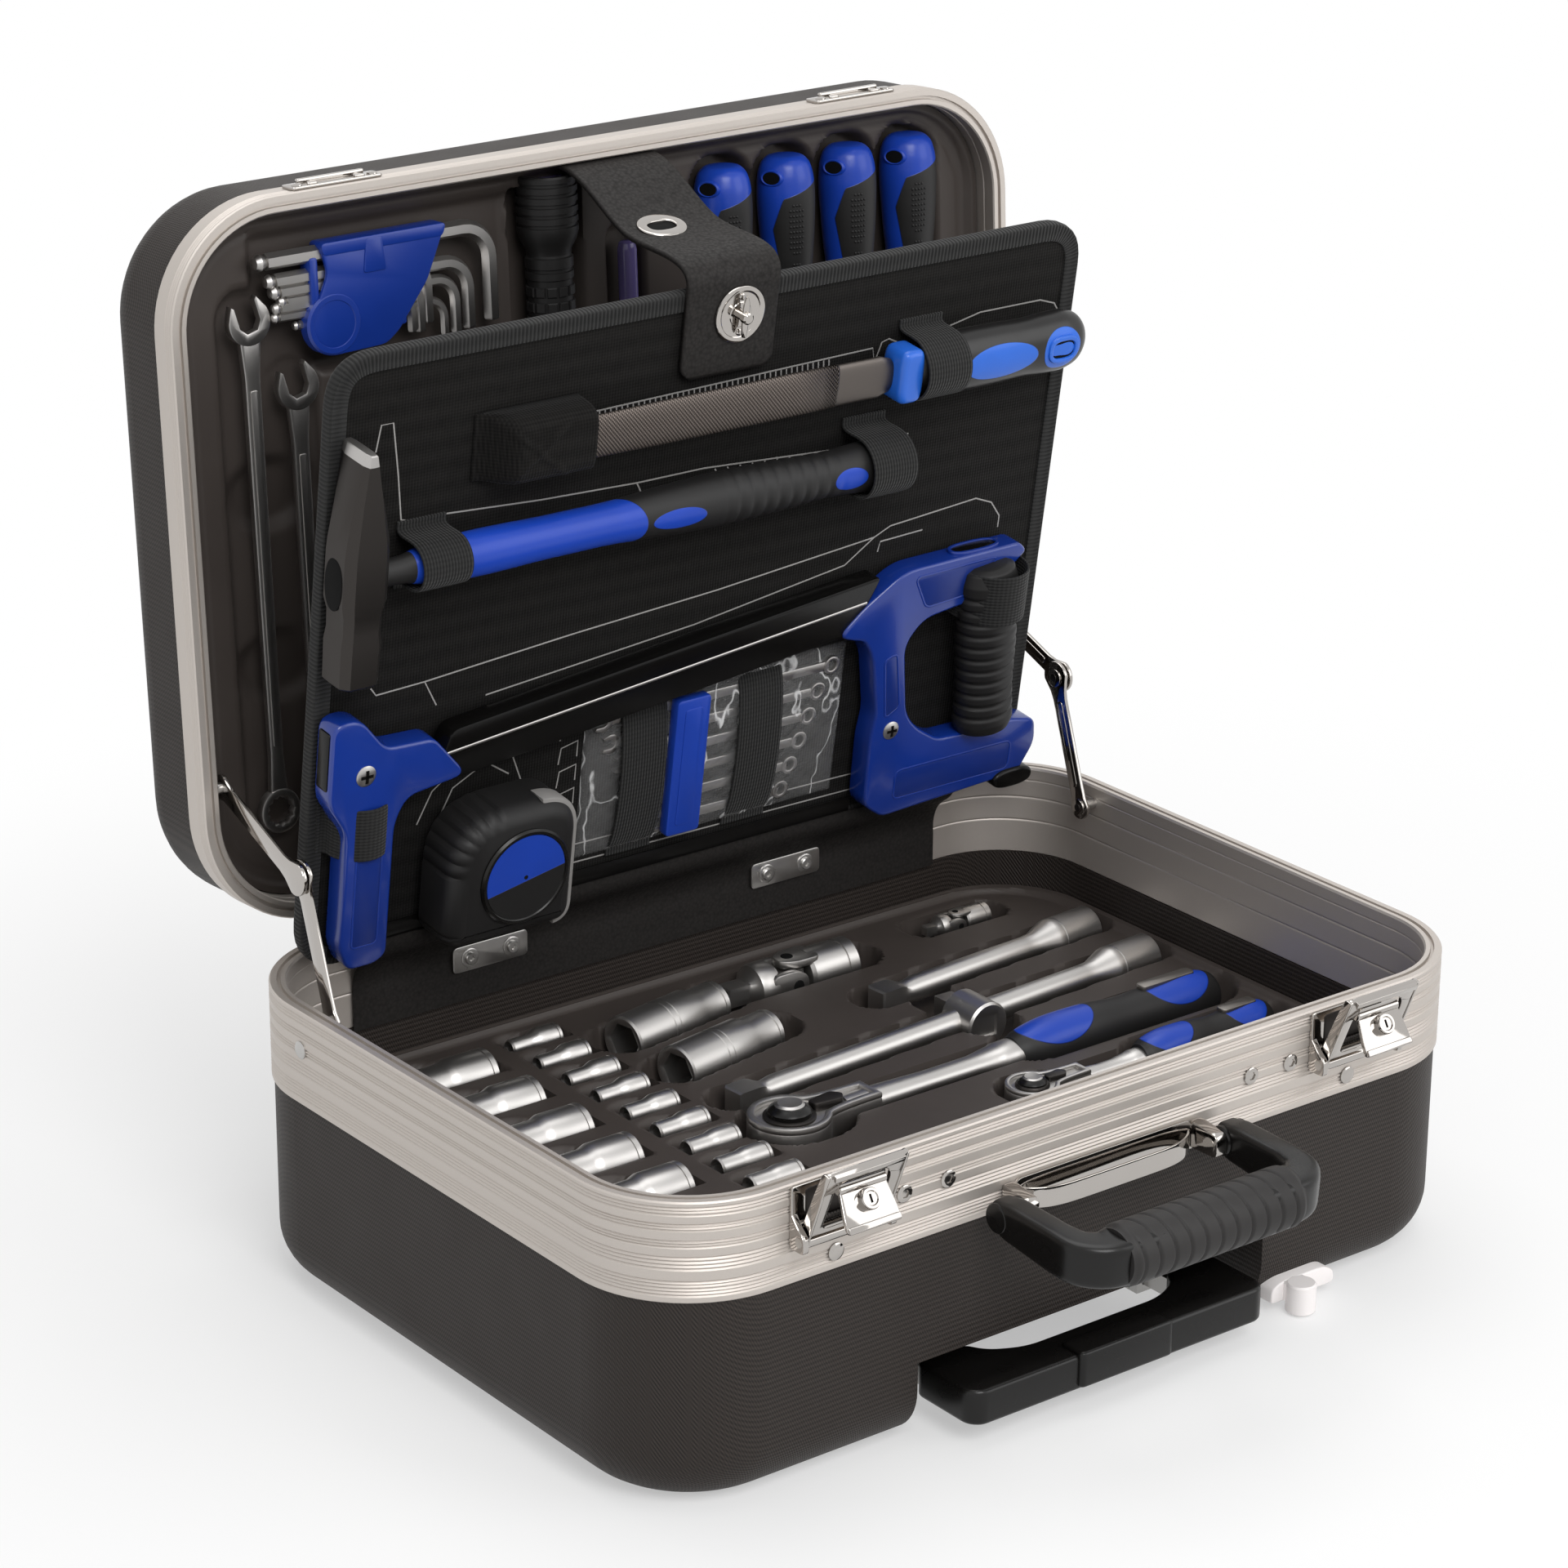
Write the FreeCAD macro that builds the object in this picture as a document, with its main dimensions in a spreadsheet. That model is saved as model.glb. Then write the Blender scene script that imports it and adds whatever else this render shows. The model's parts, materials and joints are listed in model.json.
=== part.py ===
import FreeCAD, Part
import math
import os
import re
import Sketcher

# Driving dimensions in millimetres and degrees. Front is -Y, the hinge side is +Y, up is +Z.
SIZES = {
    # Case walls
    "case_width": 460, "case_depth": 325, "base_height": 140, "corner_radius": 55,
    "frame_height": 44.5, "frame_thick": 7.8, "frame_skin": 1, "groove_depth": 12,
    "shell_wall": 3, "floor_thick": 8, "bottom_round": 25, "ledge_width": 6,
    "rim_gap": 0.3, "fit_gap": 0.2, "seat_gap": 0.3, "pin_gap": 0.06, "overrun": 1,
    # Lid walls
    "lid_height": 59.7, "lid_frame_height": 14.5, "lid_groove": 8, "lid_round": 20, "lid_roof": 3,
    "lid_open": 93.2, "hinge_back": 6.2, "hinge_rise": 1.6,
    # Rear hinges
    "hinge_side": 105, "hinge_length": 60, "hinge_leaf_thick": 1.5, "hinge_leaf_height": 26,
    "hinge_leaf_drop": 2.5, "lid_leaf_low": 4, "knuckle_radius": 4, "knuckle_length": 20,
    "hinge_pin_radius": 2, "web_drop": 2.6, "web_height": 5,
    # Base tray
    "tray_seat": 54, "tray_thick": 21, "tray_gap": 0.5, "lip_height": 3, "lip_width": 4,
    "tool_sink": 2.5,
    # Large sockets
    "large_count": 5, "large_share": 0.335, "large_inset": 27.7, "large_pitch": 37,
    "large_length": 40, "large_nose_length": 17, "large_nose_radius": 10.5, "large_radius": 12,
    "large_hex": 7.8, "large_square": 12.7, "large_bore": 14, "large_sink": 6,
    # Small sockets
    "small_count": 9, "small_share": 0.0885, "small_inset": 18.7, "small_pitch": 22.6,
    "small_length": 27, "small_nose_length": 13, "small_nose_radius": 5.2, "small_radius": 6.3,
    "small_hex": 3.8, "small_square": 6.4, "small_bore": 9, "small_sink": 2.5,
    # Deep sockets
    "deep_share": 0.0935, "deep_inset": 43.7, "deep_pitch": 41, "deep_length": 62,
    "deep_nose_length": 44, "deep_nose_radius": 12.5, "deep_radius": 11, "deep_hex": 9,
    "deep_bore": 30, "deep_tilt": 10,
    # Universal joints
    "yoke_share": 0.03, "yoke_inset": 29.7, "yoke_length": 27, "yoke_radius": 12, "cross_length": 20,
    "cross_radius": 8, "mini_share": 0.255, "mini_inset": 24.7, "mini_length": 14, "mini_radius": 6.5,
    "mini_cross_length": 10, "mini_cross_radius": 4,
    # Extension bars and sliding head
    "bar_short_share": 0.324, "bar_short_inset": 76.7, "bar_short_tilt": 3.7, "bar_long_gap": 20,
    "bar_long_inset": 125.7, "bar_long_tilt": 3.3, "bar_end": 10.4, "bar_radius": 6.2,
    "bar_drive_length": 14, "bar_drive_radius": 7.5, "bar_cup_length": 27, "bar_cup_radius": 10.5,
    "slide_share": 0.432, "slide_radius": 11.5, "slide_front": 13, "slide_back": 9,
    "slide_square": 10, "slide_peg": 10, "slide_peg_length": 13,
    # Ratchets
    "ratchet_gap": 6, "ratchet_inset": 160.7, "ratchet_head": 19, "ratchet_thick": 14,
    "ratchet_neck": 6.5, "ratchet_reach": 130, "ratchet_grip_radius": 13,
    "mini_ratchet_share": 0.288, "mini_ratchet_inset": 198.7, "mini_ratchet_head": 12.5,
    "mini_ratchet_thick": 11, "mini_ratchet_neck": 4.5, "mini_ratchet_reach": 66,
    "mini_ratchet_grip_radius": 10.5, "grip_waist": 3, "grip_end": 14, "grip_gap": 15,
    # Latches
    "latch_side": 88, "latch_width": 48, "latch_drop": 28, "latch_plate_height": 27,
    "latch_plate_thick": 1.5, "latch_ear": 3, "latch_ear_reach": 9.5, "latch_ear_height": 9,
    "latch_pivot_out": 6, "latch_pivot_up": 4.5, "latch_pin": 1.5, "latch_gap": 0.5,
    "claw_height": 36.5, "claw_thick": 2.4, "claw_knuckle": 3.2, "claw_open": 22,
    "hook_reach": 4.2, "hook_thick": 2.5, "window_width": 29, "window_low": 5, "window_high": 31,
    "tongue_width": 27, "tongue_thick": 2, "tongue_length": 18.5, "tongue_place": 25,
    "tongue_knuckle": 2.4, "tongue_pin": 1.2, "tongue_open": 52, "barrel_radius": 5,
    "keeper_width": 46, "keeper_low": 2, "keeper_height": 9.5, "keeper_thick": 1.5,
    "ridge_height": 2, "ridge_reach": 3.5,
    "rivet_radius": 4, "rivet_thick": 1.2, "rivet_low": 8, "screw_drop": 21, "screw_step": 35,
    "screw_pitch": 23,
    # Carry handle
    "plate_width": 104, "plate_drop": 45, "plate_height": 14, "plate_thick": 2,
    "handle_inner": 111, "arm_width": 13, "arm_height": 20, "handle_reach": 50, "bar_grip": 11.5,
    "handle_pivot_out": 12.7, "handle_drop": 39, "handle_pin": 3.5, "handle_ear": 6,
    "handle_ear_reach": 18, "handle_gap": 0.5, "handle_droop": 4, "pin_bite": 10,
    "sleeve_span": 96, "sleeve_radius": 13.5,
    # Trolley
    "recess_width": 194, "recess_height": 38, "recess_depth": 77.5, "house_wall": 3,
    "tube_x": 68.5, "sleeve_width": 24, "sleeve_height": 16, "tube_wall": 1.5, "slide_gap": 0.3,
    "sleeve_setback": 42, "sleeve_end": 21.2, "collar_length": 5, "middle_stop": 13.3,
    "inner_stop": 17.2, "trolley_grip_width": 166, "trolley_grip_out": 18.5,
    "trolley_grip_back": 19.5, "trolley_grip_low": 10.5, "trolley_grip_height": 16.5,
    "trolley_bar": 20, "finger_width": 112, "horn_socket": 15, "trolley_round": 3,
    "button_width": 48, "button_depth": 12.5, "button_out": 1.5, "button_up": 1,
    "button_gap": 0.5, "button_travel": 3.5, "button_floor": 1.5,
    # Wheels
    "wheel_side": 80, "wheel_inset": 20, "wheel_z": 25, "wheel_radius": 23, "wheel_width": 18,
    "wheel_bay": 24, "wheel_gap": 2.5, "axle_radius": 4, "axle_seat": 2, "wheel_round": 4,
    # Foot beside the grip
    "foot_gap": 17, "foot_width": 38, "foot_low": 5, "foot_height": 10, "foot_out": 3,
    "foot_thick": 5, "stub_radius": 7, "stub_low": 0.6, "stub_shift": 6,
    # Drop panel
    "panel_inset": 10, "panel_axis_drop": 4, "panel_open": 81.4, "panel_drop": 11.3,
    "panel_side_gap": 18.7, "panel_start": 2.5, "panel_thick": 5, "panel_round": 22,
    "binding_thick": 1, "binding_width": 8, "flap_gap": 7, "flap_thick": 2, "flap_clear": 16,
    "flap_drop": 9, "clamp_left_share": -0.4275, "clamp_right_share": 0.3375, "clamp_width": 41,
    "clamp_lift": 3, "clamp_height": 13, "clamp_thick": 1.5, "band_thick": 1.5, "band_width": 25,
    # File
    "file_inset": 83.5, "file_end": 3.5, "file_to_lock": 40, "file_width": 21, "file_thick": 5,
    "file_grip": 112, "file_ferrule": 15, "file_grip_radius": 11.5, "file_neck_radius": 8,
    "pocket_length": 50, "pocket_cover": 41, "pocket_wall": 3, "file_band_in": 24,
    # Hammer
    "hammer_over": 3, "hammer_to_file": 43, "hammer_lift": 6, "hammer_head": 110, "hammer_radius": 11.5,
    "hammer_waist": 9.5, "hammer_face": 22, "hammer_eye": 6, "hammer_shaft": 125,
    "hammer_shaft_radius": 9, "hammer_grip": 160, "hammer_grip_radius": 13,
    "hammer_band_out": 40, "hammer_band_in": 17,
    # Hacksaw
    "saw_inset": 0.5, "saw_nose": 60, "saw_nose_height": 40, "saw_nose_drop": 4, "saw_leg_in": 10,
    "saw_leg": 25, "saw_bar_reach": 114, "saw_tilt": 6, "saw_bar_width": 22, "saw_bar_thick": 12,
    "saw_lap": 5, "saw_thick": 15, "saw_blade_thick": 1, "saw_blade_width": 12, "saw_blade_reach": 12,
    "saw_blade_lap": 9, "saw_rear": 89, "saw_rear_height": 28, "saw_rear_lift": 12,
    "saw_rear_leg_in": 20, "saw_rear_leg": 30, "saw_foot": 20, "saw_grip_inset": 25.5,
    "saw_grip_radius": 14, "saw_grip_reach": 37, "saw_grip_length": 103, "saw_band_drop": 40,
    "saw_to_hammer": 84,
    # Tape measure
    "tape_gap": 22, "tape_low": 10, "tape_clear": 38, "tape_width": 68, "tape_thick": 28,
    "tape_round": 17, "tape_clip": 3.6, "tape_clip_width": 16, "tape_hub": 23, "tape_hub_thick": 1.5,
    # Spanner set
    "set_gap": 23, "set_end": 10, "set_low": 28.25, "set_clear": 18.25, "set_count": 6,
    "set_bar": 7.5, "set_thick": 4, "set_step_share": 0.086, "set_holder": 19,
    "set_holder_thick": 6, "set_band_back": 43, "set_band_fore": 23,
    # Lid tray and tools
    "lid_tray_face": 14, "lid_tray_thick": 14, "lid_tool_out": 1,
    "driver_count": 4, "driver_share": 0.297, "driver_pitch_share": 0.164, "driver_inset": 11.4,
    "driver_handle": 92, "driver_radius": 13.5, "driver_neck": 8, "driver_shaft": 95,
    "driver_shaft_radius": 3, "driver_crown": 9, "driver_collar": 18,
    "tester_share": 0.0765, "tester_inset": 42.4, "tester_length": 84, "tester_radius": 4.5,
    "torch_share": 0.117, "torch_inset": 5.4, "torch_head": 34, "torch_head_radius": 14,
    "torch_body": 90, "torch_body_radius": 11,
    "key_count": 7, "key_share": 0.774, "key_inset": 20.4, "key_pitch": 7, "key_gap": 18,
    "key_step": 7, "key_thick": 5.6, "key_taper": 0.55, "key_leg": 42, "key_leg_step": 5, "key_out": 5,
    "holder_share": 0.72, "holder_width": 72, "holder_inset": 17.4, "holder_height": 50,
    "holder_thick": 11,
    "spanner_count": 2, "spanner_share": 0.8326, "spanner_pitch": 22.5, "spanner_inset": 47.4,
    "spanner_stagger": 32, "spanner_near": 55, "spanner_ring": 10.5, "spanner_hole": 6.5,
    "spanner_shank": 9, "spanner_thick": 5,
    # Strap and turn lock
    "strap_x": 0, "strap_width": 50, "strap_thick": 2.5, "strap_gap": 1.6, "strap_rise": 3,
    "strap_over": 4, "strap_lap": 45, "strap_slot": 12, "lock_x": 4, "lock_to_edge": 12,
    "lock_width": 17, "lock_height": 26, "lock_thick": 1.5, "lock_stem": 3, "lock_pin": 2.5,
    "knob_length": 20, "knob_width": 8, "knob_thick": 5, "knob_gap": 0.3,
    # Lid stays
    "stay_back": 64.5, "stay_drop": 9, "stay_lower": 64.2, "stay_upper": 63.5,
    "stay_lid_reach": 74.4, "stay_lid_rise": 4.4, "stay_pin": 2.5, "stay_eye": 6, "stay_bar": 9,
    "stay_knuckle": 8, "stay_thick": 2, "stay_outer_gap": 4.2, "stay_apart": 1, "stay_end": 0.6,
}

# Places and lengths worked out from the sizes above.
PLACES = {
    # Case
    "front": "-case_depth / 2",
    "rear": "case_depth / 2",
    "inner_side": "case_width / 2 - frame_thick",
    "inner_rear": "rear - frame_thick",
    "frame_low": "base_height - frame_height",
    "shell_inset": "frame_skin + fit_gap",
    "hinge_y": "rear + hinge_back",
    "hinge_z": "base_height + hinge_rise",
    "hinge_place": "case_width / 2 - hinge_side",
    "lid_rim": "rim_gap - hinge_rise",
    "lid_seam": "lid_rim + lid_frame_height",
    "lid_top": "lid_rim + lid_height",
    "lid_ledge": "lid_tray_face + lid_tray_thick",
    "lid_tool_z": "lid_tray_face - lid_tool_out",
    "lid_front": "hinge_y + rear - frame_thick",
    # Base tray, with the rear row spread over the width that its tools leave free
    "tray_top": "tray_seat + tray_thick",
    "tool_z": "tray_top - tool_sink",
    "joint_span": "2 * yoke_length + cross_length",
    "row_spare": "2 * inner_side - large_length - small_length - deep_length - joint_span"
                 " - 2 * mini_length - mini_cross_length",
    "large_x": "large_share * (row_spare) - inner_side",
    "small_x": "large_x + large_length + small_share * (row_spare)",
    "small_end": "small_x + small_length",
    "deep_x": "small_end + deep_share * (row_spare)",
    "yoke_x": "deep_x + deep_length + yoke_share * (row_spare)",
    "mini_x": "yoke_x + joint_span + mini_share * (row_spare)",
    "bar_short_x": "bar_short_share * (inner_side)",
    "bar_long_x": "small_end + bar_long_gap",
    "slide_x": "slide_share * (inner_side)",
    "slide_y": "inner_rear - bar_long_inset + (slide_x - (bar_long_x)) * tan(bar_long_tilt)",
    "ratchet_x": "small_end + ratchet_gap + ratchet_head",
    "mini_ratchet_x": "mini_ratchet_share * (inner_side)",
    # Front
    "latch_x": "case_width / 2 - latch_side",
    "latch_low": "base_height - latch_drop",
    "latch_pivot_y": "front - latch_pivot_out",
    "latch_pivot_z": "latch_low + latch_pivot_up",
    "claw_width": "latch_width - 2 * latch_ear - 2 * latch_gap",
    "ridge_top": "latch_pivot_z + claw_height - hook_thick - seat_gap - (hinge_z)",
    "screw_z": "base_height - screw_drop",
    "screw_outer": "latch_x - screw_step",
    "screw_inner": "screw_outer - screw_pitch",
    "plate_low": "base_height - plate_drop",
    "handle_pivot_y": "front - handle_pivot_out",
    "handle_pivot_z": "base_height - handle_drop",
    "foot_x": "trolley_grip_width / 2 + foot_gap + foot_width / 2",
    "stub_x": "foot_x - stub_shift",
    # Trolley and wheels
    "recess_back": "front + recess_depth",
    "tube_z": "floor_thick + sleeve_height / 2",
    "sleeve_front": "front + sleeve_setback",
    "sleeve_back": "inner_rear - ledge_width - sleeve_end",
    "middle_front": "sleeve_front - collar_length - slide_gap",
    "middle_back": "sleeve_back - middle_stop",
    "middle_width": "sleeve_width - 2 * tube_wall - 2 * slide_gap",
    "middle_height": "sleeve_height - 2 * tube_wall - 2 * slide_gap",
    "inner_front": "grip_back - horn_socket",
    "inner_back": "middle_back - inner_stop",
    "inner_width": "middle_width - 2 * tube_wall - 2 * slide_gap",
    "inner_height": "middle_height - 2 * tube_wall - 2 * slide_gap",
    "grip_front": "front - trolley_grip_out",
    "grip_back": "front + trolley_grip_back",
    "grip_top": "trolley_grip_low + trolley_grip_height",
    "wheel_x": "case_width / 2 - wheel_side",
    "wheel_y": "rear - wheel_inset",
    "wheel_reach": "wheel_radius + wheel_gap",
    # Drop panel, whose tools stand in rows from the hacksaw up to the turn lock
    "panel_y": "rear - panel_inset",
    "panel_z": "base_height - panel_axis_drop",
    "panel_half": "inner_side - panel_side_gap",
    "panel_face": "-panel_drop",
    "panel_far": "lock_reach + lock_to_edge",
    "panel_length": "panel_far - panel_start",
    "flap_width": "case_width - 2 * corner_radius - 2 * flap_gap",
    "flap_low": "tray_seat + tray_thick + lip_height + flap_clear",
    "flap_top": "base_height - flap_drop",
    "clamp_low": "(flap_low + flap_top - clamp_height) / 2 + clamp_lift",
    "hang": "panel_face - seat_gap",
    "hammer_reach": "saw_bar_reach + saw_to_hammer",
    "file_reach": "hammer_reach + hammer_to_file",
    "lock_reach": "file_reach + file_to_lock",
    "strap_back": "panel_face - binding_thick - seat_gap",
    "strap_face": "strap_back - strap_thick",
    "file_z": "hang - binding_thick - file_grip_radius",
    "file_x": "file_inset - (panel_half)",
    "file_butt": "panel_half - file_end - file_grip",
    "hammer_x": "hammer_radius - hammer_over - (panel_half)",
    "hammer_start": "hammer_x - hammer_radius",
    "hammer_end": "hammer_x + hammer_radius + seat_gap + hammer_shaft + hammer_grip",
    "saw_blade_back": "hang - binding_thick",
    "saw_back": "saw_blade_back - saw_blade_thick - fit_gap",
    "saw_front": "hang - saw_thick",
    "saw_nose_x": "saw_inset - (panel_half)",
    "saw_nose_end": "saw_nose_x + saw_nose",
    "saw_nose_reach": "saw_bar_reach - saw_nose_drop",
    "saw_leg_x": "saw_nose_x + saw_leg_in",
    "saw_leg_end": "saw_blade_width / 2 - saw_blade_reach",
    "saw_grip_x": "panel_half - saw_grip_inset",
    "saw_rear_end": "saw_grip_x - saw_grip_radius - fit_gap",
    "saw_rear_x": "saw_rear_end - saw_rear",
    "saw_rear_reach": "saw_bar_reach + saw_rear_lift",
    "saw_rear_leg_x": "saw_rear_x + saw_rear_leg_in",
    "tape_left": "saw_leg_x + saw_leg + tape_gap",
    "tape_x": "tape_left + tape_width / 2",
    "tape_height": "saw_bar_reach - tape_clear - tape_low",
    "tape_reach": "tape_low + (tape_height) / 2",
    "set_left": "tape_left + tape_width + set_gap",
    "set_longest": "saw_rear_leg_x - set_end - (set_left)",
    "set_x": "set_left + (set_longest) / 2",
    "set_pitch": "(saw_bar_reach - set_clear - set_low - set_bar) / (set_count - 1)",
    "set_span": "(set_count - 1) * (set_pitch) + set_bar",
    "set_reach": "set_low + (set_span) / 2",
    # Lid tools
    "driver_x": "driver_share * (inner_side)",
    "driver_pitch": "driver_pitch_share * (inner_side)",
    "driver_butt": "lid_front - driver_inset",
    "tester_x": "tester_share * (inner_side)",
    "tester_butt": "lid_front - tester_inset",
    "torch_x": "-torch_share * (inner_side)",
    "torch_butt": "lid_front - torch_inset",
    "key_x": "-key_share * (inner_side)",
    "key_first": "lid_front - key_inset",
    "key_end": "torch_x - torch_head_radius - key_gap",
    "holder_x": "-holder_share * (inner_side)",
    "holder_far": "lid_front - holder_inset",
    "spanner_x": "-spanner_share * (inner_side)",
    "spanner_far": "lid_front - spanner_inset",
    # Lid stays
    "stay_base_y": "rear - stay_back",
    "stay_base_z": "base_height - stay_drop",
    "stay_lid_y": "hinge_y - stay_lid_reach * cos(lid_open) + stay_lid_rise * sin(lid_open)",
    "stay_lid_z": "hinge_z + stay_lid_reach * sin(lid_open) + stay_lid_rise * cos(lid_open)",
    "stay_dy": "stay_lid_y - (stay_base_y)",
    "stay_dz": "stay_lid_z - (stay_base_z)",
    "stay_gap": "sqrt((stay_dy)^2 + (stay_dz)^2)",
    "stay_rake": "atan2(stay_dz; stay_dy)",
    "stay_fold": "acos((stay_lower^2 + (stay_gap)^2 - stay_upper^2) / (2 * stay_lower * (stay_gap)))",
    "stay_bend": "acos((stay_upper^2 + (stay_gap)^2 - stay_lower^2) / (2 * stay_upper * (stay_gap)))",
    "upper_outer": "inner_side - stay_outer_gap",
    "lower_outer": "upper_outer - stay_thick - stay_apart",
    # Strap
    "strap_reach": "lid_front - strap_gap",
    "strap_lid_y": "hinge_y - (strap_reach) * cos(lid_open) + strap_rise * sin(lid_open)",
    "strap_lid_z": "hinge_z + (strap_reach) * sin(lid_open) + strap_rise * cos(lid_open)",
    "strap_mid": "strap_back - strap_thick / 2",
    "strap_far": "panel_far + binding_thick + strap_over",
    "strap_top_y": "panel_y - (strap_far) * cos(panel_open) + (strap_mid) * sin(panel_open)",
    "strap_top_z": "panel_z + (strap_far) * sin(panel_open) + (strap_mid) * cos(panel_open)",
    "strap_dy": "strap_lid_y - (strap_top_y)",
    "strap_dz": "strap_lid_z - (strap_top_z)",
}

SIDES = {"left": "-1", "right": "1"}
TURNS = {
    "x": FreeCAD.Rotation(FreeCAD.Vector(0, 1, 0), 90),
    "y": FreeCAD.Rotation(FreeCAD.Vector(1, 0, 0), -90),
    "z": FreeCAD.Rotation(),
}
# Each carrier has the place of its axis and how far it stands open, turned about X.
CARRIERS = {
    "lid": ("hinge_y", "hinge_z", "-lid_open"),
    "panel": ("panel_y", "panel_z", "-panel_open"),
}
WORD = re.compile(r"[a-z][a-z_]*")

doc = FreeCAD.newDocument("RollingToolCase")
sheet = doc.addObject("Spreadsheet::Sheet", "Sizes")
for row, (alias, value) in enumerate(SIZES.items(), start=1):
    sheet.set(f"A{row}", alias)
    sheet.set(f"B{row}", str(value))
    sheet.setAlias(f"B{row}", alias)
doc.recompute()
nodes = {}


def spelled(expression):
    """An expression with its places written out and its sizes named as sheet cells."""
    def swap(match):
        word = match[0]
        if word in PLACES:
            return f"({spelled(PLACES[word])})"
        return f"Sizes.{word}" if word in SIZES else word
    return WORD.sub(swap, expression)


def bind(item, path, expression):
    item.setExpression(path, spelled(expression))


def settle(item, place):
    for axis, expression in zip("xyz", place):
        bind(item, f"Placement.Base.{axis}", expression)


def span(centre, width):
    return f"({centre}) - ({width}) / 2", f"({centre}) + ({width}) / 2"


def box(*ranges):
    """A block from its low and high limits along X, Y and Z."""
    item = doc.addObject("Part::Box", "Block")
    for side, (low, high) in zip(("Length", "Width", "Height"), ranges):
        bind(item, side, f"({high}) - ({low})")
    settle(item, [low for low, high in ranges])
    return item


def rod(axis, radius, ends, centre):
    """A cylinder along one axis, with its centre on the other two in order."""
    item = doc.addObject("Part::Cylinder", "Rod")
    item.Placement.Rotation = TURNS[axis]
    bind(item, "Radius", radius)
    bind(item, "Height", f"({ends[1]}) - ({ends[0]})")
    place = list(centre)
    place.insert("xyz".index(axis), ends[0])
    settle(item, place)
    return item


def join(*items):
    item = doc.addObject("Part::MultiFuse", "Joined")
    item.Shapes = list(items)
    item.Refine = True
    return item


def group(*items):
    item = doc.addObject("Part::Compound", "Group")
    item.Links = list(items)
    return item


def less(base, *cutters):
    item = doc.addObject("Part::Cut", "Trimmed")
    item.Base = base
    item.Tool = cutters[0] if len(cutters) == 1 else join(*cutters)
    return item


def turned(axis, place, segments, tilt=0, swell="0"):
    """Round segments (length, start radius, end radius) in line from a place, swollen for a pocket."""
    items = []
    start = "0"
    for length, first, last in segments:
        kind = "Part::Cylinder" if first == last else "Part::Cone"
        item = doc.addObject(kind, "Turned")
        radii = {"Radius": first} if first == last else {"Radius1": first, "Radius2": last}
        for name, radius in radii.items():
            bind(item, name, f"({radius}) + ({swell})")
        bind(item, "Height", f"({length}) + 2 * ({swell})")
        bind(item, "Placement.Base.z", f"({start}) - ({swell})")
        start = f"({start}) + ({length})"
        items.append(item)
    whole = join(*items) if len(items) > 1 else group(*items)
    whole.Placement.Rotation = FreeCAD.Rotation(FreeCAD.Vector(0, 0, 1), tilt).multiply(TURNS[axis])
    settle(whole, place)
    return whole


def hexagon(axis, across, length, place, tilt=0):
    item = doc.addObject("Part::Prism", "Hexagon")
    item.Polygon = 6
    bind(item, "Circumradius", across)
    bind(item, "Height", length)
    item.Placement.Rotation = FreeCAD.Rotation(FreeCAD.Vector(0, 0, 1), tilt).multiply(TURNS[axis])
    settle(item, place)
    return item


def outline(body, width, depth, radius, guess):
    """A sketched rectangle with round corners, centred on the body's own origin."""
    sketch = body.newObject("Sketcher::SketchObject", "Outline")
    plane = [item for item in body.Origin.OriginFeatures if item.Role == "XY_Plane"][0]
    sketch.AttachmentSupport = (plane, [""])
    sketch.MapMode = "FlatFace"
    half_w, half_d, corner = guess[0] / 2, guess[1] / 2, guess[2]
    corners = [(1, -1), (1, 1), (-1, 1), (-1, -1)]
    lines = []
    arcs = []
    for turn, (right, back) in enumerate(corners):
        centre = FreeCAD.Vector(right * (half_w - corner), back * (half_d - corner), 0)
        circle = Part.Circle(centre, FreeCAD.Vector(0, 0, 1), corner)
        quarter = math.pi / 2
        arc = Part.ArcOfCircle(circle, (turn - 1) * quarter, turn * quarter)
        arcs.append(sketch.addGeometry(arc, False))
        shape = sketch.Geometry[arcs[-1]]
        lines.append((shape.StartPoint, shape.EndPoint))
    joints = []
    for turn in range(4):
        segment = Part.LineSegment(lines[turn][1], lines[(turn + 1) % 4][0])
        joints.append(sketch.addGeometry(segment, False))
    for turn, (right, back) in enumerate(corners):
        follow = (turn + 1) % 4
        sketch.addConstraint(Sketcher.Constraint("Tangent", arcs[turn], 2, joints[turn], 1))
        sketch.addConstraint(Sketcher.Constraint("Tangent", joints[turn], 2, arcs[follow], 1))
        for kind, sign, size in (("DistanceX", right, width), ("DistanceY", back, depth)):
            ends = (-1, 1, arcs[turn], 3) if sign > 0 else (arcs[turn], 3, -1, 1)
            number = sketch.addConstraint(Sketcher.Constraint(kind, *ends, corner))
            bind(sketch, f"Constraints[{number}]", f"({size}) / 2 - ({radius})")
        number = sketch.addConstraint(Sketcher.Constraint("Radius", arcs[turn], corner))
        bind(sketch, f"Constraints[{number}]", radius)
    return sketch


def rounded(width, depth, radius, low, high, guess, centre=("0", "0"), soft=None, soft_top=False):
    """A block with round upright corners and, if asked, a softened lower or upper edge."""
    body = doc.addObject("PartDesign::Body", "Rounded")
    pad = body.newObject("PartDesign::Pad", "Block")
    pad.Profile = outline(body, width, depth, radius, guess)
    bind(pad, "Length", f"({high}) - ({low})")
    settle(body, (*centre, low))
    if soft:
        doc.recompute()
        limits = pad.Shape.BoundBox
        level = limits.ZMax if soft_top else limits.ZMin
        heights = [face.CenterOfMass.z for face in pad.Shape.Faces]
        nearest = min(range(len(heights)), key=lambda index: abs(heights[index] - level))
        fillet = body.newObject("PartDesign::Fillet", "Softened")
        fillet.Base = (pad, [f"Face{nearest + 1}"])
        bind(fillet, "Radius", soft)
    return body


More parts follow.
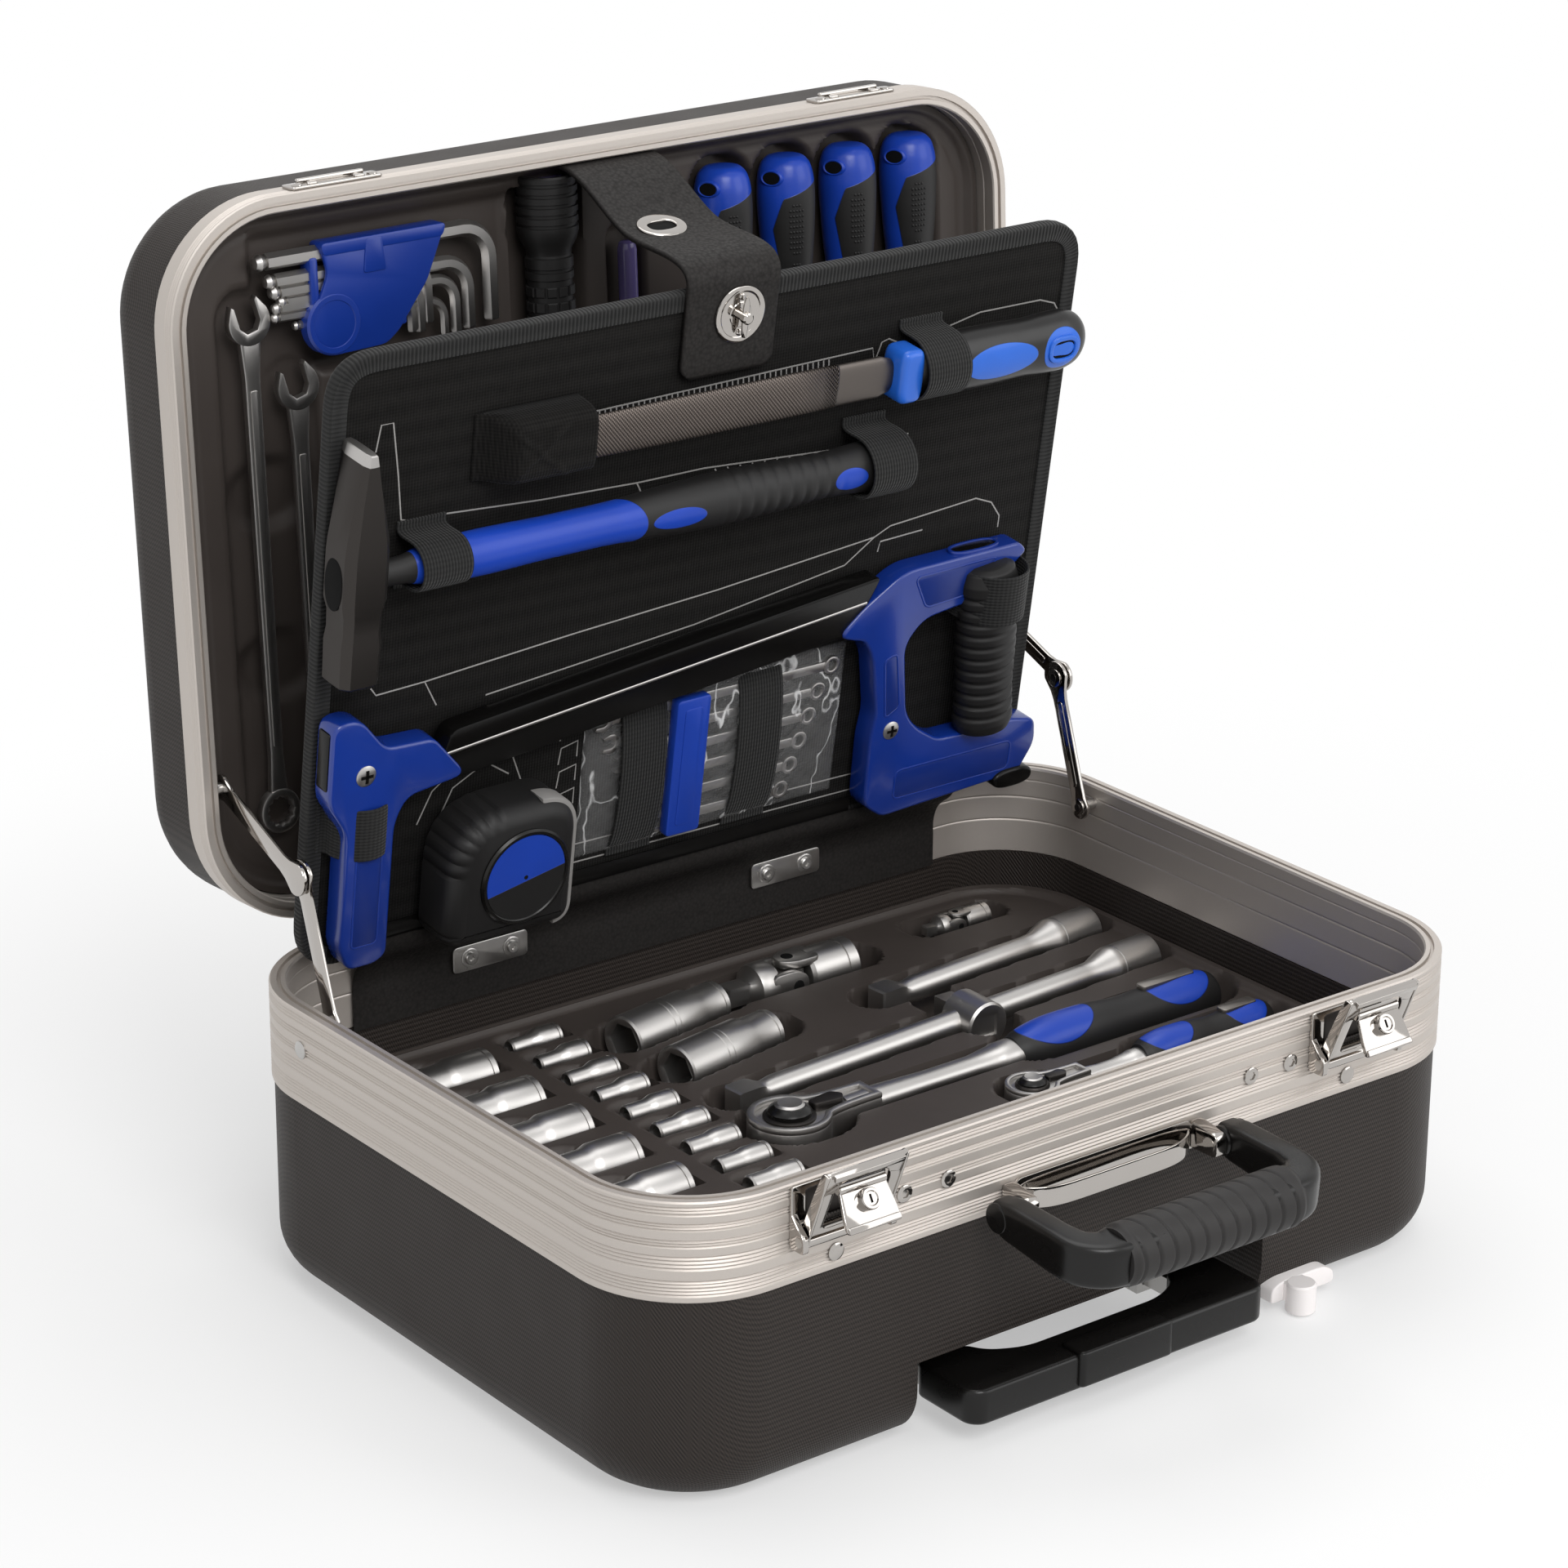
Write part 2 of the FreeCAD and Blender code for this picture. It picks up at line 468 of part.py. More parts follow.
def case_block(inset, low, high, centre_y="0", soft=None, soft_top=False):
    """A block with the case's outline, set in by a distance all round."""
    guess = (SIZES["case_width"], SIZES["case_depth"], SIZES["corner_radius"])
    sizes = [f"case_width - 2 * ({inset})", f"case_depth - 2 * ({inset})", f"corner_radius - ({inset})"]
    return rounded(*sizes, low, high, guess, ("0", centre_y), soft, soft_top)


def case_ring(outer, inner, low, high, centre_y="0"):
    hole = case_block(inner, f"({low}) - overrun", f"({high}) + overrun", centre_y)
    return less(case_block(outer, low, high, centre_y), hole)


def node(label, item, carrier=None):
    """A named sub-part, carried at its open angle where it is on the lid or the panel."""
    holder = group(item)
    holder.Label = label
    if carrier:
        y, z, angle = CARRIERS[carrier]
        settle(holder, ("0", y, z))
        holder.Placement.Rotation = FreeCAD.Rotation(FreeCAD.Vector(1, 0, 0), -1)
        bind(holder, "Placement.Rotation.Angle", angle)
    nodes[label] = holder
    return holder


def pivoted(label, item, place, angle):
    """A named sub-part modelled about its own pivot, then turned about X there."""
    holder = group(item)
    holder.Label = label
    settle(holder, place)
    holder.Placement.Rotation = FreeCAD.Rotation(FreeCAD.Vector(1, 0, 0), 1)
    bind(holder, "Placement.Rotation.Angle", angle)
    nodes[label] = holder


def make_base_shell():
    outer = case_block("shell_inset", "0", "frame_low", soft="bottom_round")
    upper = case_block("frame_thick", "tray_seat", "frame_low + overrun")
    lower = case_block("frame_thick + ledge_width", "floor_thick", "tray_seat + overrun")
    grip_house = box(span("0", "recess_width + 2 * house_wall"), ("front", "recess_back + house_wall"),
                     ("0", "recess_height + house_wall"))
    recess = box(span("0", "recess_width"), ("front - overrun", "recess_back"),
                 ("-overrun", "recess_height"))
    houses = [grip_house]
    cuts = [recess]
    for sign in SIDES.values():
        wheel = f"{sign} * wheel_x"
        houses.append(box(span(wheel, "wheel_bay + 2 * house_wall"),
                          ("wheel_y - wheel_reach - house_wall", "rear"),
                          ("0", "wheel_z + wheel_reach + house_wall")))
        cuts.append(box(span(wheel, "wheel_bay"), ("wheel_y - wheel_reach", "rear + overrun"),
                        ("-overrun", "wheel_z + wheel_reach")))
        cuts.append(rod("x", "axle_radius + pin_gap", span(wheel, "wheel_bay + 2 * axle_seat"),
                        ("wheel_y", "wheel_z")))
        cuts.append(box(span(f"{sign} * tube_x", "sleeve_width + 2 * fit_gap"),
                        ("recess_back - overrun", "recess_back + house_wall + overrun"),
                        ("floor_thick", "floor_thick + sleeve_height + fit_gap")))
    cavity = less(join(upper, lower), *houses)
    lip = case_ring("shell_inset", "shell_inset + shell_wall", "frame_low", "frame_low + groove_depth")
    node("base_shell", join(less(less(outer, cavity), *cuts), lip))


def make_frame(label, low, high, groove_low, groove_high, centre_y="0", carrier=None):
    ring = case_ring("0", "frame_thick", low, high, centre_y)
    groove = case_ring("frame_skin", "shell_inset + shell_wall + fit_gap", groove_low, groove_high, centre_y)
    node(label, less(ring, groove), carrier)


def socket(kind, place, swell="0", tilt=0):
    segments = [
        (f"{kind}_nose_length", f"{kind}_nose_radius", f"{kind}_nose_radius"),
        (f"{kind}_length - {kind}_nose_length", f"{kind}_radius", f"{kind}_radius"),
    ]
    return turned("x", place, segments, tilt, swell)


def socket_row(kind):
    """Sockets in a row from the rear, with a hexagon bore at one end and a square one at the other."""
    pockets = []
    items = []
    for number in range(SIZES[f"{kind}_count"]):
        y = f"inner_rear - {kind}_inset - {number} * {kind}_pitch"
        z = f"tray_top - {kind}_sink"
        place = (f"{kind}_x", y, z)
        hollow = hexagon("x", f"{kind}_hex", f"{kind}_bore + overrun", (f"{kind}_x - overrun", y, z))
        end = f"{kind}_x + {kind}_length"
        square = box((f"{end} - {kind}_bore", f"{end} + overrun"), span(y, f"{kind}_square"),
                     span(z, f"{kind}_square"))
        items.append(less(socket(kind, place), hollow, square))
        pockets.append(socket(kind, place, "seat_gap"))
    node(f"sockets_{kind}", group(*items))
    return pockets


def deep_sockets():
    items = []
    pockets = []
    tilt = SIZES["deep_tilt"]
    for number in range(2):
        y = f"inner_rear - deep_inset - {number} * deep_pitch"
        place = ("deep_x", y, "tool_z")
        hollow = hexagon("x", "deep_hex", "deep_bore", place, tilt)
        items.append(less(socket("deep", place, "0", tilt), hollow))
        pockets.append(socket("deep", place, "seat_gap", tilt))
    node("deep_sockets", group(*items))
    return pockets


def drive_bars():
    """Extension bars, universal joints and the sliding head, and their pockets."""
    def lay(swell):
        yoke = ("yoke_length", "yoke_radius", "yoke_radius")
        mini = ("mini_length", "mini_radius", "mini_radius")
        joints = [
            ("yoke", [yoke, ("cross_length", "cross_radius", "cross_radius"), yoke]),
            ("mini", [mini, ("mini_cross_length", "mini_cross_radius", "mini_cross_radius"), mini]),
        ]
        items = [turned("x", (f"{name}_x", f"inner_rear - {name}_inset", "tool_z"), segments, 0, swell)
                 for name, segments in joints]
        for name in ("bar_short", "bar_long"):
            whole = f"(inner_side - bar_end - {name}_x) / cos({name}_tilt)"
            segments = [
                ("bar_drive_length", "bar_drive_radius", "bar_drive_radius"),
                (f"{whole} - bar_drive_length - bar_cup_length", "bar_radius", "bar_radius"),
                ("bar_cup_length", "bar_cup_radius", "bar_cup_radius"),
            ]
            place = (f"{name}_x", f"inner_rear - {name}_inset", "tool_z")
            items.append(turned("x", place, segments, SIZES[f"{name}_tilt"], swell))
        head = rod("y", f"slide_radius + {swell}",
                   (f"slide_y - slide_front - {swell}", f"slide_y + slide_back + {swell}"),
                   ("slide_x", "tool_z"))
        side = f"slide_peg + 2 * {swell}"
        peg = box(span("slide_x", side), ("slide_y", f"slide_y + slide_back + slide_peg_length + {swell}"),
                  span("tool_z", side))
        items.append(join(head, peg))
        return items
    yoke, mini, short, long, head = lay("0")
    square = box(span("slide_x", "slide_square"), ("slide_y - slide_front - overrun", "slide_y"),
                 span("tool_z", "slide_square"))
    bore = turned("x", ("slide_x - 2 * slide_radius * cos(bar_long_tilt)",
                        "slide_y - 2 * slide_radius * sin(bar_long_tilt)", "tool_z"),
                  [("4 * slide_radius", "bar_radius + fit_gap", "bar_radius + fit_gap")],
                  SIZES["bar_long_tilt"])
    node("drive_bars", group(yoke, mini, short, long, less(head, square, bore)))
    return lay("seat_gap")


def ratchets():
    bodies = []
    grips = []
    pockets = []
    for name in ("ratchet", "mini_ratchet"):
        y = f"inner_rear - {name}_inset"
        length = f"inner_side - grip_gap - {name}_x - {name}_reach"

        def head(swell):
            puck = rod("z", f"{name}_head + {swell}",
                       (f"tool_z - {name}_thick / 2 - {swell}", f"tool_z + {name}_thick / 2 + {swell}"),
                       (f"{name}_x", y))
            neck = turned("x", (f"{name}_x", y, "tool_z"),
                          [(f"{name}_reach", f"{name}_neck", f"{name}_neck")], 0, swell)
            return join(puck, neck)

        def grip(swell):
            waist = f"{name}_grip_radius - grip_waist"
            segments = [
                ("grip_end", waist, f"{name}_grip_radius"),
                (f"{length} - 2 * grip_end", f"{name}_grip_radius", f"{name}_grip_radius"),
                ("grip_end", f"{name}_grip_radius", waist),
            ]
            return turned("x", (f"{name}_x + {name}_reach", y, "tool_z"), segments, 0, swell)
        bodies.append(head("0"))
        grips.append(grip("0"))
        pockets += [head("seat_gap"), grip("seat_gap")]
    node("ratchets", group(*bodies))
    node("ratchet_grips", group(*grips))
    return pockets


def make_base_tray():
    pockets = socket_row("large") + socket_row("small") + deep_sockets() + drive_bars() + ratchets()
    slab = case_block("frame_thick + tray_gap", "tray_seat", "tray_top + lip_height")
    well = case_block("frame_thick + tray_gap + lip_width", "tray_top", "tray_top + lip_height + overrun")
    node("base_tray", less(less(slab, well), *pockets))


def make_latches():
    plates = []
    keepers = []
    for side, sign in SIDES.items():
        x = f"{sign} * latch_x"
        pivot = (x, "latch_pivot_y", "latch_pivot_z")
        width = span(x, "latch_width")
        items = [box(width, ("front - latch_plate_thick", "front"),
                     ("latch_low", "latch_low + latch_plate_height"))]
        for edge in SIDES.values():
            ear = span(f"({x}) + {edge} * (latch_width - latch_ear) / 2", "latch_ear")
            items.append(box(ear, ("front - latch_ear_reach", "front"),
                             ("latch_low", "latch_low + latch_ear_height")))
        items.append(rod("x", "latch_pin", width, pivot[1:]))
        plates.append(join(*items))
        make_claw(side, pivot)
        make_tongue(side, x)
        keepers.append(keeper(x))
        rivets = [(x, "frame_low + rivet_low"), (f"{sign} * screw_inner", "screw_z"),
                  (f"{sign} * screw_outer", "screw_z")]
        for place in rivets:
            plates.append(rod("y", "rivet_radius", ("front - rivet_thick", "front"), place))
    node("latch_plates", group(*plates))
    node("latch_keepers", group(*keepers), "lid")


def make_claw(side, pivot):
    """The swinging claw: a plate with a window, a hook along its top and a pin for its tongue."""
    width = span("0", "claw_width")
    knuckle = rod("x", "claw_knuckle", width, ("0", "0"))
    plate = box(width, span("0", "claw_thick"), ("0", "claw_height"))
    hook = box(width, ("0", "hook_reach"), ("claw_height - hook_thick", "claw_height"))
    window = box(span("0", "window_width"), span("0", "2 * hook_reach"), ("window_low", "window_high"))
    bore = rod("x", "latch_pin + pin_gap", span("0", "claw_width + 2 * overrun"), ("0", "0"))
    pin = rod("x", "tongue_pin", span("0", "window_width + 2 * overrun"), ("0", "tongue_place"))
    pivoted(f"latch_claw_{side}", join(less(join(knuckle, plate, hook), window, bore), pin), pivot,
            "claw_open")


def make_tongue(side, x):
    width = span("0", "tongue_width")
    knuckle = rod("x", "tongue_knuckle", width, ("0", "0"))
    plate = box(width, span("0", "tongue_thick"), ("-tongue_length", "0"))
    bore = rod("x", "tongue_pin + pin_gap", span("0", "tongue_width + 2 * overrun"), ("0", "0"))
    barrel = rod("y", "barrel_radius", span("0", "tongue_thick + 2 * overrun"), ("0", "-tongue_length / 2"))
    place = (x, "latch_pivot_y - tongue_place * sin(claw_open)",
             "latch_pivot_z + tongue_place * cos(claw_open)")
    pivoted(f"latch_tongue_{side}", less(join(knuckle, plate), bore, barrel), place,
            "claw_open - tongue_open")


def keeper(x):
    """A plate on the lid's front with a ridge for the claw, in the shut lid's own frame."""
    face = "front - hinge_y"
    width = span(x, "keeper_width")
    low = "lid_rim + keeper_low"
    plate = box(width, (f"{face} - keeper_thick", face), (low, f"{low} + keeper_height"))
    ridge = box(width, (f"{face} - ridge_reach", face), ("ridge_top - ridge_height", "ridge_top"))
    return join(plate, ridge)


def make_carry_handle():
    pivot = ("handle_pivot_y", "handle_pivot_z")
    items = [box(span("0", "plate_width"), ("front - plate_thick", "front"),
                 ("plate_low", "plate_low + plate_height"))]
    arms = []
    bores = []
    for sign in SIDES.values():
        ear = f"{sign} * (handle_inner / 2 - handle_gap - handle_ear / 2)"
        items.append(box(span(ear, "handle_ear"), ("front - handle_ear_reach", "front"),
                         span("handle_pivot_z", "plate_height")))
        pin = f"{sign} * (handle_inner / 2 - handle_gap + pin_bite / 2)"
        items.append(rod("x", "handle_pin", span(pin, "pin_bite"), pivot))
        arm = span(f"{sign} * (handle_inner + arm_width) / 2", "arm_width")
        arms.append(rod("x", "arm_height / 2", arm, ("0", "0")))
        arms.append(box(arm, ("-handle_reach", "0"), span("0", "arm_height")))
        bores.append(rod("x", "handle_pin + pin_gap",
                         span(pin, "pin_bite + 2 * pin_gap"), ("0", "0")))
    node("handle_plate", join(*items))
    bar = rod("x", "bar_grip", span("0", "handle_inner + 2 * arm_width"), ("-handle_reach", "0"))
    place = ("0", *pivot)
    pivoted("carry_handle", less(join(bar, *arms), *bores), place, "handle_droop")
    sleeve = rod("x", "sleeve_radius", span("0", "sleeve_span"), ("-handle_reach", "0"))
    hole = rod("x", "bar_grip", span("0", "sleeve_span + 2 * overrun"), ("-handle_reach", "0"))
    pivoted("handle_sleeve", less(sleeve, hole), place, "handle_droop")


def tube(x, name, ends):
    """A rectangular trolley tube, open at both ends."""
    outer = box(span(x, f"{name}_width"), ends, span("tube_z", f"{name}_height"))
    hole = box(span(x, f"{name}_width - 2 * tube_wall"), (f"{ends[0]} - overrun", f"{ends[1]} + overrun"),
               span("tube_z", f"{name}_height - 2 * tube_wall"))
    return less(outer, hole)


def make_trolley():
    sleeves = []
    middles = []
    inners = []
    sockets = []
    for sign in SIDES.values():
        x = f"{sign} * tube_x"
        sleeves.append(tube(x, "sleeve", ("sleeve_front", "sleeve_back")))
        middle = tube(x, "middle", ("middle_front", "middle_back"))
        collar = tube(x, "sleeve", ("middle_front", "middle_front + collar_length"))
        filler = box(span(x, "sleeve_width - tube_wall"), ("middle_front", "middle_front + collar_length"),
                     span("tube_z", "sleeve_height - tube_wall"))
        bore = box(span(x, "middle_width - 2 * tube_wall"),
                   ("middle_front - overrun", "middle_back + overrun"),
                   span("tube_z", "middle_height - 2 * tube_wall"))
        middles.append(less(join(middle, collar, filler), bore))
        inners.append(tube(x, "inner", ("inner_front", "inner_back")))
        sockets.append(box(span(x, "inner_width + 2 * fit_gap"), ("inner_front", "grip_back + overrun"),
                           span("tube_z", "inner_height + 2 * fit_gap")))
    node("trolley_sleeves", group(*sleeves))
    node("trolley_middle", group(*middles))
    node("trolley_inner", group(*inners))
    make_trolley_grip(sockets)


def make_trolley_grip(sockets):
    """The pull grip: a bar with two horns that hold the tubes, and a push button let into it."""
    depth = "trolley_grip_out + trolley_grip_back"
    guess = (SIZES["trolley_grip_width"], SIZES["trolley_grip_out"] + SIZES["trolley_grip_back"],
             SIZES["trolley_round"])
    block = rounded("trolley_grip_width", depth, "trolley_round", "trolley_grip_low", "grip_top", guess,
                    ("0", "(grip_front + grip_back) / 2"))
    height = ("trolley_grip_low - overrun", "grip_top + overrun")
    finger = box(span("0", "finger_width"), ("grip_front + trolley_bar", "grip_back + overrun"), height)
    notch_back = "grip_front - button_out + button_depth + button_travel + button_gap"
    notch_low = "trolley_grip_low + button_floor"
    notch = box(span("0", "button_width + 2 * button_gap"), ("grip_front - overrun", notch_back),
                (notch_low, "grip_top + overrun"))
    node("trolley_grip", less(block, finger, notch, *sockets))
    button = box(span("0", "button_width"), ("grip_front - button_out",
                                             "grip_front - button_out + button_depth"),
                 (f"{notch_low} + seat_gap", "grip_top + button_up"))
    node("trolley_button", button)


def make_wheels():
    axles = []
    for side, sign in SIDES.items():
        x = f"{sign} * wheel_x"
        centre = ("wheel_y", "wheel_z")
        segments = [
            ("wheel_round", "wheel_radius - wheel_round", "wheel_radius"),
            ("wheel_width - 2 * wheel_round", "wheel_radius", "wheel_radius"),
            ("wheel_round", "wheel_radius", "wheel_radius - wheel_round"),
        ]
        tyre = turned("x", (f"({x}) - wheel_width / 2", *centre), segments)
        bore = rod("x", "axle_radius + pin_gap", span(x, "wheel_width + 2 * overrun"), centre)
        node(f"wheel_{side}", less(tyre, bore))
        axles.append(rod("x", "axle_radius", span(x, "wheel_bay + 2 * axle_seat"), centre))
    node("wheel_axles", group(*axles))


def make_foot():
    """A T-shaped foot held under the front edge of the shell."""
    outer = case_block("shell_inset", "0", "frame_low", soft="bottom_round")
    face = "front - foot_out"
    plate = box(span("foot_x", "foot_width"), (face, "front + bottom_round"),
                ("foot_low", "foot_low + foot_height"))
    stub = rod("z", "stub_radius", ("stub_low", "foot_low + foot_height"), ("stub_x", f"{face} - foot_thick"))
    web = box(span("stub_x", "stub_radius"), (f"{face} - foot_thick", "front"),
              ("foot_low", "foot_low + foot_height"))
    node("white_foot", less(join(plate, stub, web), outer))


def make_hinges():
    """Rear hinges: leaves on both frames, with the pin held by the outer knuckles."""
    base = []
    lid = []
    for sign in SIDES.values():
        x = f"{sign} * hinge_place"
        leaf_top = "base_height - hinge_leaf_drop"
        items = [box(span(x, "hinge_length"), ("rear", "rear + hinge_leaf_thick"),
                     (f"{leaf_top} - hinge_leaf_height", leaf_top))]
        for edge in SIDES.values():
            part = span(f"({x}) + {edge} * (hinge_length - knuckle_length) / 2", "knuckle_length - seat_gap")
            items.append(rod("x", "knuckle_radius", part, ("hinge_y", "hinge_z")))
            items.append(box(part, ("rear", "hinge_y"),
                             ("hinge_z - web_drop - web_height", "hinge_z - web_drop")))
        items.append(rod("x", "hinge_pin_radius", span(x, "hinge_length"), ("hinge_y", "hinge_z")))
        base.append(join(*items))
        part = span(x, "hinge_length - 2 * knuckle_length - seat_gap")
        knuckle = rod("x", "knuckle_radius", part, ("0", "0"))
        web = box(part, ("-hinge_back", "0"), ("web_drop / 2", "web_drop / 2 + web_height"))
        leaf = box(span(x, "hinge_length"), ("-hinge_back", "hinge_leaf_thick - hinge_back"),
                   ("lid_leaf_low", "lid_seam"))
        bore = rod("x", "hinge_pin_radius + pin_gap", span(x, "hinge_length"), ("0", "0"))
        lid.append(less(join(knuckle, web, leaf), bore))
    node("base_hinges", group(*base))
    node("lid_hinges", group(*lid), "lid")


def make_lid_shell():
    centre = "-hinge_y"
    outer = case_block("shell_inset", "lid_seam", "lid_top", centre, "lid_round", True)
    room = case_block("frame_thick", "lid_seam - overrun", "lid_ledge", centre)
    back = case_block("frame_thick + ledge_width", "lid_ledge - overrun", "lid_top - lid_roof", centre)
    lip = case_ring("shell_inset", "shell_inset + shell_wall", "lid_seam - lid_groove", "lid_seam", centre)
    node("lid_shell", join(less(outer, join(room, back)), lip), "lid")


def screwdriver(x, swell):
    segments = [
        ("driver_crown", "driver_neck", "driver_radius"),
        ("driver_handle - driver_crown - driver_collar", "driver_radius", "driver_radius"),
        ("driver_collar", "driver_radius", "driver_neck"),
        ("driver_shaft", "driver_shaft_radius", "driver_shaft_radius"),
    ]
    return turned("y", (x, "-driver_butt", "lid_tool_z"), segments, 0, swell)


def tester(swell):
    segments = [("tester_length", "tester_radius", "tester_radius")]
    return turned("y", ("tester_x", "-tester_butt", "lid_tool_z"), segments, 0, swell)


def torch(swell):
    segments = [
        ("torch_head", "torch_head_radius", "torch_head_radius"),
        ("torch_body", "torch_body_radius", "torch_body_radius"),
    ]
    return turned("y", ("torch_x", "-torch_butt", "lid_tool_z"), segments, 0, swell)


def hex_keys(swell):
    """Hex keys through their holder, longest first, each with a leg toward the hinge at its far end."""
    items = []
    for number in range(SIZES["key_count"]):
        thick = f"key_thick - {number} * key_taper"
        y = f"-key_first + {number} * key_pitch"
        end = f"key_end - {number} * key_step"
        z = "lid_tray_face - key_out"
        side = f"{thick} + 2 * {swell}"
        foot = f"{y} + key_leg - {number} * key_leg_step + {swell}"
        arm = box((f"key_x - {swell}", f"{end} + {swell}"), span(y, side), span(z, side))
        leg = box((f"{end} - ({thick}) - {swell}", f"{end} + {swell}"), (y, foot), span(z, side))
        items.append(join(arm, leg))
    return items


def make_lid_tools():
    places = [f"driver_x + {number} * driver_pitch" for number in range(SIZES["driver_count"])]
    drivers = [screwdriver(x, "0") for x in places]
    node("screwdrivers", group(*drivers, tester("0")), "lid")
    node("torch", torch("0"), "lid")
    holder = box(("holder_x", "holder_x + holder_width"), ("-holder_far", "holder_height - holder_far"),
                 ("lid_tray_face - holder_thick", "lid_tray_face"))
    node("hex_holder", less(holder, *hex_keys("pin_gap")), "lid")
    node("hex_keys", group(*hex_keys("0")), "lid")
    node("spanners", group(*[spanner(number) for number in range(SIZES["spanner_count"])]), "lid")
    slab = case_block("frame_thick + tray_gap", "lid_tray_face", "lid_ledge", "-hinge_y")
    pockets = [screwdriver(x, "seat_gap") for x in places] + [tester("seat_gap"), torch("seat_gap")]
    node("lid_tray", less(slab, *pockets), "lid")


def spanner(number):
    """A combination spanner lying on the lid tray, ring at the hinge end and jaw at the far end."""
    x = f"spanner_x + {number} * spanner_pitch"
    far = f"-spanner_far + {number} * spanner_stagger"
    height = ("lid_tray_face - spanner_thick", "lid_tray_face")
    cut = ("lid_tray_face - spanner_thick - overrun", "lid_tray_face + overrun")
    shank = box(span(x, "spanner_shank"), (far, "-spanner_near"), height)
    jaw = rod("z", "spanner_ring", height, (x, far))
    ring = rod("z", "spanner_ring", height, (x, "-spanner_near"))
    mouth = box(span(x, "spanner_hole * 2"), (f"{far} - 2 * spanner_ring", far), cut)
    hole = rod("z", "spanner_hole", cut, (x, "-spanner_near"))
    return less(join(shank, jaw, ring), mouth, hole)


def make_panel():
    guess = (SIZES["case_width"], SIZES["case_depth"], SIZES["panel_round"])
    centre = ("0", "-panel_start - panel_length / 2")

    def board(grow, low, high):
        sizes = [f"2 * (panel_half + ({grow}))", f"panel_length + 2 * ({grow})", f"panel_round + ({grow})"]
        return rounded(*sizes, low, high, guess, centre)
    back = "panel_face + panel_thick"
    node("panel_board", board("0", "panel_face", back), "panel")
    cover = board("binding_thick", "panel_face - binding_thick", f"{back} + binding_thick")
    window = board("-binding_width", "panel_face - 2 * binding_thick", f"{back} + 2 * binding_thick")
    node("panel_binding", less(cover, board("0", "panel_face", back), window), "panel")
    flap = box(span("0", "flap_width"), ("inner_rear - fit_gap - flap_thick", "inner_rear - fit_gap"),
               ("flap_low", "flap_top"))
    node("panel_flap", flap)
    clamps = []
    for place in ("clamp_left_share", "clamp_right_share"):
        face = "inner_rear - fit_gap - flap_thick"
        clamps.append(box(span(f"{place} * inner_side", "clamp_width"), (f"{face} - clamp_thick", face),
                          ("clamp_low", "clamp_low + clamp_height")))
    node("clamp_plates", group(*clamps))


def band(x, reach, across, depth, upright=False):
    """An elastic band over a tool, sewn down to the board at both sides."""
    outer = ["band_width", f"({across}) + 2 * seat_gap + 2 * band_thick"]
    inner = ["band_width + 2 * overrun", f"({across}) + 2 * seat_gap"]
    if upright:
        outer.reverse()
        inner.reverse()
    top = f"hang - ({depth}) - seat_gap"
    y = f"-({reach})"
    cover = box(span(x, outer[0]), span(y, outer[1]), (f"{top} - band_thick", "panel_face"))
    room = box(span(x, inner[0]), span(y, inner[1]), (top, "panel_face + overrun"))
    return less(cover, room)


def make_panel_bands():
    file_end = "file_z - file_thick / 2"
    pocket = box(("file_x - pocket_length + pocket_cover", "file_x + pocket_cover"),
                 span("-file_reach", "file_width + 2 * pocket_wall"),
                 (f"{file_end} - pocket_wall", "panel_face"))
    room = box(("file_x - seat_gap", "file_x + pocket_cover + overrun"),
               span("-file_reach", "file_width + 2 * seat_gap"),
               span("file_z", "file_thick + 2 * seat_gap"))
    grip = ("2 * file_grip_radius", "2 * file_grip_radius + binding_thick")
    hammer_grip = ("2 * hammer_grip_radius", "2 * hammer_grip_radius")
    shaft = ("2 * hammer_shaft_radius", "hammer_grip_radius + hammer_shaft_radius")
    set_depth = "set_thick + fit_gap + set_holder_thick"
    node("panel_bands", group(
        less(pocket, room),
        band("file_butt + file_band_in", "file_reach", *grip),
        band("hammer_x + hammer_band_out", "hammer_reach", *shaft),
        band("hammer_end - hammer_band_in", "hammer_reach", *hammer_grip),
        band("saw_leg_x + saw_leg / 2", "saw_bar_reach - saw_band_drop", "saw_leg", "saw_thick", True),
        band("set_x - set_band_back", "set_reach", "set_span", set_depth),
        band("set_x + set_band_fore", "set_reach", "set_span", set_depth),
    ), "panel")


def make_file():
    blade = box(("file_x", "file_butt"), span("-file_reach", "file_width"),
                span("file_z", "file_thick"))
    segments = [
        ("file_ferrule", "file_neck_radius", "file_neck_radius"),
        ("file_grip - file_ferrule", "file_grip_radius", "file_grip_radius"),
    ]
    node("file_blade", blade, "panel")
    node("file_handle", turned("x", ("file_butt", "-file_reach", "file_z"), segments), "panel")


def make_hammer():
    z = "hang - hammer_grip_radius"
    start = "-hammer_reach - hammer_lift - hammer_head / 2"
    middle = "hammer_head - 2 * hammer_face"
    segments = [
        ("hammer_face", "hammer_radius", "hammer_radius"),
        (f"({middle}) / 2", "hammer_waist", "hammer_radius"),
        (f"({middle}) / 2", "hammer_radius", "hammer_waist"),
        ("hammer_face", "hammer_radius", "hammer_waist"),
    ]
    head = turned("y", ("hammer_x", start, z), segments)
    eye = rod("x", "hammer_eye + fit_gap", span("hammer_x", "4 * hammer_radius"), ("-hammer_reach", z))
    node("hammer_head", less(head, eye), "panel")
    shaft = [
        ("2 * hammer_radius + seat_gap", "hammer_eye", "hammer_eye"),
        ("hammer_shaft", "hammer_shaft_radius", "hammer_shaft_radius"),
        ("hammer_grip", "hammer_grip_radius", "hammer_grip_radius"),
    ]
    node("hammer_handle", turned("x", ("hammer_start", "-hammer_reach", z), shaft), "panel")


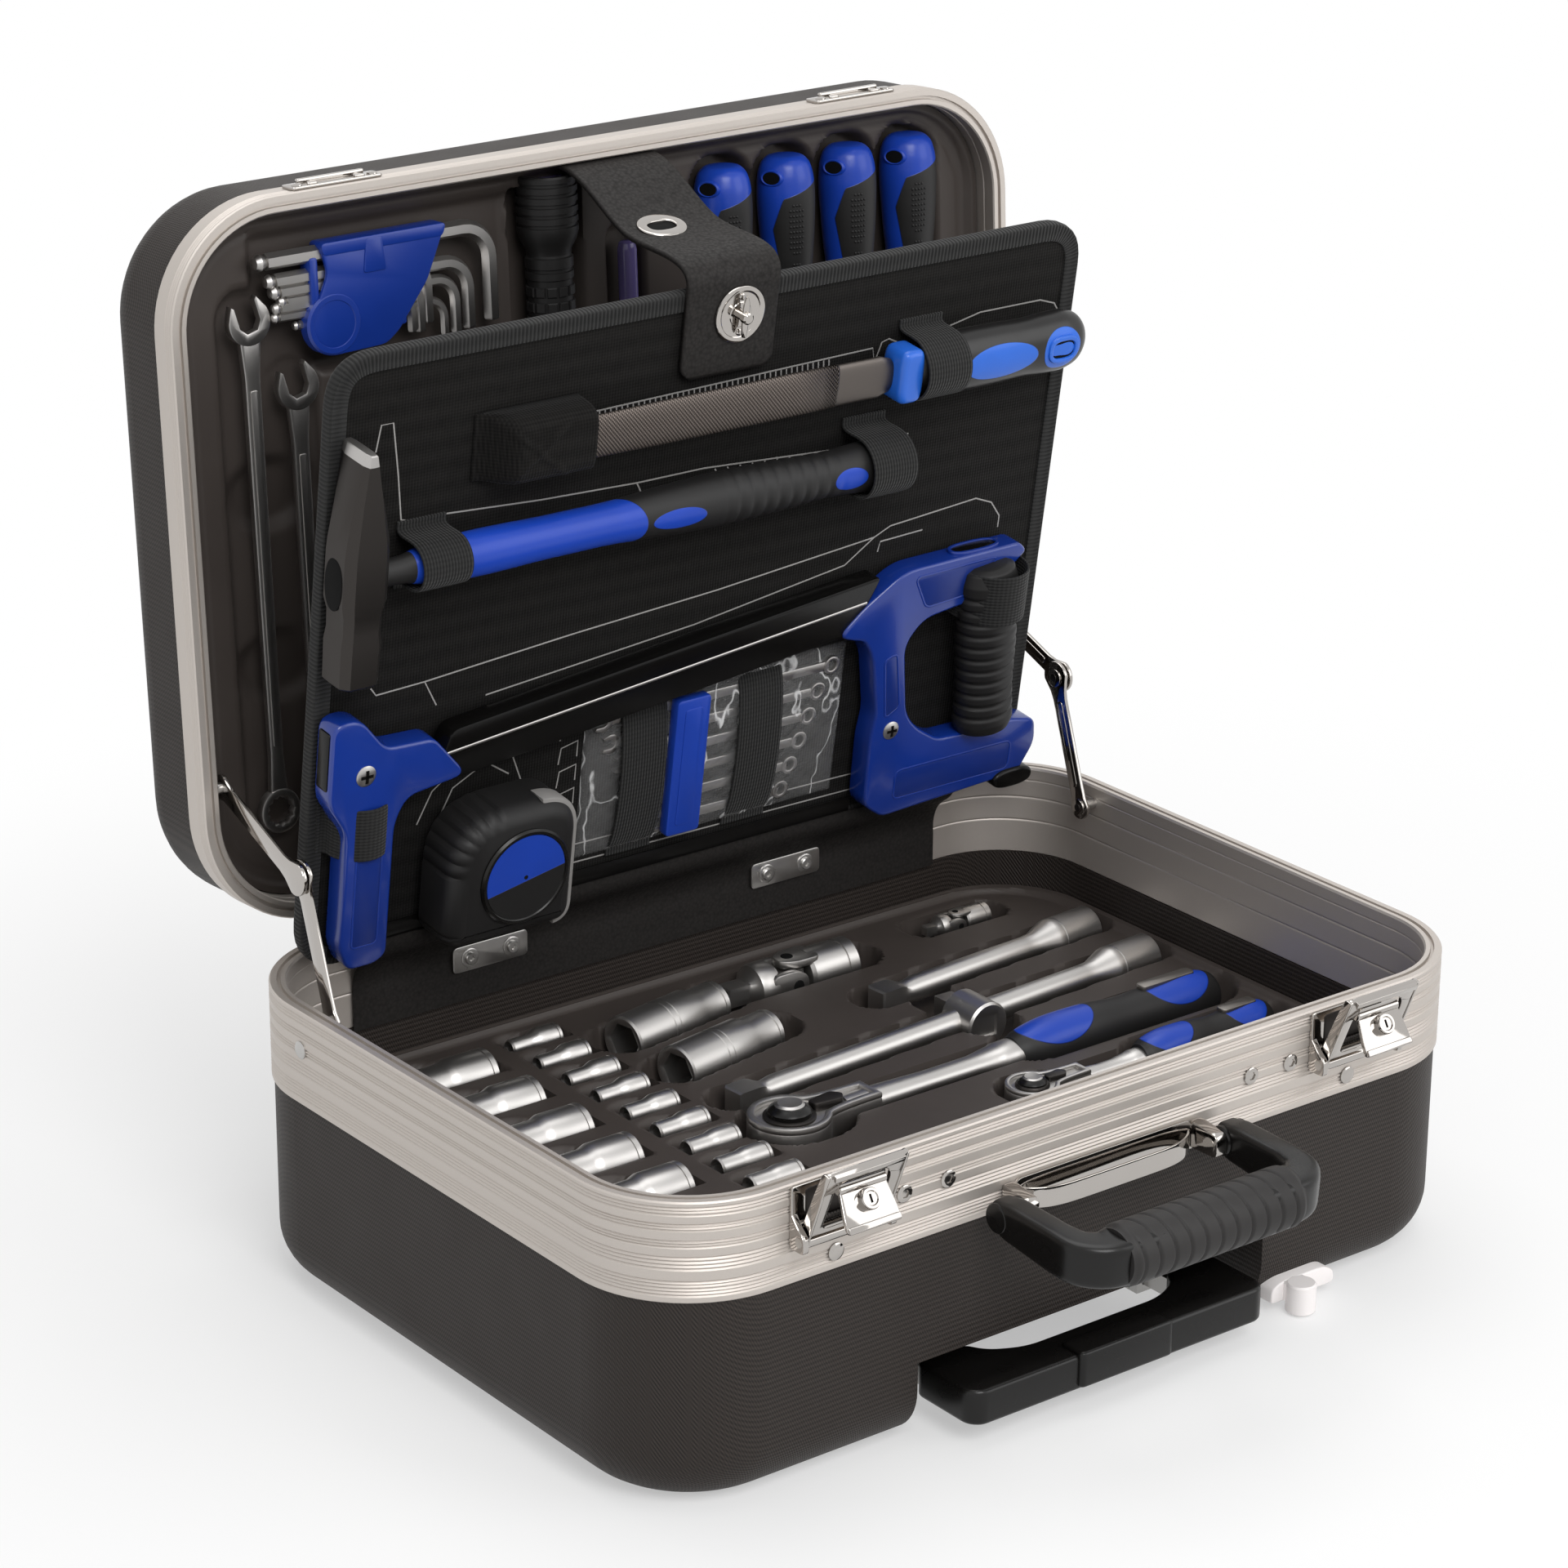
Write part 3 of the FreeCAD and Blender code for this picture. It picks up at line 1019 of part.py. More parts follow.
def make_saw():
    """A hacksaw: a sloping bar, a blade, nose and rear castings, and the grip that closes its bow."""
    depth = ("saw_front", "saw_back")

    def castings():
        nose = box(("saw_nose_x", "saw_nose_end"), span("-saw_nose_reach", "saw_nose_height"), depth)
        leg = box(("saw_leg_x", "saw_leg_x + saw_leg"), ("-saw_nose_reach", "saw_leg_end"), depth)
        rear = box(("saw_rear_x", "saw_rear_end"), span("-saw_rear_reach", "saw_rear_height"), depth)
        rear_leg = box(("saw_rear_leg_x", "saw_rear_leg_x + saw_rear_leg"),
                       ("-saw_rear_reach", "saw_leg_end"), depth)
        foot = box(("saw_rear_leg_x", "saw_grip_x + saw_foot"),
                   ("fit_gap - saw_grip_reach", "saw_leg_end"), depth)
        return join(nose, leg), join(rear, rear_leg, foot)
    node("saw_castings", group(*castings()), "panel")
    bar = group(box(span("0", "saw_rear_x - saw_nose_end + 2 * saw_lap"), span("0", "saw_bar_width"),
                    span("0", "saw_bar_thick")))
    bar.Placement.Rotation = FreeCAD.Rotation(FreeCAD.Vector(0, 0, -1), 1)
    bind(bar, "Placement.Rotation.Angle", "saw_tilt")
    settle(bar, ("(saw_nose_end + saw_rear_x) / 2", "-saw_bar_reach", "(saw_front + saw_back) / 2"))
    blade = box(("saw_leg_x", "saw_rear_leg_x + saw_blade_lap"), span("-saw_blade_reach", "saw_blade_width"),
                ("saw_blade_back - saw_blade_thick", "saw_blade_back"))
    node("saw_bar", group(less(bar, *castings()), blade), "panel")
    grip = rod("y", "saw_grip_radius",
               ("-saw_grip_reach - saw_grip_length", "-saw_grip_reach"),
               ("saw_grip_x", "hang - saw_grip_radius"))
    node("saw_grip", grip, "panel")


def make_tape():
    guess = (SIZES["tape_width"], SIZES["tape_width"], SIZES["tape_round"])
    centre = ("tape_x", "-tape_reach")
    back = "hang - tape_clip"
    body = rounded("tape_width", "tape_height", "tape_round", f"{back} - tape_thick", back, guess, centre)
    hub = rod("z", "tape_hub", (f"{back} - tape_thick - tape_hub_thick", f"{back} - tape_thick"), centre)
    clip = box(span("tape_x", "tape_clip_width"), ("-tape_low - tape_height", "-tape_reach"),
               (back, "hang"))
    node("tape_measure", join(body, hub, clip), "panel")


def make_spanner_set():
    bars = []
    for number in range(SIZES["set_count"]):
        y = f"-set_reach + ({number} - (set_count - 1) / 2) * set_pitch"
        length = f"set_longest * (1 - {number} * set_step_share)"
        bars.append(box(span("set_x", length), span(y, "set_bar"), ("hang - set_thick", "hang")))
    holder = box(span("set_x - set_holder", "set_holder"),
                 span("-set_reach", "set_span"),
                 ("hang - set_thick - fit_gap - set_holder_thick", "hang - set_thick - fit_gap"))
    node("spanner_set", group(*bars, holder), "panel")


def make_strap():
    """The leather strap from the lid's front edge over the top of the panel, with a slot for the lock."""
    run = doc.addObject("Part::Box", "Run")
    bind(run, "Length", "strap_width")
    bind(run, "Width", "sqrt((strap_dy)^2 + (strap_dz)^2)")
    bind(run, "Height", "strap_thick")
    lean = "atan2(strap_dz; strap_dy)"
    run.Placement.Rotation = FreeCAD.Rotation(FreeCAD.Vector(1, 0, 0), 1)
    bind(run, "Placement.Rotation.Angle", lean)
    settle(run, ("strap_x - strap_width / 2", f"strap_top_y + strap_thick / 2 * sin({lean})",
                 f"strap_top_z - strap_thick / 2 * cos({lean})"))
    lap = box(span("strap_x", "strap_width"), ("-strap_far - strap_thick / 2", "-strap_far + strap_lap"),
              ("strap_face", "strap_back"))
    slot = box(span("lock_x", "strap_slot"), span("-lock_reach", "strap_slot"),
               ("strap_face - overrun", "strap_back + overrun"))
    flat = group(less(lap, slot))
    y, z, angle = CARRIERS["panel"]
    settle(flat, ("0", y, z))
    flat.Placement.Rotation = FreeCAD.Rotation(FreeCAD.Vector(1, 0, 0), -1)
    bind(flat, "Placement.Rotation.Angle", angle)
    node("strap", join(run, flat))


def make_turn_lock():
    centre = ("lock_x", "-lock_reach")
    face = "strap_face - seat_gap"
    outside = f"{face} - lock_thick"
    plate = box(span("lock_x", "lock_width"), span("-lock_reach", "lock_height"), (outside, face))
    stem = rod("z", "lock_stem", (face, "panel_face"), centre)
    pin = rod("z", "lock_pin", (f"{outside} - knob_gap - knob_thick", outside), centre)
    node("turn_plate", join(plate, stem, pin), "panel")
    block = box(span("lock_x", "knob_width"), span("-lock_reach", "knob_length"),
                (f"{outside} - knob_gap - knob_thick", f"{outside} - knob_gap"))
    bore = rod("z", "lock_pin + pin_gap", (f"{outside} - knob_gap - 2 * knob_thick", face), centre)
    node("turn_knob", less(block, bore), "panel")


def make_stays():
    """Folding lid stays: each link turns on its own pin, and they meet at the knuckle."""
    base_pins = []
    lid_pins = []
    for side, sign in SIDES.items():
        def across(first, last):
            ends = [f"{sign} * ({first})", f"{sign} * ({last})"]
            return ends if sign == "1" else ends[::-1]
        lower_plane = across("lower_outer - stay_thick", "lower_outer")
        upper_plane = across("upper_outer - stay_thick", "upper_outer")
        base_pins.append(rod("x", "stay_pin", across("lower_outer - stay_thick - stay_end", "inner_side"),
                             ("stay_base_y", "stay_base_z")))
        lid_pins.append(rod("x", "stay_pin", across("upper_outer - stay_thick - stay_end", "inner_side"),
                            ("-stay_lid_reach", "stay_lid_rise")))
        pivoted(f"stay_lower_{side}", stay_link("stay_lower", lower_plane),
                ("0", "stay_base_y", "stay_base_z"), "stay_rake + stay_fold")
        pivoted(f"stay_upper_{side}", stay_link("stay_upper", upper_plane),
                ("0", "stay_lid_y", "stay_lid_z"), "stay_rake - stay_bend + 180 deg")
    node("stay_base_pins", group(*base_pins))
    node("stay_lid_pins", group(*lid_pins), "lid")


def stay_link(name, plane):
    """A flat link along +Y from its own pin, with an eye there and a knuckle disc at its far end."""
    eye = rod("x", "stay_eye", plane, ("0", "0"))
    bar = box(plane, ("0", name), span("0", "stay_bar"))
    knuckle = rod("x", "stay_knuckle", plane, (name, "0"))
    bore = rod("x", "stay_pin + pin_gap", (f"({plane[0]}) - overrun", f"({plane[1]}) + overrun"), ("0", "0"))
    return less(join(eye, bar, knuckle), bore)


def check():
    """Stop before anything is written if an object failed or a sub-part is not sound."""
    doc.recompute()
    failed = [item.Name for item in doc.Objects if {"Invalid", "Error"} & set(item.State)]
    unsound = [label for label, item in nodes.items()
               if item.Shape.isNull() or not item.Shape.isValid() or not item.Shape.Solids]
    if failed or unsound:
        raise RuntimeError(f"failed objects {failed}, unsound sub-parts {unsound}")


def write():
    os.makedirs("parts", exist_ok=True)
    for label, item in nodes.items():
        solids = item.Shape.Solids
        shape = solids[0] if len(solids) == 1 else item.Shape
        shape.exportStep(os.path.join("parts", f"{label}.step"))
        print(label, len(solids), round(item.Shape.Volume, 1))


make_base_shell()
make_frame("base_frame", "frame_low", "base_height", "frame_low - overrun", "frame_low + groove_depth")
make_base_tray()
make_latches()
make_carry_handle()
make_trolley()
make_wheels()
make_foot()
make_hinges()
make_lid_shell()
make_frame("lid_frame", "lid_rim", "lid_seam", "lid_seam - lid_groove", "lid_seam + overrun",
           "-hinge_y", "lid")
make_lid_tools()
make_panel()
make_panel_bands()
make_file()
make_hammer()
make_saw()
make_tape()
make_spanner_set()
make_strap()
make_turn_lock()
make_stays()
check()
write()
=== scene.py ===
import json
import math
import bmesh
import bpy
import numpy as np
from mathutils import Matrix, Vector


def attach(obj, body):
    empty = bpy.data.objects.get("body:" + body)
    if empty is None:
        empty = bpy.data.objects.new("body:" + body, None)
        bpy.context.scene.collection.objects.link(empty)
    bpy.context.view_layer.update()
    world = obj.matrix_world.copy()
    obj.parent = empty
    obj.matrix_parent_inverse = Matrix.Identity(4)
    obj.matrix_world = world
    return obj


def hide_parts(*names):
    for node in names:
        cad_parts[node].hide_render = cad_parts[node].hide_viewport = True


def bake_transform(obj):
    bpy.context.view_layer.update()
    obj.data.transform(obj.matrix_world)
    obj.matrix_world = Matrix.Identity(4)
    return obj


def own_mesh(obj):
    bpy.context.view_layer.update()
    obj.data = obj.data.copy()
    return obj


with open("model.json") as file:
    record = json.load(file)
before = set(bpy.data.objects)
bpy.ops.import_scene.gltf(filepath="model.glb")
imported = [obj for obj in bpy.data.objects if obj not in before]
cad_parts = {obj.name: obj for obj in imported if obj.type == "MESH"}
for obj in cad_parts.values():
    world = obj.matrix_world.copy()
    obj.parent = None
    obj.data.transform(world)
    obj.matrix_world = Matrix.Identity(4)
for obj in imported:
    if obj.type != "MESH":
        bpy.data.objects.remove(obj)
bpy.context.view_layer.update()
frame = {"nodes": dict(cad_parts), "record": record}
nodes = frame["nodes"]

# Lengths below are in millimetres, and MM turns them into metres where a mesh is made.
MM = 0.001
CASE_WIDTH, CASE_DEPTH, CASE_ROUND = 460, 325, 55
FRONT = -CASE_DEPTH / 2
RIM_TOP, FRAME_LOW, FRAME_THICK = 140, 95.5, 7.8
TRAY_TOP, TRAY_FLOOR, TOOL_Z, LARGE_Z = 75, 60, 72.5, 69
# Hinge axes (y, z) of the lid and the panel, and how far each stands open, in degrees.
LID_AXIS, LID_OPEN = (168.7, 141.6), 93.2
PANEL_AXIS, PANEL_OPEN = (152.5, 136), 81.4
LID_RIM, LID_SEAM, LID_FACE = -1.3, 13.2, 14
PANEL_HALF, PANEL_START, PANEL_FAR, PANEL_FACE, PANEL_BACK = 203.5, 2.5, 293, -11.3, -6.3
# Height of what hangs on the board, just clear of its face.
HANG = PANEL_FACE - 0.3
# Names of the looks, each filled in by its finish.
FINISHES = {}


class Socket:
    """A node's output. Sums written with it add Math nodes."""

    def __init__(self, finish, link):
        self.finish = finish
        self.link = link

    def maths(self, operation, *values):
        return self.finish.node("ShaderNodeMath", {"operation": operation}, dict(enumerate(values)))

    def __add__(self, other):
        return self.maths("ADD", self, other)

    def __sub__(self, other):
        return self.maths("SUBTRACT", self, other)

    def __rsub__(self, other):
        return self.maths("SUBTRACT", other, self)

    def __mul__(self, other):
        return self.maths("MULTIPLY", self, other)

    __radd__ = __add__
    __rmul__ = __mul__


class Finish:
    """A material of one principled shader: even values set on its sockets, varying ones linked to it."""

    def __init__(self, name, colour, roughness, metallic=0.0, **even):
        self.material = bpy.data.materials.new(name)
        self.material.use_nodes = True
        self.tree = self.material.node_tree
        self.shader = self.tree.nodes["Principled BSDF"]
        self.shader.inputs["Base Color"].default_value = (*colour, 1)
        self.shader.inputs["Roughness"].default_value = roughness
        self.shader.inputs["Metallic"].default_value = metallic
        for socket, value in even.items():
            self.shader.inputs[socket.replace("_", " ")].default_value = value
        self.place = self.node("ShaderNodeTexCoord", {}, {}, "Object")
        FINISHES[name] = self.material

    def node(self, kind, settings, values, output=0):
        made = self.tree.nodes.new(kind)
        for key, value in settings.items():
            setattr(made, key, value)
        for key, value in values.items():
            if isinstance(value, Socket):
                self.tree.links.new(value.link, made.inputs[key])
            else:
                made.inputs[key].default_value = value
        return Socket(self, made.outputs[output])

    def stretched(self, scale):
        return self.node("ShaderNodeMapping", {}, {"Vector": self.place, "Scale": scale})

    def noise(self, scale, detail=2.0, vector=None):
        values = {"Vector": vector or self.place, "Scale": scale, "Detail": detail}
        return self.node("ShaderNodeTexNoise", {}, values)

    def cells(self, scale):
        return self.node("ShaderNodeTexVoronoi", {}, {"Vector": self.place, "Scale": scale})

    def axes(self, vector=None):
        split = self.node("ShaderNodeSeparateXYZ", {}, {0: vector or self.place})
        return [Socket(self, split.link.node.outputs[index]) for index in range(3)]

    def field(self, name):
        return self.node("ShaderNodeAttribute", {"attribute_name": name}, {}, "Fac")

    def ramp(self, value, low, high):
        """Zero below low, one above high, and a smooth step between them."""
        settings = {"interpolation_type": "SMOOTHSTEP"}
        return self.node("ShaderNodeMapRange", settings, {0: value, 1: low, 2: high})

    def blend(self, factor, first, second):
        values = {0: factor, 6: self.shade(first), 7: self.shade(second)}
        return self.node("ShaderNodeMix", {"data_type": "RGBA"}, values, 2)

    @staticmethod
    def shade(value):
        return value if isinstance(value, Socket) else (*value, 1)

    def set(self, socket, value):
        self.tree.links.new(value.link, self.shader.inputs[socket])

    def bump(self, height, distance, strength=1.0):
        values = {"Height": height, "Distance": distance * MM, "Strength": strength}
        self.set("Normal", self.node("ShaderNodeBump", {}, values))

    def vary(self, base, spread, scale, detail=2.0):
        """Roughness that wanders about a base value."""
        self.set("Roughness", self.noise(scale, detail) * (2 * spread) + (base - spread))


def egg_crate(finish, pitch):
    """A grid of small bumps on any flat side: sine waves along the three axes, added."""
    waves = [axis.maths("SINE", axis * (2 * math.pi / (pitch * MM))) for axis in finish.axes()]
    return waves[0] + waves[1] + waves[2]


def tints(colour, *levels):
    """A colour at several levels of brightness."""
    return [[channel * level for channel in colour] for level in levels]


def moulded(name, colour, roughness, grain=900, depth=0.05, spread=0.15, **even):
    """Moulded plastic: a faint fine grain and a little variation in shade and gloss."""
    finish = Finish(name, colour, roughness, **even)
    finish.set("Base Color", finish.blend(finish.noise(35, 3), *tints(colour, 1 - spread, 1 + spread)))
    finish.vary(roughness, 0.05, 60)
    finish.bump(finish.noise(grain, 3), depth, 0.5)


def two_tone(name, colour, other, roughness, other_roughness, **even):
    """Two moulded plastics on one piece: the second lies where the patch field is above zero."""
    finish = Finish(name, colour, roughness, **even)
    mask = finish.ramp(finish.field("patch"), -0.02, 0.02)
    wander = finish.noise(40, 3)
    first = finish.blend(wander, *tints(colour, 0.8, 1.2))
    second = finish.blend(wander, *tints(other, 0.88, 1.12))
    finish.set("Base Color", finish.blend(mask, first, second))
    finish.set("Roughness", mask * (other_roughness - roughness) + roughness)
    finish.bump(mask * 1.0 + finish.noise(1200, 2) * 0.12, 0.3, 0.6)


def metal(name, colour, roughness, scale=700, spread=0.06, depth=0.01, **even):
    """Bare metal with faint marks: one noise in its gloss, shade and height."""
    finish = Finish(name, colour, roughness, 1.0, **even)
    marks = finish.noise(scale, 4)
    finish.set("Roughness", marks * (2 * spread) + (roughness - spread))
    finish.set("Base Color", finish.blend(marks, *tints(colour, 0.92, 1.0)))
    finish.bump(marks, depth, 0.4)


def case_plastic():
    """Embossed black plastic: a fine slanted lattice of dots, the product of two crossed sine waves."""
    finish = Finish("case_black", (0.026, 0.0215, 0.019), 0.5, Specular_IOR_Level=0.2)
    x, y, z = (axis * (2 * math.pi / (2.3 * MM)) for axis in finish.axes())
    weave = x.maths("SINE", x + y) * x.maths("SINE", x - y + z)
    finish.set("Base Color", finish.blend(weave * 0.5 + 0.5, (0.011, 0.0088, 0.0076), (0.042, 0.034, 0.03)))
    finish.vary(0.5, 0.05, 40)
    finish.bump(weave, 0.16, 0.7)


def woven(name, colour, pitch, depth, roughness=0.85):
    """Cloth: an egg-crate weave with lighter threads and a soft sheen."""
    finish = Finish(name, colour, roughness, Sheen_Weight=0.03, Sheen_Roughness=0.5, Specular_IOR_Level=0.12)
    weave = egg_crate(finish, pitch)
    wander = finish.noise(220, 3) * 0.5 + weave * 0.16 + 0.25
    light = [channel * 1.8 + 0.003 for channel in colour]
    finish.set("Base Color", finish.blend(wander, tints(colour, 0.6)[0], light))
    finish.bump(weave, depth, 0.6)


def elastic():
    """Ribbed elastic: fine ribs along the band, from its own map, with a cross weave between them."""
    finish = Finish("elastic_black", (0.009, 0.009, 0.009), 0.8, Specular_IOR_Level=0.25, Sheen_Weight=0.1)
    across, along, _ = finish.axes(finish.node("ShaderNodeTexCoord", {}, {}, "UV"))
    ribs = across.maths("SINE", across * 90.0)
    picks = along.maths("SINE", along * 240.0)
    finish.set("Base Color", finish.blend(ribs * 0.4 + picks * 0.2 + 0.5, (0.003, 0.003, 0.003),
                                          (0.02, 0.02, 0.0195)))
    finish.bump(ribs + picks * 0.4, 0.25, 0.7)


def leather(name, colour):
    """Grained leather: shrunken cells as pebbles, glossier on their tops."""
    finish = Finish(name, colour, 0.6, Specular_IOR_Level=0.2)
    grain = finish.cells(620)
    finish.set("Base Color", finish.blend(grain, *tints(colour, 1.7, 0.7)))
    finish.set("Roughness", grain * 0.25 + 0.48)
    finish.bump(1 - grain, 0.12, 0.5)


def clear_film(name, colour, roughness, alpha, crease_highlight=0.0):
    """Thin clear plastic: see-through, with a painted highlight along creases, which are level lines of a
    noise.
    """
    finish = Finish(name, colour, roughness, Alpha=alpha)
    finish.bump(finish.noise(45, 1), 1.2, 0.8)
    if crease_highlight:
        # Painted highlight: along the crease lines the white film is made less clear, so it shows whiter
        # there.
        level = finish.noise(38, 3, finish.stretched((1, 1, 0.5)))
        off = level.maths("ABSOLUTE", level - 0.5)
        finish.set("Alpha", (1 - finish.ramp(off, 0.0, 0.014)) * finish.noise(90) * crease_highlight + alpha)


def file_steel():
    """File teeth: two crossed sets of fine cuts, from the blade's own map."""
    finish = Finish("file_steel", (0.2, 0.18, 0.16), 0.45, 0.9)
    across, along, _ = finish.axes(finish.node("ShaderNodeTexCoord", {}, {}, "UV"))
    first = across.maths("SINE", (along + across * 0.6) * 520.0)
    second = across.maths("SINE", (along - across * 0.9) * 310.0)
    teeth = first * 0.5 + second * 0.5
    finish.set("Base Color", finish.blend(teeth * 0.5 + 0.5, (0.02, 0.017, 0.015), (0.22, 0.185, 0.165)))
    finish.bump(teeth, 0.2, 0.8)


BLUE, FILE_BLUE = (0.011, 0.056, 0.44), (0.018, 0.13, 0.62)
BLACK_RUBBER = (0.011, 0.0105, 0.0105)
case_plastic()
elastic()
file_steel()
woven("panel_cloth", (0.0052, 0.0047, 0.0043), 1.5, 0.12)
leather("strap_leather", (0.0125, 0.0112, 0.0105))
# The bag's last value is the strength of its painted crease highlight.
clear_film("clear_bag", (0.95, 0.95, 0.95), 0.06, 0.05, 0.75)
clear_film("violet_clear", (0.2, 0.16, 0.42), 0.1, 0.75)
two_tone("grip_two_tone", BLACK_RUBBER, BLUE, 0.5, 0.32, Specular_IOR_Level=0.35)
two_tone("driver_two_tone", BLUE, BLACK_RUBBER, 0.3, 0.55, Specular_IOR_Level=0.4)
two_tone("file_two_tone", BLACK_RUBBER, FILE_BLUE, 0.32, 0.3, Specular_IOR_Level=0.4)
metal("frame_aluminium", (0.56, 0.515, 0.475), 0.48, 1500, 0.03, 0.002, Metallic=0.75)
metal("tool_chrome", (0.5, 0.485, 0.47), 0.36, 2600, 0.03, 0.002)
metal("bright_chrome", (0.46, 0.435, 0.41), 0.08, 40, 0.02, 0.001)
metal("steel_plain", (0.5, 0.49, 0.475), 0.3, 300, 0.06, 0.003)
metal("dark_steel", (0.055, 0.05, 0.047), 0.46, 900, 0.06, 0.02)
metal("file_heel", (0.13, 0.115, 0.105), 0.4)
metal("grey_inlay", (0.3, 0.28, 0.26), 0.4)
metal("cream_skirt", (0.55, 0.47, 0.4), 0.3)
moulded("tray_grey", (0.05, 0.041, 0.0365), 0.5, 1400, Specular_IOR_Level=0.3)
moulded("grip_black", BLACK_RUBBER, 0.5, 1500, Specular_IOR_Level=0.3)
moulded("sleeve_grey", (0.022, 0.0205, 0.02), 0.55, 1500, Specular_IOR_Level=0.3)
moulded("handle_black", (0.005, 0.0046, 0.0043), 0.28, 700, 0.02, Specular_IOR_Level=0.32)
moulded("bar_black", (0.004, 0.0038, 0.0036), 0.24, 700, 0.02, Specular_IOR_Level=0.2)
# dark_hole is painted shade: a near-black fill put in holes and slots, where only shade would be seen.
moulded("dark_hole", (0.004, 0.004, 0.004), 0.7, Specular_IOR_Level=0.1)
moulded("wheel_rubber", (0.02, 0.02, 0.02), 0.6, 800, 0.08)
moulded("tool_blue", BLUE, 0.34, 500, 0.02)
moulded("file_guard", FILE_BLUE, 0.3, 500, 0.02)
moulded("holder_blue", tints(BLUE, 0.65)[0], 0.36, 500, 0.02)
moulded("casting_blue", tints(BLUE, 0.6)[0], 0.22, 300, 0.02, Coat_Weight=0.2)
moulded("casting_inset", tints(BLUE, 0.45)[0], 0.3, 300, 0.02)
moulded("foot_white", (0.93, 0.89, 0.88), 0.4, 900, 0.03, 0.04)
moulded("grey_trim", (0.28, 0.27, 0.26), 0.45)
moulded("print_grey", (0.32, 0.31, 0.3), 0.7, 900, 0.02)


def quads(rows, columns, loop=False, rings=False):
    """Faces of a grid of points, row by row: loop joins the last row to the first, rings the last column."""
    row = np.arange(rows if loop else rows - 1)[:, None]
    column = np.arange(columns if rings else columns - 1)[None, :]
    here, over, right = row * columns, (row + 1) % rows * columns, (column + 1) % columns
    return np.stack([here + column, here + right, over + right, over + column], axis=-1).reshape(-1, 4)


class Shape:
    """Surfaces gathered into one piece: points, faces, and each face's finish number and patch field."""

    def __init__(self, place=None):
        self.place = place
        self.points, self.faces, self.shades, self.patches, self.maps = [], [], [], [], []
        self.count = 0

    def add(self, points, faces, shade=0, patch=-1.0, uv=None):
        points = np.asarray(points, float).reshape(-1, 3)
        self.points.append(self.place(points) if self.place else points)
        self.patches.append(np.broadcast_to(np.asarray(patch, float).reshape(-1), len(points)))
        self.maps.append(np.zeros((len(points), 2)) if uv is None else uv.reshape(-1, 2))
        self.faces += [[index + self.count for index in face] for face in faces]
        self.shades += [shade] * len(faces)
        self.count += len(points)

    def grid(self, points, loop=False, rings=False, caps=False, shade=0, patch=-1.0, uv=None):
        """A grid of points (rows, columns, 3); caps closes the first and the last row."""
        rows, columns = points.shape[:2]
        faces = quads(rows, columns, loop, rings).tolist()
        if caps:
            faces += [list(range(columns)), list(range((rows - 1) * columns, rows * columns))]
        self.add(points, faces, shade, patch, uv)


def make_piece(name, shape, finishes, body, stands_for=(), sharp=36, two_sided=0.0):
    """A piece from its shape: doubles merged, faces turned outwards, crisp where they meet sharply.

    two_sided gives an open surface a wall of that thickness.
    """
    mesh = bpy.data.meshes.new(name)
    mesh.from_pydata((np.concatenate(shape.points) * MM).tolist(), [], shape.faces)
    for finish in finishes:
        mesh.materials.append(FINISHES[finish])
    mesh.polygons.foreach_set("material_index", shape.shades)
    patch = mesh.attributes.new("patch", "FLOAT", "POINT")
    patch.data.foreach_set("value", np.concatenate(shape.patches))
    corners = np.empty(len(mesh.loops), int)
    mesh.loops.foreach_get("vertex_index", corners)
    layer = mesh.uv_layers.new(name="map")
    layer.data.foreach_set("uv", np.concatenate(shape.maps)[corners].ravel())
    work = bmesh.new()
    work.from_mesh(mesh)
    bmesh.ops.remove_doubles(work, verts=work.verts, dist=1e-6)
    bmesh.ops.recalc_face_normals(work, faces=work.faces)
    work.to_mesh(mesh)
    work.free()
    mesh.polygons.foreach_set("use_smooth", np.ones(len(mesh.polygons), bool))
    mesh.set_sharp_from_angle(angle=math.radians(sharp))
    item = bpy.data.objects.new(name, mesh)
    bpy.context.scene.collection.objects.link(item)
    if two_sided:
        wall = item.modifiers.new("wall", "SOLIDIFY")
        wall.thickness = two_sided * MM
        wall.offset = 0
    if body:
        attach(item, body)
    if stands_for:
        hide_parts(*stands_for)
    return item


def unit(vectors):
    """Vectors at length one."""
    return vectors / np.maximum(np.linalg.norm(vectors, axis=-1, keepdims=True), 1e-9)


def step(low, high, value):
    """Zero below low, one above high, and a smooth cubic between."""
    share = np.clip((value - low) / (high - low), 0, 1)
    return share * share * (3 - 2 * share)


def lengths(points):
    """Distance along a line of points, from its start."""
    return np.concatenate([[0], np.cumsum(np.linalg.norm(np.diff(points, axis=0), axis=1))])


def raised(flat, height):
    """An outline (x, y) put at a height."""
    return np.column_stack([flat, np.full(len(flat), height)])


def laid(order, at=(0, 0, 0), signs=(1, 1, 1)):
    """A place that takes a form's axes in another order, turns some of them about, and moves them."""
    index = ["xyz".index(axis) for axis in order]
    return lambda points: np.asarray(points, float)[..., index] * signs + at


def chain(*places):
    """Places applied one after another."""
    def place(points):
        for each in places:
            points = each(points)
        return points
    return place


def off_angle(angle, middle):
    """How far an angle is from another, either way round."""
    return np.abs(np.angle(np.exp(1j * (angle - middle))))


def spot(at, middle, half, turn, spread):
    """An oval field on a turned form: one in its middle and zero at its edge."""
    return 1 - np.hypot((at - middle) / half, turn / spread)


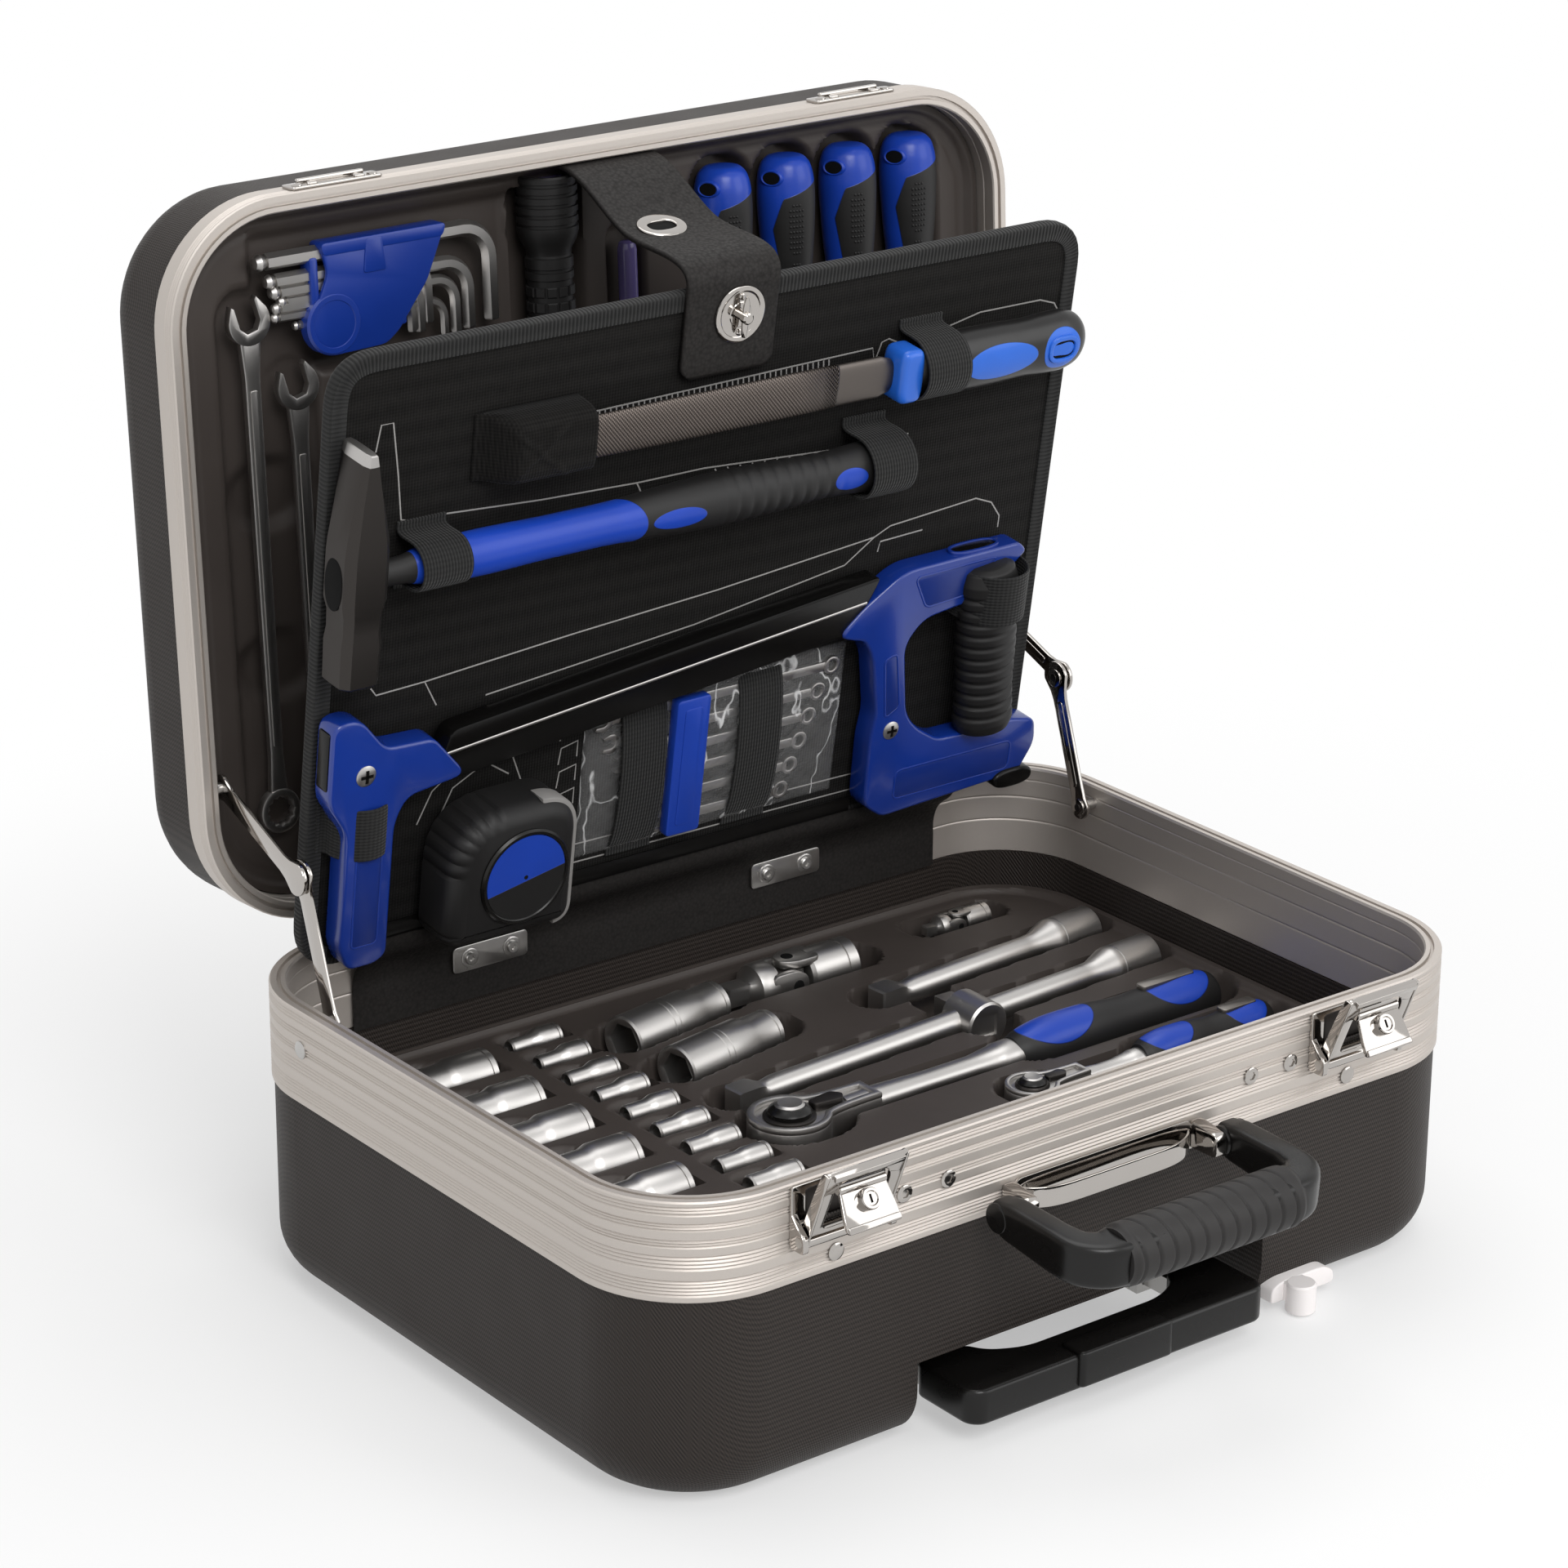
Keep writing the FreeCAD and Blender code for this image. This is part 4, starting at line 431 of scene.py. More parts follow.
def flow(keys, count):
    """A smooth curve through key points: cubic spans, with slopes from each point's neighbours."""
    keys = np.asarray(keys, float)
    gaps = np.linalg.norm(np.diff(keys, axis=0), axis=1)
    at = np.concatenate([[0], np.cumsum(gaps)])
    slopes = np.gradient(keys, at, axis=0)
    where = np.linspace(0, at[-1], count)
    span = np.clip(np.searchsorted(at, where, "right") - 1, 0, len(keys) - 2)
    width = gaps[span][:, None]
    share = ((where - at[span])[:, None]) / width
    first, last = keys[span], keys[span + 1]
    square, cube = share ** 2, share ** 3
    return (first * (2 * cube - 3 * square + 1) + last * (3 * square - 2 * cube)
            + width * (slopes[span] * (cube - 2 * square + share) + slopes[span + 1] * (cube - square)))


def hung(axis, angle):
    """A place on a carrier: points about its axis with it shut, turned open about X."""
    turn = math.radians(angle)
    cosine, sine = math.cos(turn), math.sin(turn)

    def place(points):
        x, y, z = np.moveaxis(points, -1, 0)
        return np.stack([x, axis[0] + y * cosine + z * sine, axis[1] - y * sine + z * cosine], -1)
    return place


ON_LID = hung(LID_AXIS, LID_OPEN)
ON_PANEL = hung(PANEL_AXIS, PANEL_OPEN)


def flats(angle, sides):
    """A section's reach at an angle, as a share of its corner radius: 1, or a regular polygon's flats."""
    sides = np.asarray(sides)[:, None]
    turn = np.where(sides == 4, math.pi / 4, 0)
    part = 2 * math.pi / np.maximum(sides, 3)
    reach = np.cos(part / 2) / np.cos(np.mod(angle - turn, part) - part / 2)
    return np.where(sides > 2, reach, 1.0)


def lathe(shape, start, axis, rows, across=(1, 1), segments=48, shade=0, patch=None, up=None):
    """A turned form: each row gives the distance along the axis, the corner radius and how many flats.

    A ring starts beside up, which is Z unless the axis is.
    """
    rows = np.array([(*row, 0)[:3] for row in rows], float)
    axis = unit(np.asarray(axis, float))
    up = up or ((0, 1, 0) if abs(axis[2]) == 1 else (0, 0, 1))
    side = unit(np.cross(up, axis))
    top = np.cross(axis, side)
    angle = np.arange(segments) * 2 * math.pi / segments
    reach = rows[:, 1, None] * flats(angle, rows[:, 2])
    ring = (across[0] * np.cos(angle)[:, None] * side + across[1] * np.sin(angle)[:, None] * top)
    points = np.asarray(start, float) + rows[:, 0, None, None] * axis + reach[..., None] * ring
    field = -1.0 if patch is None else patch(rows[:, 0, None], angle[None, :])
    shape.grid(points, rings=True, caps=True, shade=shade, patch=field)


def rounded(corners, radius, steps=5):
    """An outline with its corners rounded by quadratic curves that start a radius before each corner."""
    corners = np.asarray(corners, float)
    radius = np.broadcast_to(np.asarray(radius, float), len(corners))[:, None]
    before = corners + unit(np.roll(corners, 1, 0) - corners) * radius
    after = corners + unit(np.roll(corners, -1, 0) - corners) * radius
    share = np.linspace(0, 1, steps)[None, :, None]
    curve = ((1 - share) ** 2 * before[:, None] + 2 * share * (1 - share) * corners[:, None]
             + share ** 2 * after[:, None])
    return curve.reshape(-1, 2)


def block(x, y, radius, steps=5):
    """A rounded rectangle between two values of x and of y."""
    return rounded([(x[0], y[0]), (x[1], y[0]), (x[1], y[1]), (x[0], y[1])], radius, steps)


def circle(x, y, radius, count=40):
    """A ring of points about a middle."""
    angle = np.arange(count) * 2 * math.pi / count
    return np.stack([x + radius * np.cos(angle), y + radius * np.sin(angle)], -1)


def drawn_in(outline, inset):
    """An outline moved inward by a distance along the bisectors of its neighbouring edges' normals."""
    area = np.sum(outline[:, 0] * np.roll(outline[:, 1], -1) - outline[:, 1] * np.roll(outline[:, 0], -1))
    edge = unit(np.roll(outline, -1, 0) - outline)
    inward = np.stack([-edge[:, 1], edge[:, 0]], -1) * np.sign(area)
    both = unit(inward + np.roll(inward, 1, 0))
    stretch = np.maximum(np.sum(both * inward, axis=1, keepdims=True), 0.5)
    return outline + inset * both / stretch


def rim_rows(low, high, edge, steps):
    """Inset and height of each row of a plate's side, with both rims rounded by quarter circles."""
    turn = np.linspace(0, math.pi / 2, steps)
    inset = edge * (1 - np.sin(turn))
    rise = edge * (1 - np.cos(turn))
    return np.concatenate([inset, inset[::-1]]), np.concatenate([low + rise, high - rise[::-1]])


def slab(shape, outline, low, high, edge=0.6, steps=3, hole=None, to=None, shade=0):
    """A plate: an outline carried from low to high and drawn in at both rims, with a hole if given."""
    insets, heights = rim_rows(low, high, edge, steps)
    rows = [(drawn_in(outline, inset), height) for inset, height in zip(insets, heights)]
    if hole is not None:
        rows += [(drawn_in(hole, -inset), height) for inset, height in zip(insets[::-1], heights[::-1])]
    points = np.stack([raised(flat, height) for flat, height in rows])
    points = to(points) if to else points
    shape.grid(points, rings=True, loop=hole is not None, caps=hole is None, shade=shade)


def hole_in(outline, x, y, radius):
    """A round hole with one point for each point of the outline about it."""
    return np.array([x, y]) + radius * unit(outline - np.array([x, y]))


# Plates drawn across and up, with their thickness toward the front, and the same on the case's front.
upright = laid("xzy", signs=(1, -1, 1))
facing_front = laid("xzy", (0, FRONT, 0), (1, -1, 1))


def carried(shape, path, section, up=(0, 0, 1), shade=0):
    """A closed section (across, up) carried along a path and kept square to it."""
    path = np.asarray(path, float)
    ahead = unit(np.gradient(path, axis=0))
    side = unit(np.cross(ahead, np.asarray(up, float)))
    top = np.cross(side, ahead)
    section = np.broadcast_to(section, (len(path), *np.shape(section)[-2:]))
    points = path[:, None] + section[..., :1] * side[:, None] + section[..., 1:] * top[:, None]
    shape.grid(points, rings=True, caps=True, shade=shade)


def oval(width, height, power=2.0, count=32):
    """A section between an ellipse and a rectangle: a superellipse of the given power."""
    angle = np.arange(count) * 2 * math.pi / count
    cosine, sine = np.cos(angle), np.sin(angle)
    return np.stack([width / 2 * np.sign(cosine) * np.abs(cosine) ** (2 / power),
                     height / 2 * np.sign(sine) * np.abs(sine) ** (2 / power)], -1)


def ring_round_case(shape, profile, centre_y=0.0, steps=18):
    """A closed profile (inset, height) carried round the case's rounded outline."""
    turn = np.linspace(0, math.pi / 2, steps)
    angle = (np.arange(4)[:, None] * math.pi / 2 + turn).reshape(-1)
    corner = np.repeat(np.arange(4), steps)
    sign_x = np.where((corner == 0) | (corner == 3), 1, -1)
    sign_y = np.where(corner < 2, 1, -1)
    profile = np.asarray(profile, float)
    reach = CASE_ROUND - profile[:, :1]
    x = sign_x * (CASE_WIDTH / 2 - CASE_ROUND) + reach * np.cos(angle)
    y = centre_y + sign_y * (CASE_DEPTH / 2 - CASE_ROUND) + reach * np.sin(angle)
    z = np.broadcast_to(profile[:, 1:], x.shape)
    shape.grid(np.stack([x, y, z], -1), loop=True, rings=True)


def groove_depth(at, groups, depth):
    """Depth of grooves cut in groups: within each group's span, a raised cosine for every line."""
    total = np.zeros_like(at)
    for start, stop, lines in groups:
        inside = (at > start) & (at < stop)
        wave = 0.5 - 0.5 * np.cos(2 * math.pi * lines * (at - start) / (stop - start))
        total += np.where(inside, depth * wave, 0)
    return total


# Groups of grooves: where each starts and stops, and how many lines it has.
BASE_GROOVES = [(1.9, 6.3, 3), (9.2, 13.0, 3), (16.5, 20.3, 3), (23.6, 30.2, 4), (34.2, 41.8, 5)]
BASE_INNER_LINES = [(112, 113.2, 1), (124, 125.2, 1), (133, 134.2, 1)]
LID_GROOVES = [(-0.2, 4.6, 3)]
# Angles, in degrees, past which an edge of a frame or a tray stays crisp.
FRAME_SHARP, TRAY_SHARP = 28, 60


def seal_channel(start, rim, down):
    """A rim's narrow face with a channel for the seal: insets and heights, from the inner edge out."""
    floor = rim + 1.6 * down
    return [(start, rim), (5.2, rim), (5.0, floor), (3.6, floor), (3.4, rim), (0.6, rim)]


def make_frames():
    """Aluminium bars round both rims, with groups of grooves along their outer faces."""
    shape = Shape()
    drop = np.arange(0.7, 44, 0.2)
    outer = np.column_stack([groove_depth(drop, BASE_GROOVES, 0.6), RIM_TOP - drop])
    rise = np.arange(FRAME_LOW + 0.7, RIM_TOP - 0.7, 0.4)
    inner = np.column_stack([FRAME_THICK - groove_depth(rise, BASE_INNER_LINES, 0.3), rise])
    base = [(0.7, FRAME_LOW), (7.1, FRAME_LOW)]
    ring_round_case(shape, np.concatenate([outer, base, inner, seal_channel(7.1, RIM_TOP, -1)]))
    finish = ["frame_aluminium"]
    make_piece("base_rim_bar", shape, finish, "base", ["base_frame"], FRAME_SHARP)
    shape = Shape(ON_LID)
    rise = np.arange(LID_RIM + 0.6, LID_SEAM - 0.4, 0.2)
    outer = np.column_stack([groove_depth(rise, LID_GROOVES, 0.55), rise])
    top = [(0.6, LID_SEAM), (7.2, LID_SEAM)]
    inner = [(FRAME_THICK, LID_SEAM - 0.6), (FRAME_THICK, 6.2), (7.4, 5.8), (7.4, 5.2), (FRAME_THICK, 4.8),
             (FRAME_THICK, LID_RIM + 0.6)]
    profile = np.concatenate([outer, top, inner, seal_channel(7.2, LID_RIM, 1)])
    ring_round_case(shape, profile, -LID_AXIS[0])
    make_piece("lid_rim_bar", shape, finish, "lid", ["lid_frame"], FRAME_SHARP)


def inside_grid(inset, columns, rows, corner_rows=30):
    """A grid over the case's inside, front to back, each row as wide as the rounded outline is there."""
    half_w, half_d, corner = CASE_WIDTH / 2 - inset, CASE_DEPTH / 2 - inset, CASE_ROUND - inset
    bend = np.linspace(-math.pi / 2, 0, corner_rows)
    front_y = corner - half_d + corner * np.sin(bend)
    front_w = half_w - corner + corner * np.cos(bend)
    middle = np.linspace(corner - half_d, half_d - corner, rows)[1:-1]
    y = np.concatenate([front_y, middle, -front_y[::-1]])
    half = np.concatenate([front_w, np.full(len(middle), half_w), front_w[::-1]])
    x = half[:, None] * np.linspace(-1, 1, columns)
    y = np.broadcast_to(y[:, None], x.shape)
    over_x, over_y = np.abs(x) - (half_w - corner), np.abs(y) - (half_d - corner)
    outside = np.hypot(np.maximum(over_x, 0), np.maximum(over_y, 0))
    edge = corner - outside - np.minimum(np.maximum(over_x, over_y), 0)
    return x, y, edge


def rod_distance(x, y, start, end):
    """How far each point is from a straight line between two points."""
    run = np.subtract(end, start)
    share = np.clip(((x - start[0]) * run[0] + (y - start[1]) * run[1]) / np.dot(run, run), 0, 1)
    return np.hypot(x - start[0] - share * run[0], y - start[1] - share * run[1])


def box_distance(x, y, low, high):
    """How far each point is outside an upright rectangle, less than zero inside it."""
    return np.maximum(np.maximum(low[0] - x, x - high[0]), np.maximum(low[1] - y, y - high[1]))


def sunk(height, distance, near, far, floor):
    """A height field let down to a floor where a distance is below near, rising smoothly back at far."""
    share = step(near, far, distance)
    return np.minimum(height, floor) * (1 - share) + height * share


def tray_solid(shape, x, y, top, back):
    """A tray: the height field over its grid, closed by straight walls and a plain back."""
    face = np.stack([x, y, top], -1)
    rear = np.stack([x[:, [-1, 0]], y[:, [-1, 0]], np.full((len(x), 2), back)], -1)
    shape.grid(np.concatenate([face, rear], axis=1), rings=True, caps=True)


# Where the base's tools lie (x, y), how long they are, and how they are turned.
LARGE_LENGTH, SMALL_LENGTH, DEEP_LENGTH = 40, 27, 62
LARGE_AT = [(-154.06, 127 - 37 * number) for number in range(5)]
SMALL_AT = [(-96.06, 136 - 22.6 * number) for number in range(9)]
DEEP_AT = [(-50.04, 111), (-50.04, 70)]
DEEP_TURN = math.radians(10)
YOKE_AT, MINI_AT, MINI_SCALE = (18.06, 125), (143.93, 130), 0.514
SHORT_BAR, SHORT_TURN, SHORT_LENGTH = (71.99, 78), math.radians(3.7), 140.1
LONG_BAR, LONG_TURN, LONG_LENGTH = (-49.06, 29), math.radians(3.3), 261.3
SLIDE_AT = (95.99, 37.36)
RATCHET_AT, RATCHET_NECK, GRIP_END = (-44.06, -6), 130, 207.2
MINI_RATCHET_AT, MINI_RATCHET_NECK = (63.99, -44), 66
# The trays: gap to the case, and for the base its lowest point, its back, its curb's height,
# and how far past a tool a pocket's floor ends and its rim begins.
TRAY_INSET, TRAY_LOWEST, TRAY_BACK, CURB = 8.3, 55.5, 54.2, 3
POCKET_SLOPE = (1.6, 4.2)


def along(start, turn, length):
    """The point at a distance from a start, in a direction."""
    return start[0] + length * math.cos(turn), start[1] + length * math.sin(turn)


def make_base_tray():
    """The base tray: a flat field let down round every tool, with finger scoops and a rounded curb."""
    x, y, edge = inside_grid(TRAY_INSET, 300, 150)
    top = np.full(x.shape, float(TRAY_TOP))
    rods = [
        (YOKE_AT, along(YOKE_AT, 0, 74), 12.5), (MINI_AT, along(MINI_AT, 0, 38), 7.5),
        (SHORT_BAR, along(SHORT_BAR, SHORT_TURN, SHORT_LENGTH), 9),
        (LONG_BAR, along(LONG_BAR, LONG_TURN, LONG_LENGTH), 9),
        ((SLIDE_AT[0], SLIDE_AT[1] - 12), (SLIDE_AT[0], SLIDE_AT[1] + 20), 12),
    ]
    ratchets = ((RATCHET_AT, 8, 20, 8, 95, 14), (MINI_RATCHET_AT, 4, 13, 6, 136, 11))
    for at, head, head_radius, neck_radius, grip, grip_radius in ratchets:
        rods += [(at, along(at, 0, head), head_radius), (at, (GRIP_END, at[1]), neck_radius),
                 ((grip, at[1]), (GRIP_END - 8, at[1]), grip_radius)]
    for start, end, radius in rods:
        near, far = (radius + slope for slope in POCKET_SLOPE)
        top = sunk(top, rod_distance(x, y, start, end), near, far, TRAY_FLOOR)
    for start in DEEP_AT:
        distance = rod_distance(x, y, start, along(start, DEEP_TURN, DEEP_LENGTH))
        top = sunk(top, distance, 13, 16.5, TRAY_FLOOR)
    for (left, middle), length, half, floor in ([(at, LARGE_LENGTH, 10.6, 57) for at in LARGE_AT]
                                                + [(at, SMALL_LENGTH, 6.0, 65.5) for at in SMALL_AT]):
        pocket = box_distance(x, y, (left - 1, middle - half), (left + length + 0.8, middle + half))
        top = sunk(top, pocket, 0.2, 2.2, floor)
        scoop = np.hypot((x - left - 0.16 * length) / (0.36 * length), (y - middle - half) / (0.85 * half))
        top = sunk(top, scoop, 0.35, 1.0, TRAY_TOP - 0.8 * half)
    top = np.maximum(top, TRAY_LOWEST)
    share = 1 - step(2.8, 6.0, edge)
    curb = TRAY_TOP + CURB * share
    top = np.maximum(top, curb - 2 * CURB) * share + top * (1 - share)
    top = np.where(edge < 7, curb + (top - curb) * step(3.5, 7, edge), top)
    top = top - 0.7 * np.exp(-((edge - 2.2) / 0.7) ** 2)
    shape = Shape()
    tray_solid(shape, x, y, top, TRAY_BACK)
    make_piece("moulded_base_tray", shape, ["tray_grey"], "base", ["base_tray"], TRAY_SHARP)


def socket_rows(length, nose, nose_radius, radius, bore, square, deep, collar=3.6):
    """Rows of a drive socket: hexagon bore, narrow nose, shoulder, grooved skirt and square bore."""
    return [(deep, bore, 6), (1.0, bore, 6), (0, bore + 0.9), (0, nose_radius - 0.9), (0.9, nose_radius),
            (nose - 2.4, nose_radius), (nose - 0.8, 0.7 * nose_radius + 0.3 * radius),
            (nose + 0.8, 0.3 * nose_radius + 0.7 * radius), (nose + 2.2, radius),
            (length - collar - 0.9, radius), (length - collar - 0.7, radius - 0.5),
            (length - collar, radius - 0.5), (length - collar + 0.2, radius), (length - 0.9, radius),
            (length, radius - 0.9), (length, square + 0.4, 4), (length - 0.5, square, 4),
            (length - deep, square, 4)]


def make_sockets():
    """Large and small sockets in two rows, and two deep sockets with pairs of grooves."""
    chrome = ["tool_chrome"]
    shape = Shape()
    for left, middle in LARGE_AT:
        rows = socket_rows(LARGE_LENGTH, 17, 10.5, 12, 7.8, 8.9, 13)
        lathe(shape, (left, middle, LARGE_Z), (1, 0, 0), rows)
    make_piece("large_sockets", shape, chrome, "base", ["sockets_large"])
    shape = Shape()
    for number, (left, middle) in enumerate(SMALL_AT):
        nose = 4.4 + 0.14 * number
        rows = socket_rows(SMALL_LENGTH, 13, nose, 6.3, nose - 1.5, 4.4, 8, 2.4)
        lathe(shape, (left, middle, TOOL_Z), (1, 0, 0), rows, segments=36)
    make_piece("small_sockets", shape, chrome, "base", ["sockets_small"])
    shape = Shape()
    rows = [(30, 9, 6), (1.2, 9, 6), (0, 10.4), (0, 11.6), (0.9, 12.5)]
    for groove in (22, 25.6):
        rows += [(groove, 12.5), (groove + 0.4, 12.1), (groove + 1.4, 12.1), (groove + 1.8, 12.5)]
    rows += [(42, 12.5), (45, 11.0), (57.6, 11), (57.9, 10.5), (58.6, 10.5), (58.9, 11), (61.2, 11),
             (DEEP_LENGTH, 10.2), (DEEP_LENGTH, 9.3, 4), (61.4, 8.9, 4), (46, 8.9, 4)]
    for left, middle in DEEP_AT:
        lathe(shape, (left, middle, TOOL_Z), (*along((0, 0), DEEP_TURN, 1), 0), rows)
    make_piece("long_sockets", shape, chrome, "base", ["deep_sockets"])


def joint_parts(shape):
    """A universal joint along X: a square peg, a cup, and two forks at right angles on a block."""
    length = 74
    peg = [(0, 5.4, 4), (0.8, 6.6, 4), (12, 6.6, 4), (13, 6.2), (15, 9.0), (16, 11.2), (18, 11.8), (25, 11.8),
           (27, 10.6)]
    cup = [(46, 10.0), (47.5, 11.6), (49, 11.8), (66, 11.8), (66.3, 11.3), (67.2, 11.3), (67.5, 12), (73, 12),
           (length, 11.2), (length, 9.4, 4), (73.4, 8.9, 4), (60, 8.9, 4)]
    core = [(30, 7, 4), (30.8, 8, 4), (43.2, 8, 4), (44, 7, 4)]
    for rows in (peg, cup, core):
        lathe(shape, (0, 0, 0), (1, 0, 0), rows)
    ear = rounded([(22, -8), (36, -8), (43, -4), (43, 4), (36, 8), (22, 8)], 3.6)
    pin = circle(36.5, 0, 3, 24)
    for side in (-1, 1):
        for way, shift, to in ((1, 0, laid("xzy", signs=(1, side, 1))),
                               (-1, length, laid("xyz", signs=(1, 1, side)))):
            slab(shape, ear * (way, 1) + (shift, 0), 7.2, 11.2, 0.8, to=to)
            slab(shape, pin * (way, 1) + (shift, 0), 10, 11.6, 0.4, to=to, shade=1)


def make_drive_bars():
    """Extension bars with pegs and cups, two universal joints, and the long bar's sliding head."""
    shape = Shape()
    for at, scale in ((YOKE_AT, 1.0), (MINI_AT, MINI_SCALE)):
        shape.place = lambda points: points * scale + (*at, TOOL_Z)
        joint_parts(shape)
    shape.place = None
    for start, turn, length in ((SHORT_BAR, SHORT_TURN, SHORT_LENGTH), (LONG_BAR, LONG_TURN, LONG_LENGTH)):
        rows = [(0, 7.4, 4), (1.0, 8.6, 4), (11, 8.6, 4), (14, 7.6, 4), (17, 5.2), (19, 5.4), (24, 6.2)]
        rows += [(length - 44, 6.2), (length - 38, 6.6), (length - 28, 10.2), (length - 26, 10.5),
                 (length - 24.5, 10.5), (length - 24.2, 10.1), (length - 23.4, 10.1), (length - 23.1, 10.5),
                 (length - 1, 10.5), (length, 9.6), (length, 9.0, 4), (length - 12, 9.0, 4)]
        lathe(shape, (*start, TOOL_Z), (*along((0, 0), turn, 1), 0), rows)
    head = [(-11, 7.0, 4), (-12.6, 7.4, 4), (-13, 8.6), (-13, 10.4), (-12, 11.5), (7.5, 11.5), (9, 10),
            (9, 7.1, 4), (20, 7.1, 4), (21.4, 6.2, 4)]
    lathe(shape, (*SLIDE_AT, TOOL_Z), (0, 1, 0), head)
    finishes = ["tool_chrome", "dark_hole"]
    make_piece("drive_bars_and_joints", shape, finishes, "base", ["drive_bars"])


def teardrop(x, y, radius, reach, half):
    """A round head drawn out into a neck: an arc of a circle and two smooth shoulders."""
    angle = np.linspace(0.62, 2 * math.pi - 0.62, 44)
    arc = np.stack([x + radius * np.cos(angle), y + radius * np.sin(angle)], -1)
    share = np.linspace(0, 1, 8)[1:, None]
    start, end = arc[-1], np.array([x + reach, y - half])
    pull = np.array([x + 1.15 * radius, y - half])
    lower = (1 - share) ** 2 * start + 2 * share * (1 - share) * pull + share ** 2 * end
    upper = lower[::-1] * (1, -1) + (0, 2 * y)
    return np.concatenate([arc, lower, upper])


def grip_patch(length):
    """Two oval patches along the top of a grip."""
    def patch(at, angle):
        turn = off_angle(angle, math.pi / 2)
        return np.maximum(spot(at / length, 0.2, 0.17, turn, 1.25), spot(at / length, 0.8, 0.15, turn, 1.25))
    return patch


def make_ratchets():
    """Two ratchets: a teardrop head with a plate, a turn knob and a lever, and a tapered neck."""
    shape = Shape()
    for (x, y), radius, thick, neck, size in ((RATCHET_AT, 19, 14, RATCHET_NECK, 1.0),
                                              (MINI_RATCHET_AT, 12.5, 11, MINI_RATCHET_NECK, 0.66)):
        low, high = TOOL_Z - thick / 2, TOOL_Z + thick / 2
        head = teardrop(x, y, radius, 46 * size, 8 * size)
        slab(shape, head, low, high - 2.4 * size, 1.2 * size)
        slab(shape, head, high - 3.4 * size, high, 1.0 * size, hole=drawn_in(head, 3.4 * size))
        plate = [(0, 12 * size), (1.6 * size, 12 * size), (2, 11 * size)]
        knob = np.multiply([(0, 10), (3.4, 10), (4.6, 9), (5.4, 7.6), (5.8, 7.2)], size)
        cap = np.multiply([(0, 6.8), (1.2, 6.8), (2.0, 5.6), (1.6, 2.4)], size)
        for rise, rows, shade in ((-3, plate, 1), (-2.4, knob, 2), (2.6, cap, 0)):
            lathe(shape, (x, y, high + rise * size), (0, 0, 1), rows, shade=shade)
        lever = rounded(np.multiply([(12, -3), (26, -5), (30, 0), (26, 5), (12, 3)], size), 2 * size) + (x, y)
        slab(shape, lever, high - 3 * size, high + 1.4 * size, 0.8 * size, shade=3)
        rows = [(30 * size, 7.0 * size), (46 * size, 7.4 * size), (neck * 0.6, 6.2 * size)]
        rows += [(neck - back * size, wide * size)
                 for back, wide in ((26, 6.4), (12, 8.4), (11, 8.9), (3, 9.1), (0, 8.6))]
        lathe(shape, (x, y, TOOL_Z), (1, 0, 0), rows, across=(1, 0.82))
    finishes = ["tool_chrome", "dark_steel", "handle_black", "dark_steel"]
    make_piece("ratchet_heads", shape, finishes, "base", ["ratchets"])
    shape = Shape()
    keys = [(0, 0.62), (0.05, 0.8), (0.2, 0.98), (0.35, 0.97), (0.55, 0.84), (0.72, 0.92), (0.86, 1.0),
            (0.95, 0.86), (1.0, 0.5)]
    for (x, y), neck, radius in ((RATCHET_AT, RATCHET_NECK, 13), (MINI_RATCHET_AT, MINI_RATCHET_NECK, 10.5)):
        start = x + neck - 2
        length = GRIP_END - start
        lathe(shape, (start, y, TOOL_Z), (1, 0, 0), flow(keys, 90) * (length, radius),
              patch=grip_patch(length), segments=64)

        def lie(points):
            lift = TOOL_Z + radius * (0.9 + 0.02 * points[..., 0] / length) + points[..., 2]
            return np.stack([start + points[..., 0], y + points[..., 1], lift], -1)
        inlay = block((0.64 * length, 0.9 * length), (-2.0, 4.6), 2.4)
        slab(shape, inlay, -1.2, 1.5 * (radius / 13), 0.4, to=lie, shade=1)
    make_piece("ratchet_handles", shape, ["grip_two_tone", "grey_inlay"], "base",
               ["ratchet_grips"])


# Where the lid's tools lie, about the lid's axis with the lid shut: across, and reach as a negative y.
DRIVER_AT = [(72.0 + 36.44 * number, -308) for number in range(4)]
DRIVER_GRIP, DRIVER_END = 92, 187
# Angles about a screwdriver of its blue spine and its hanging hole.
DRIVER_SPINE, DRIVER_HOLE = 0.0, -0.4
LID_TOOL_Z, HEX_Z, LID_TRAY_BACK = 13, 9, 27.7
TESTER_AT, TESTER_LENGTH = (17, -281), 84
TORCH_AT, TORCH_HEAD, TORCH_END = (-26, -318), 34, 124
LONG_SPANNERS = [(-185, -276), (-162.5, -244)]
SPANNER_RING_Y = -55
# Hexagon keys: reach of the long arm, where it starts and bends, thickness, and length of the leg.
HEX_KEYS = [(-301, -176, -61, 6.6, 43), (-292, -172, -95, 5.8, 30), (-287, -170, -73, 5.6, 31),
            (-282.5, -167, -99, 4.8, 24), (-280, -170, -80, 4.6, 25), (-276, -171, -103, 4.0, 17),
            (-271, -161, -86, 3.6, 16)]
# Raised dots on a grip: places across and along two oblong fields, whose end rows are narrower.
DOT_ENDS = (0, 9, 10, 18)
DRIVER_DOTS = [(across, down) for down in range(19) for across in range(-2, 3)
               if abs(across) + 2 * (down in DOT_ENDS) < 4]


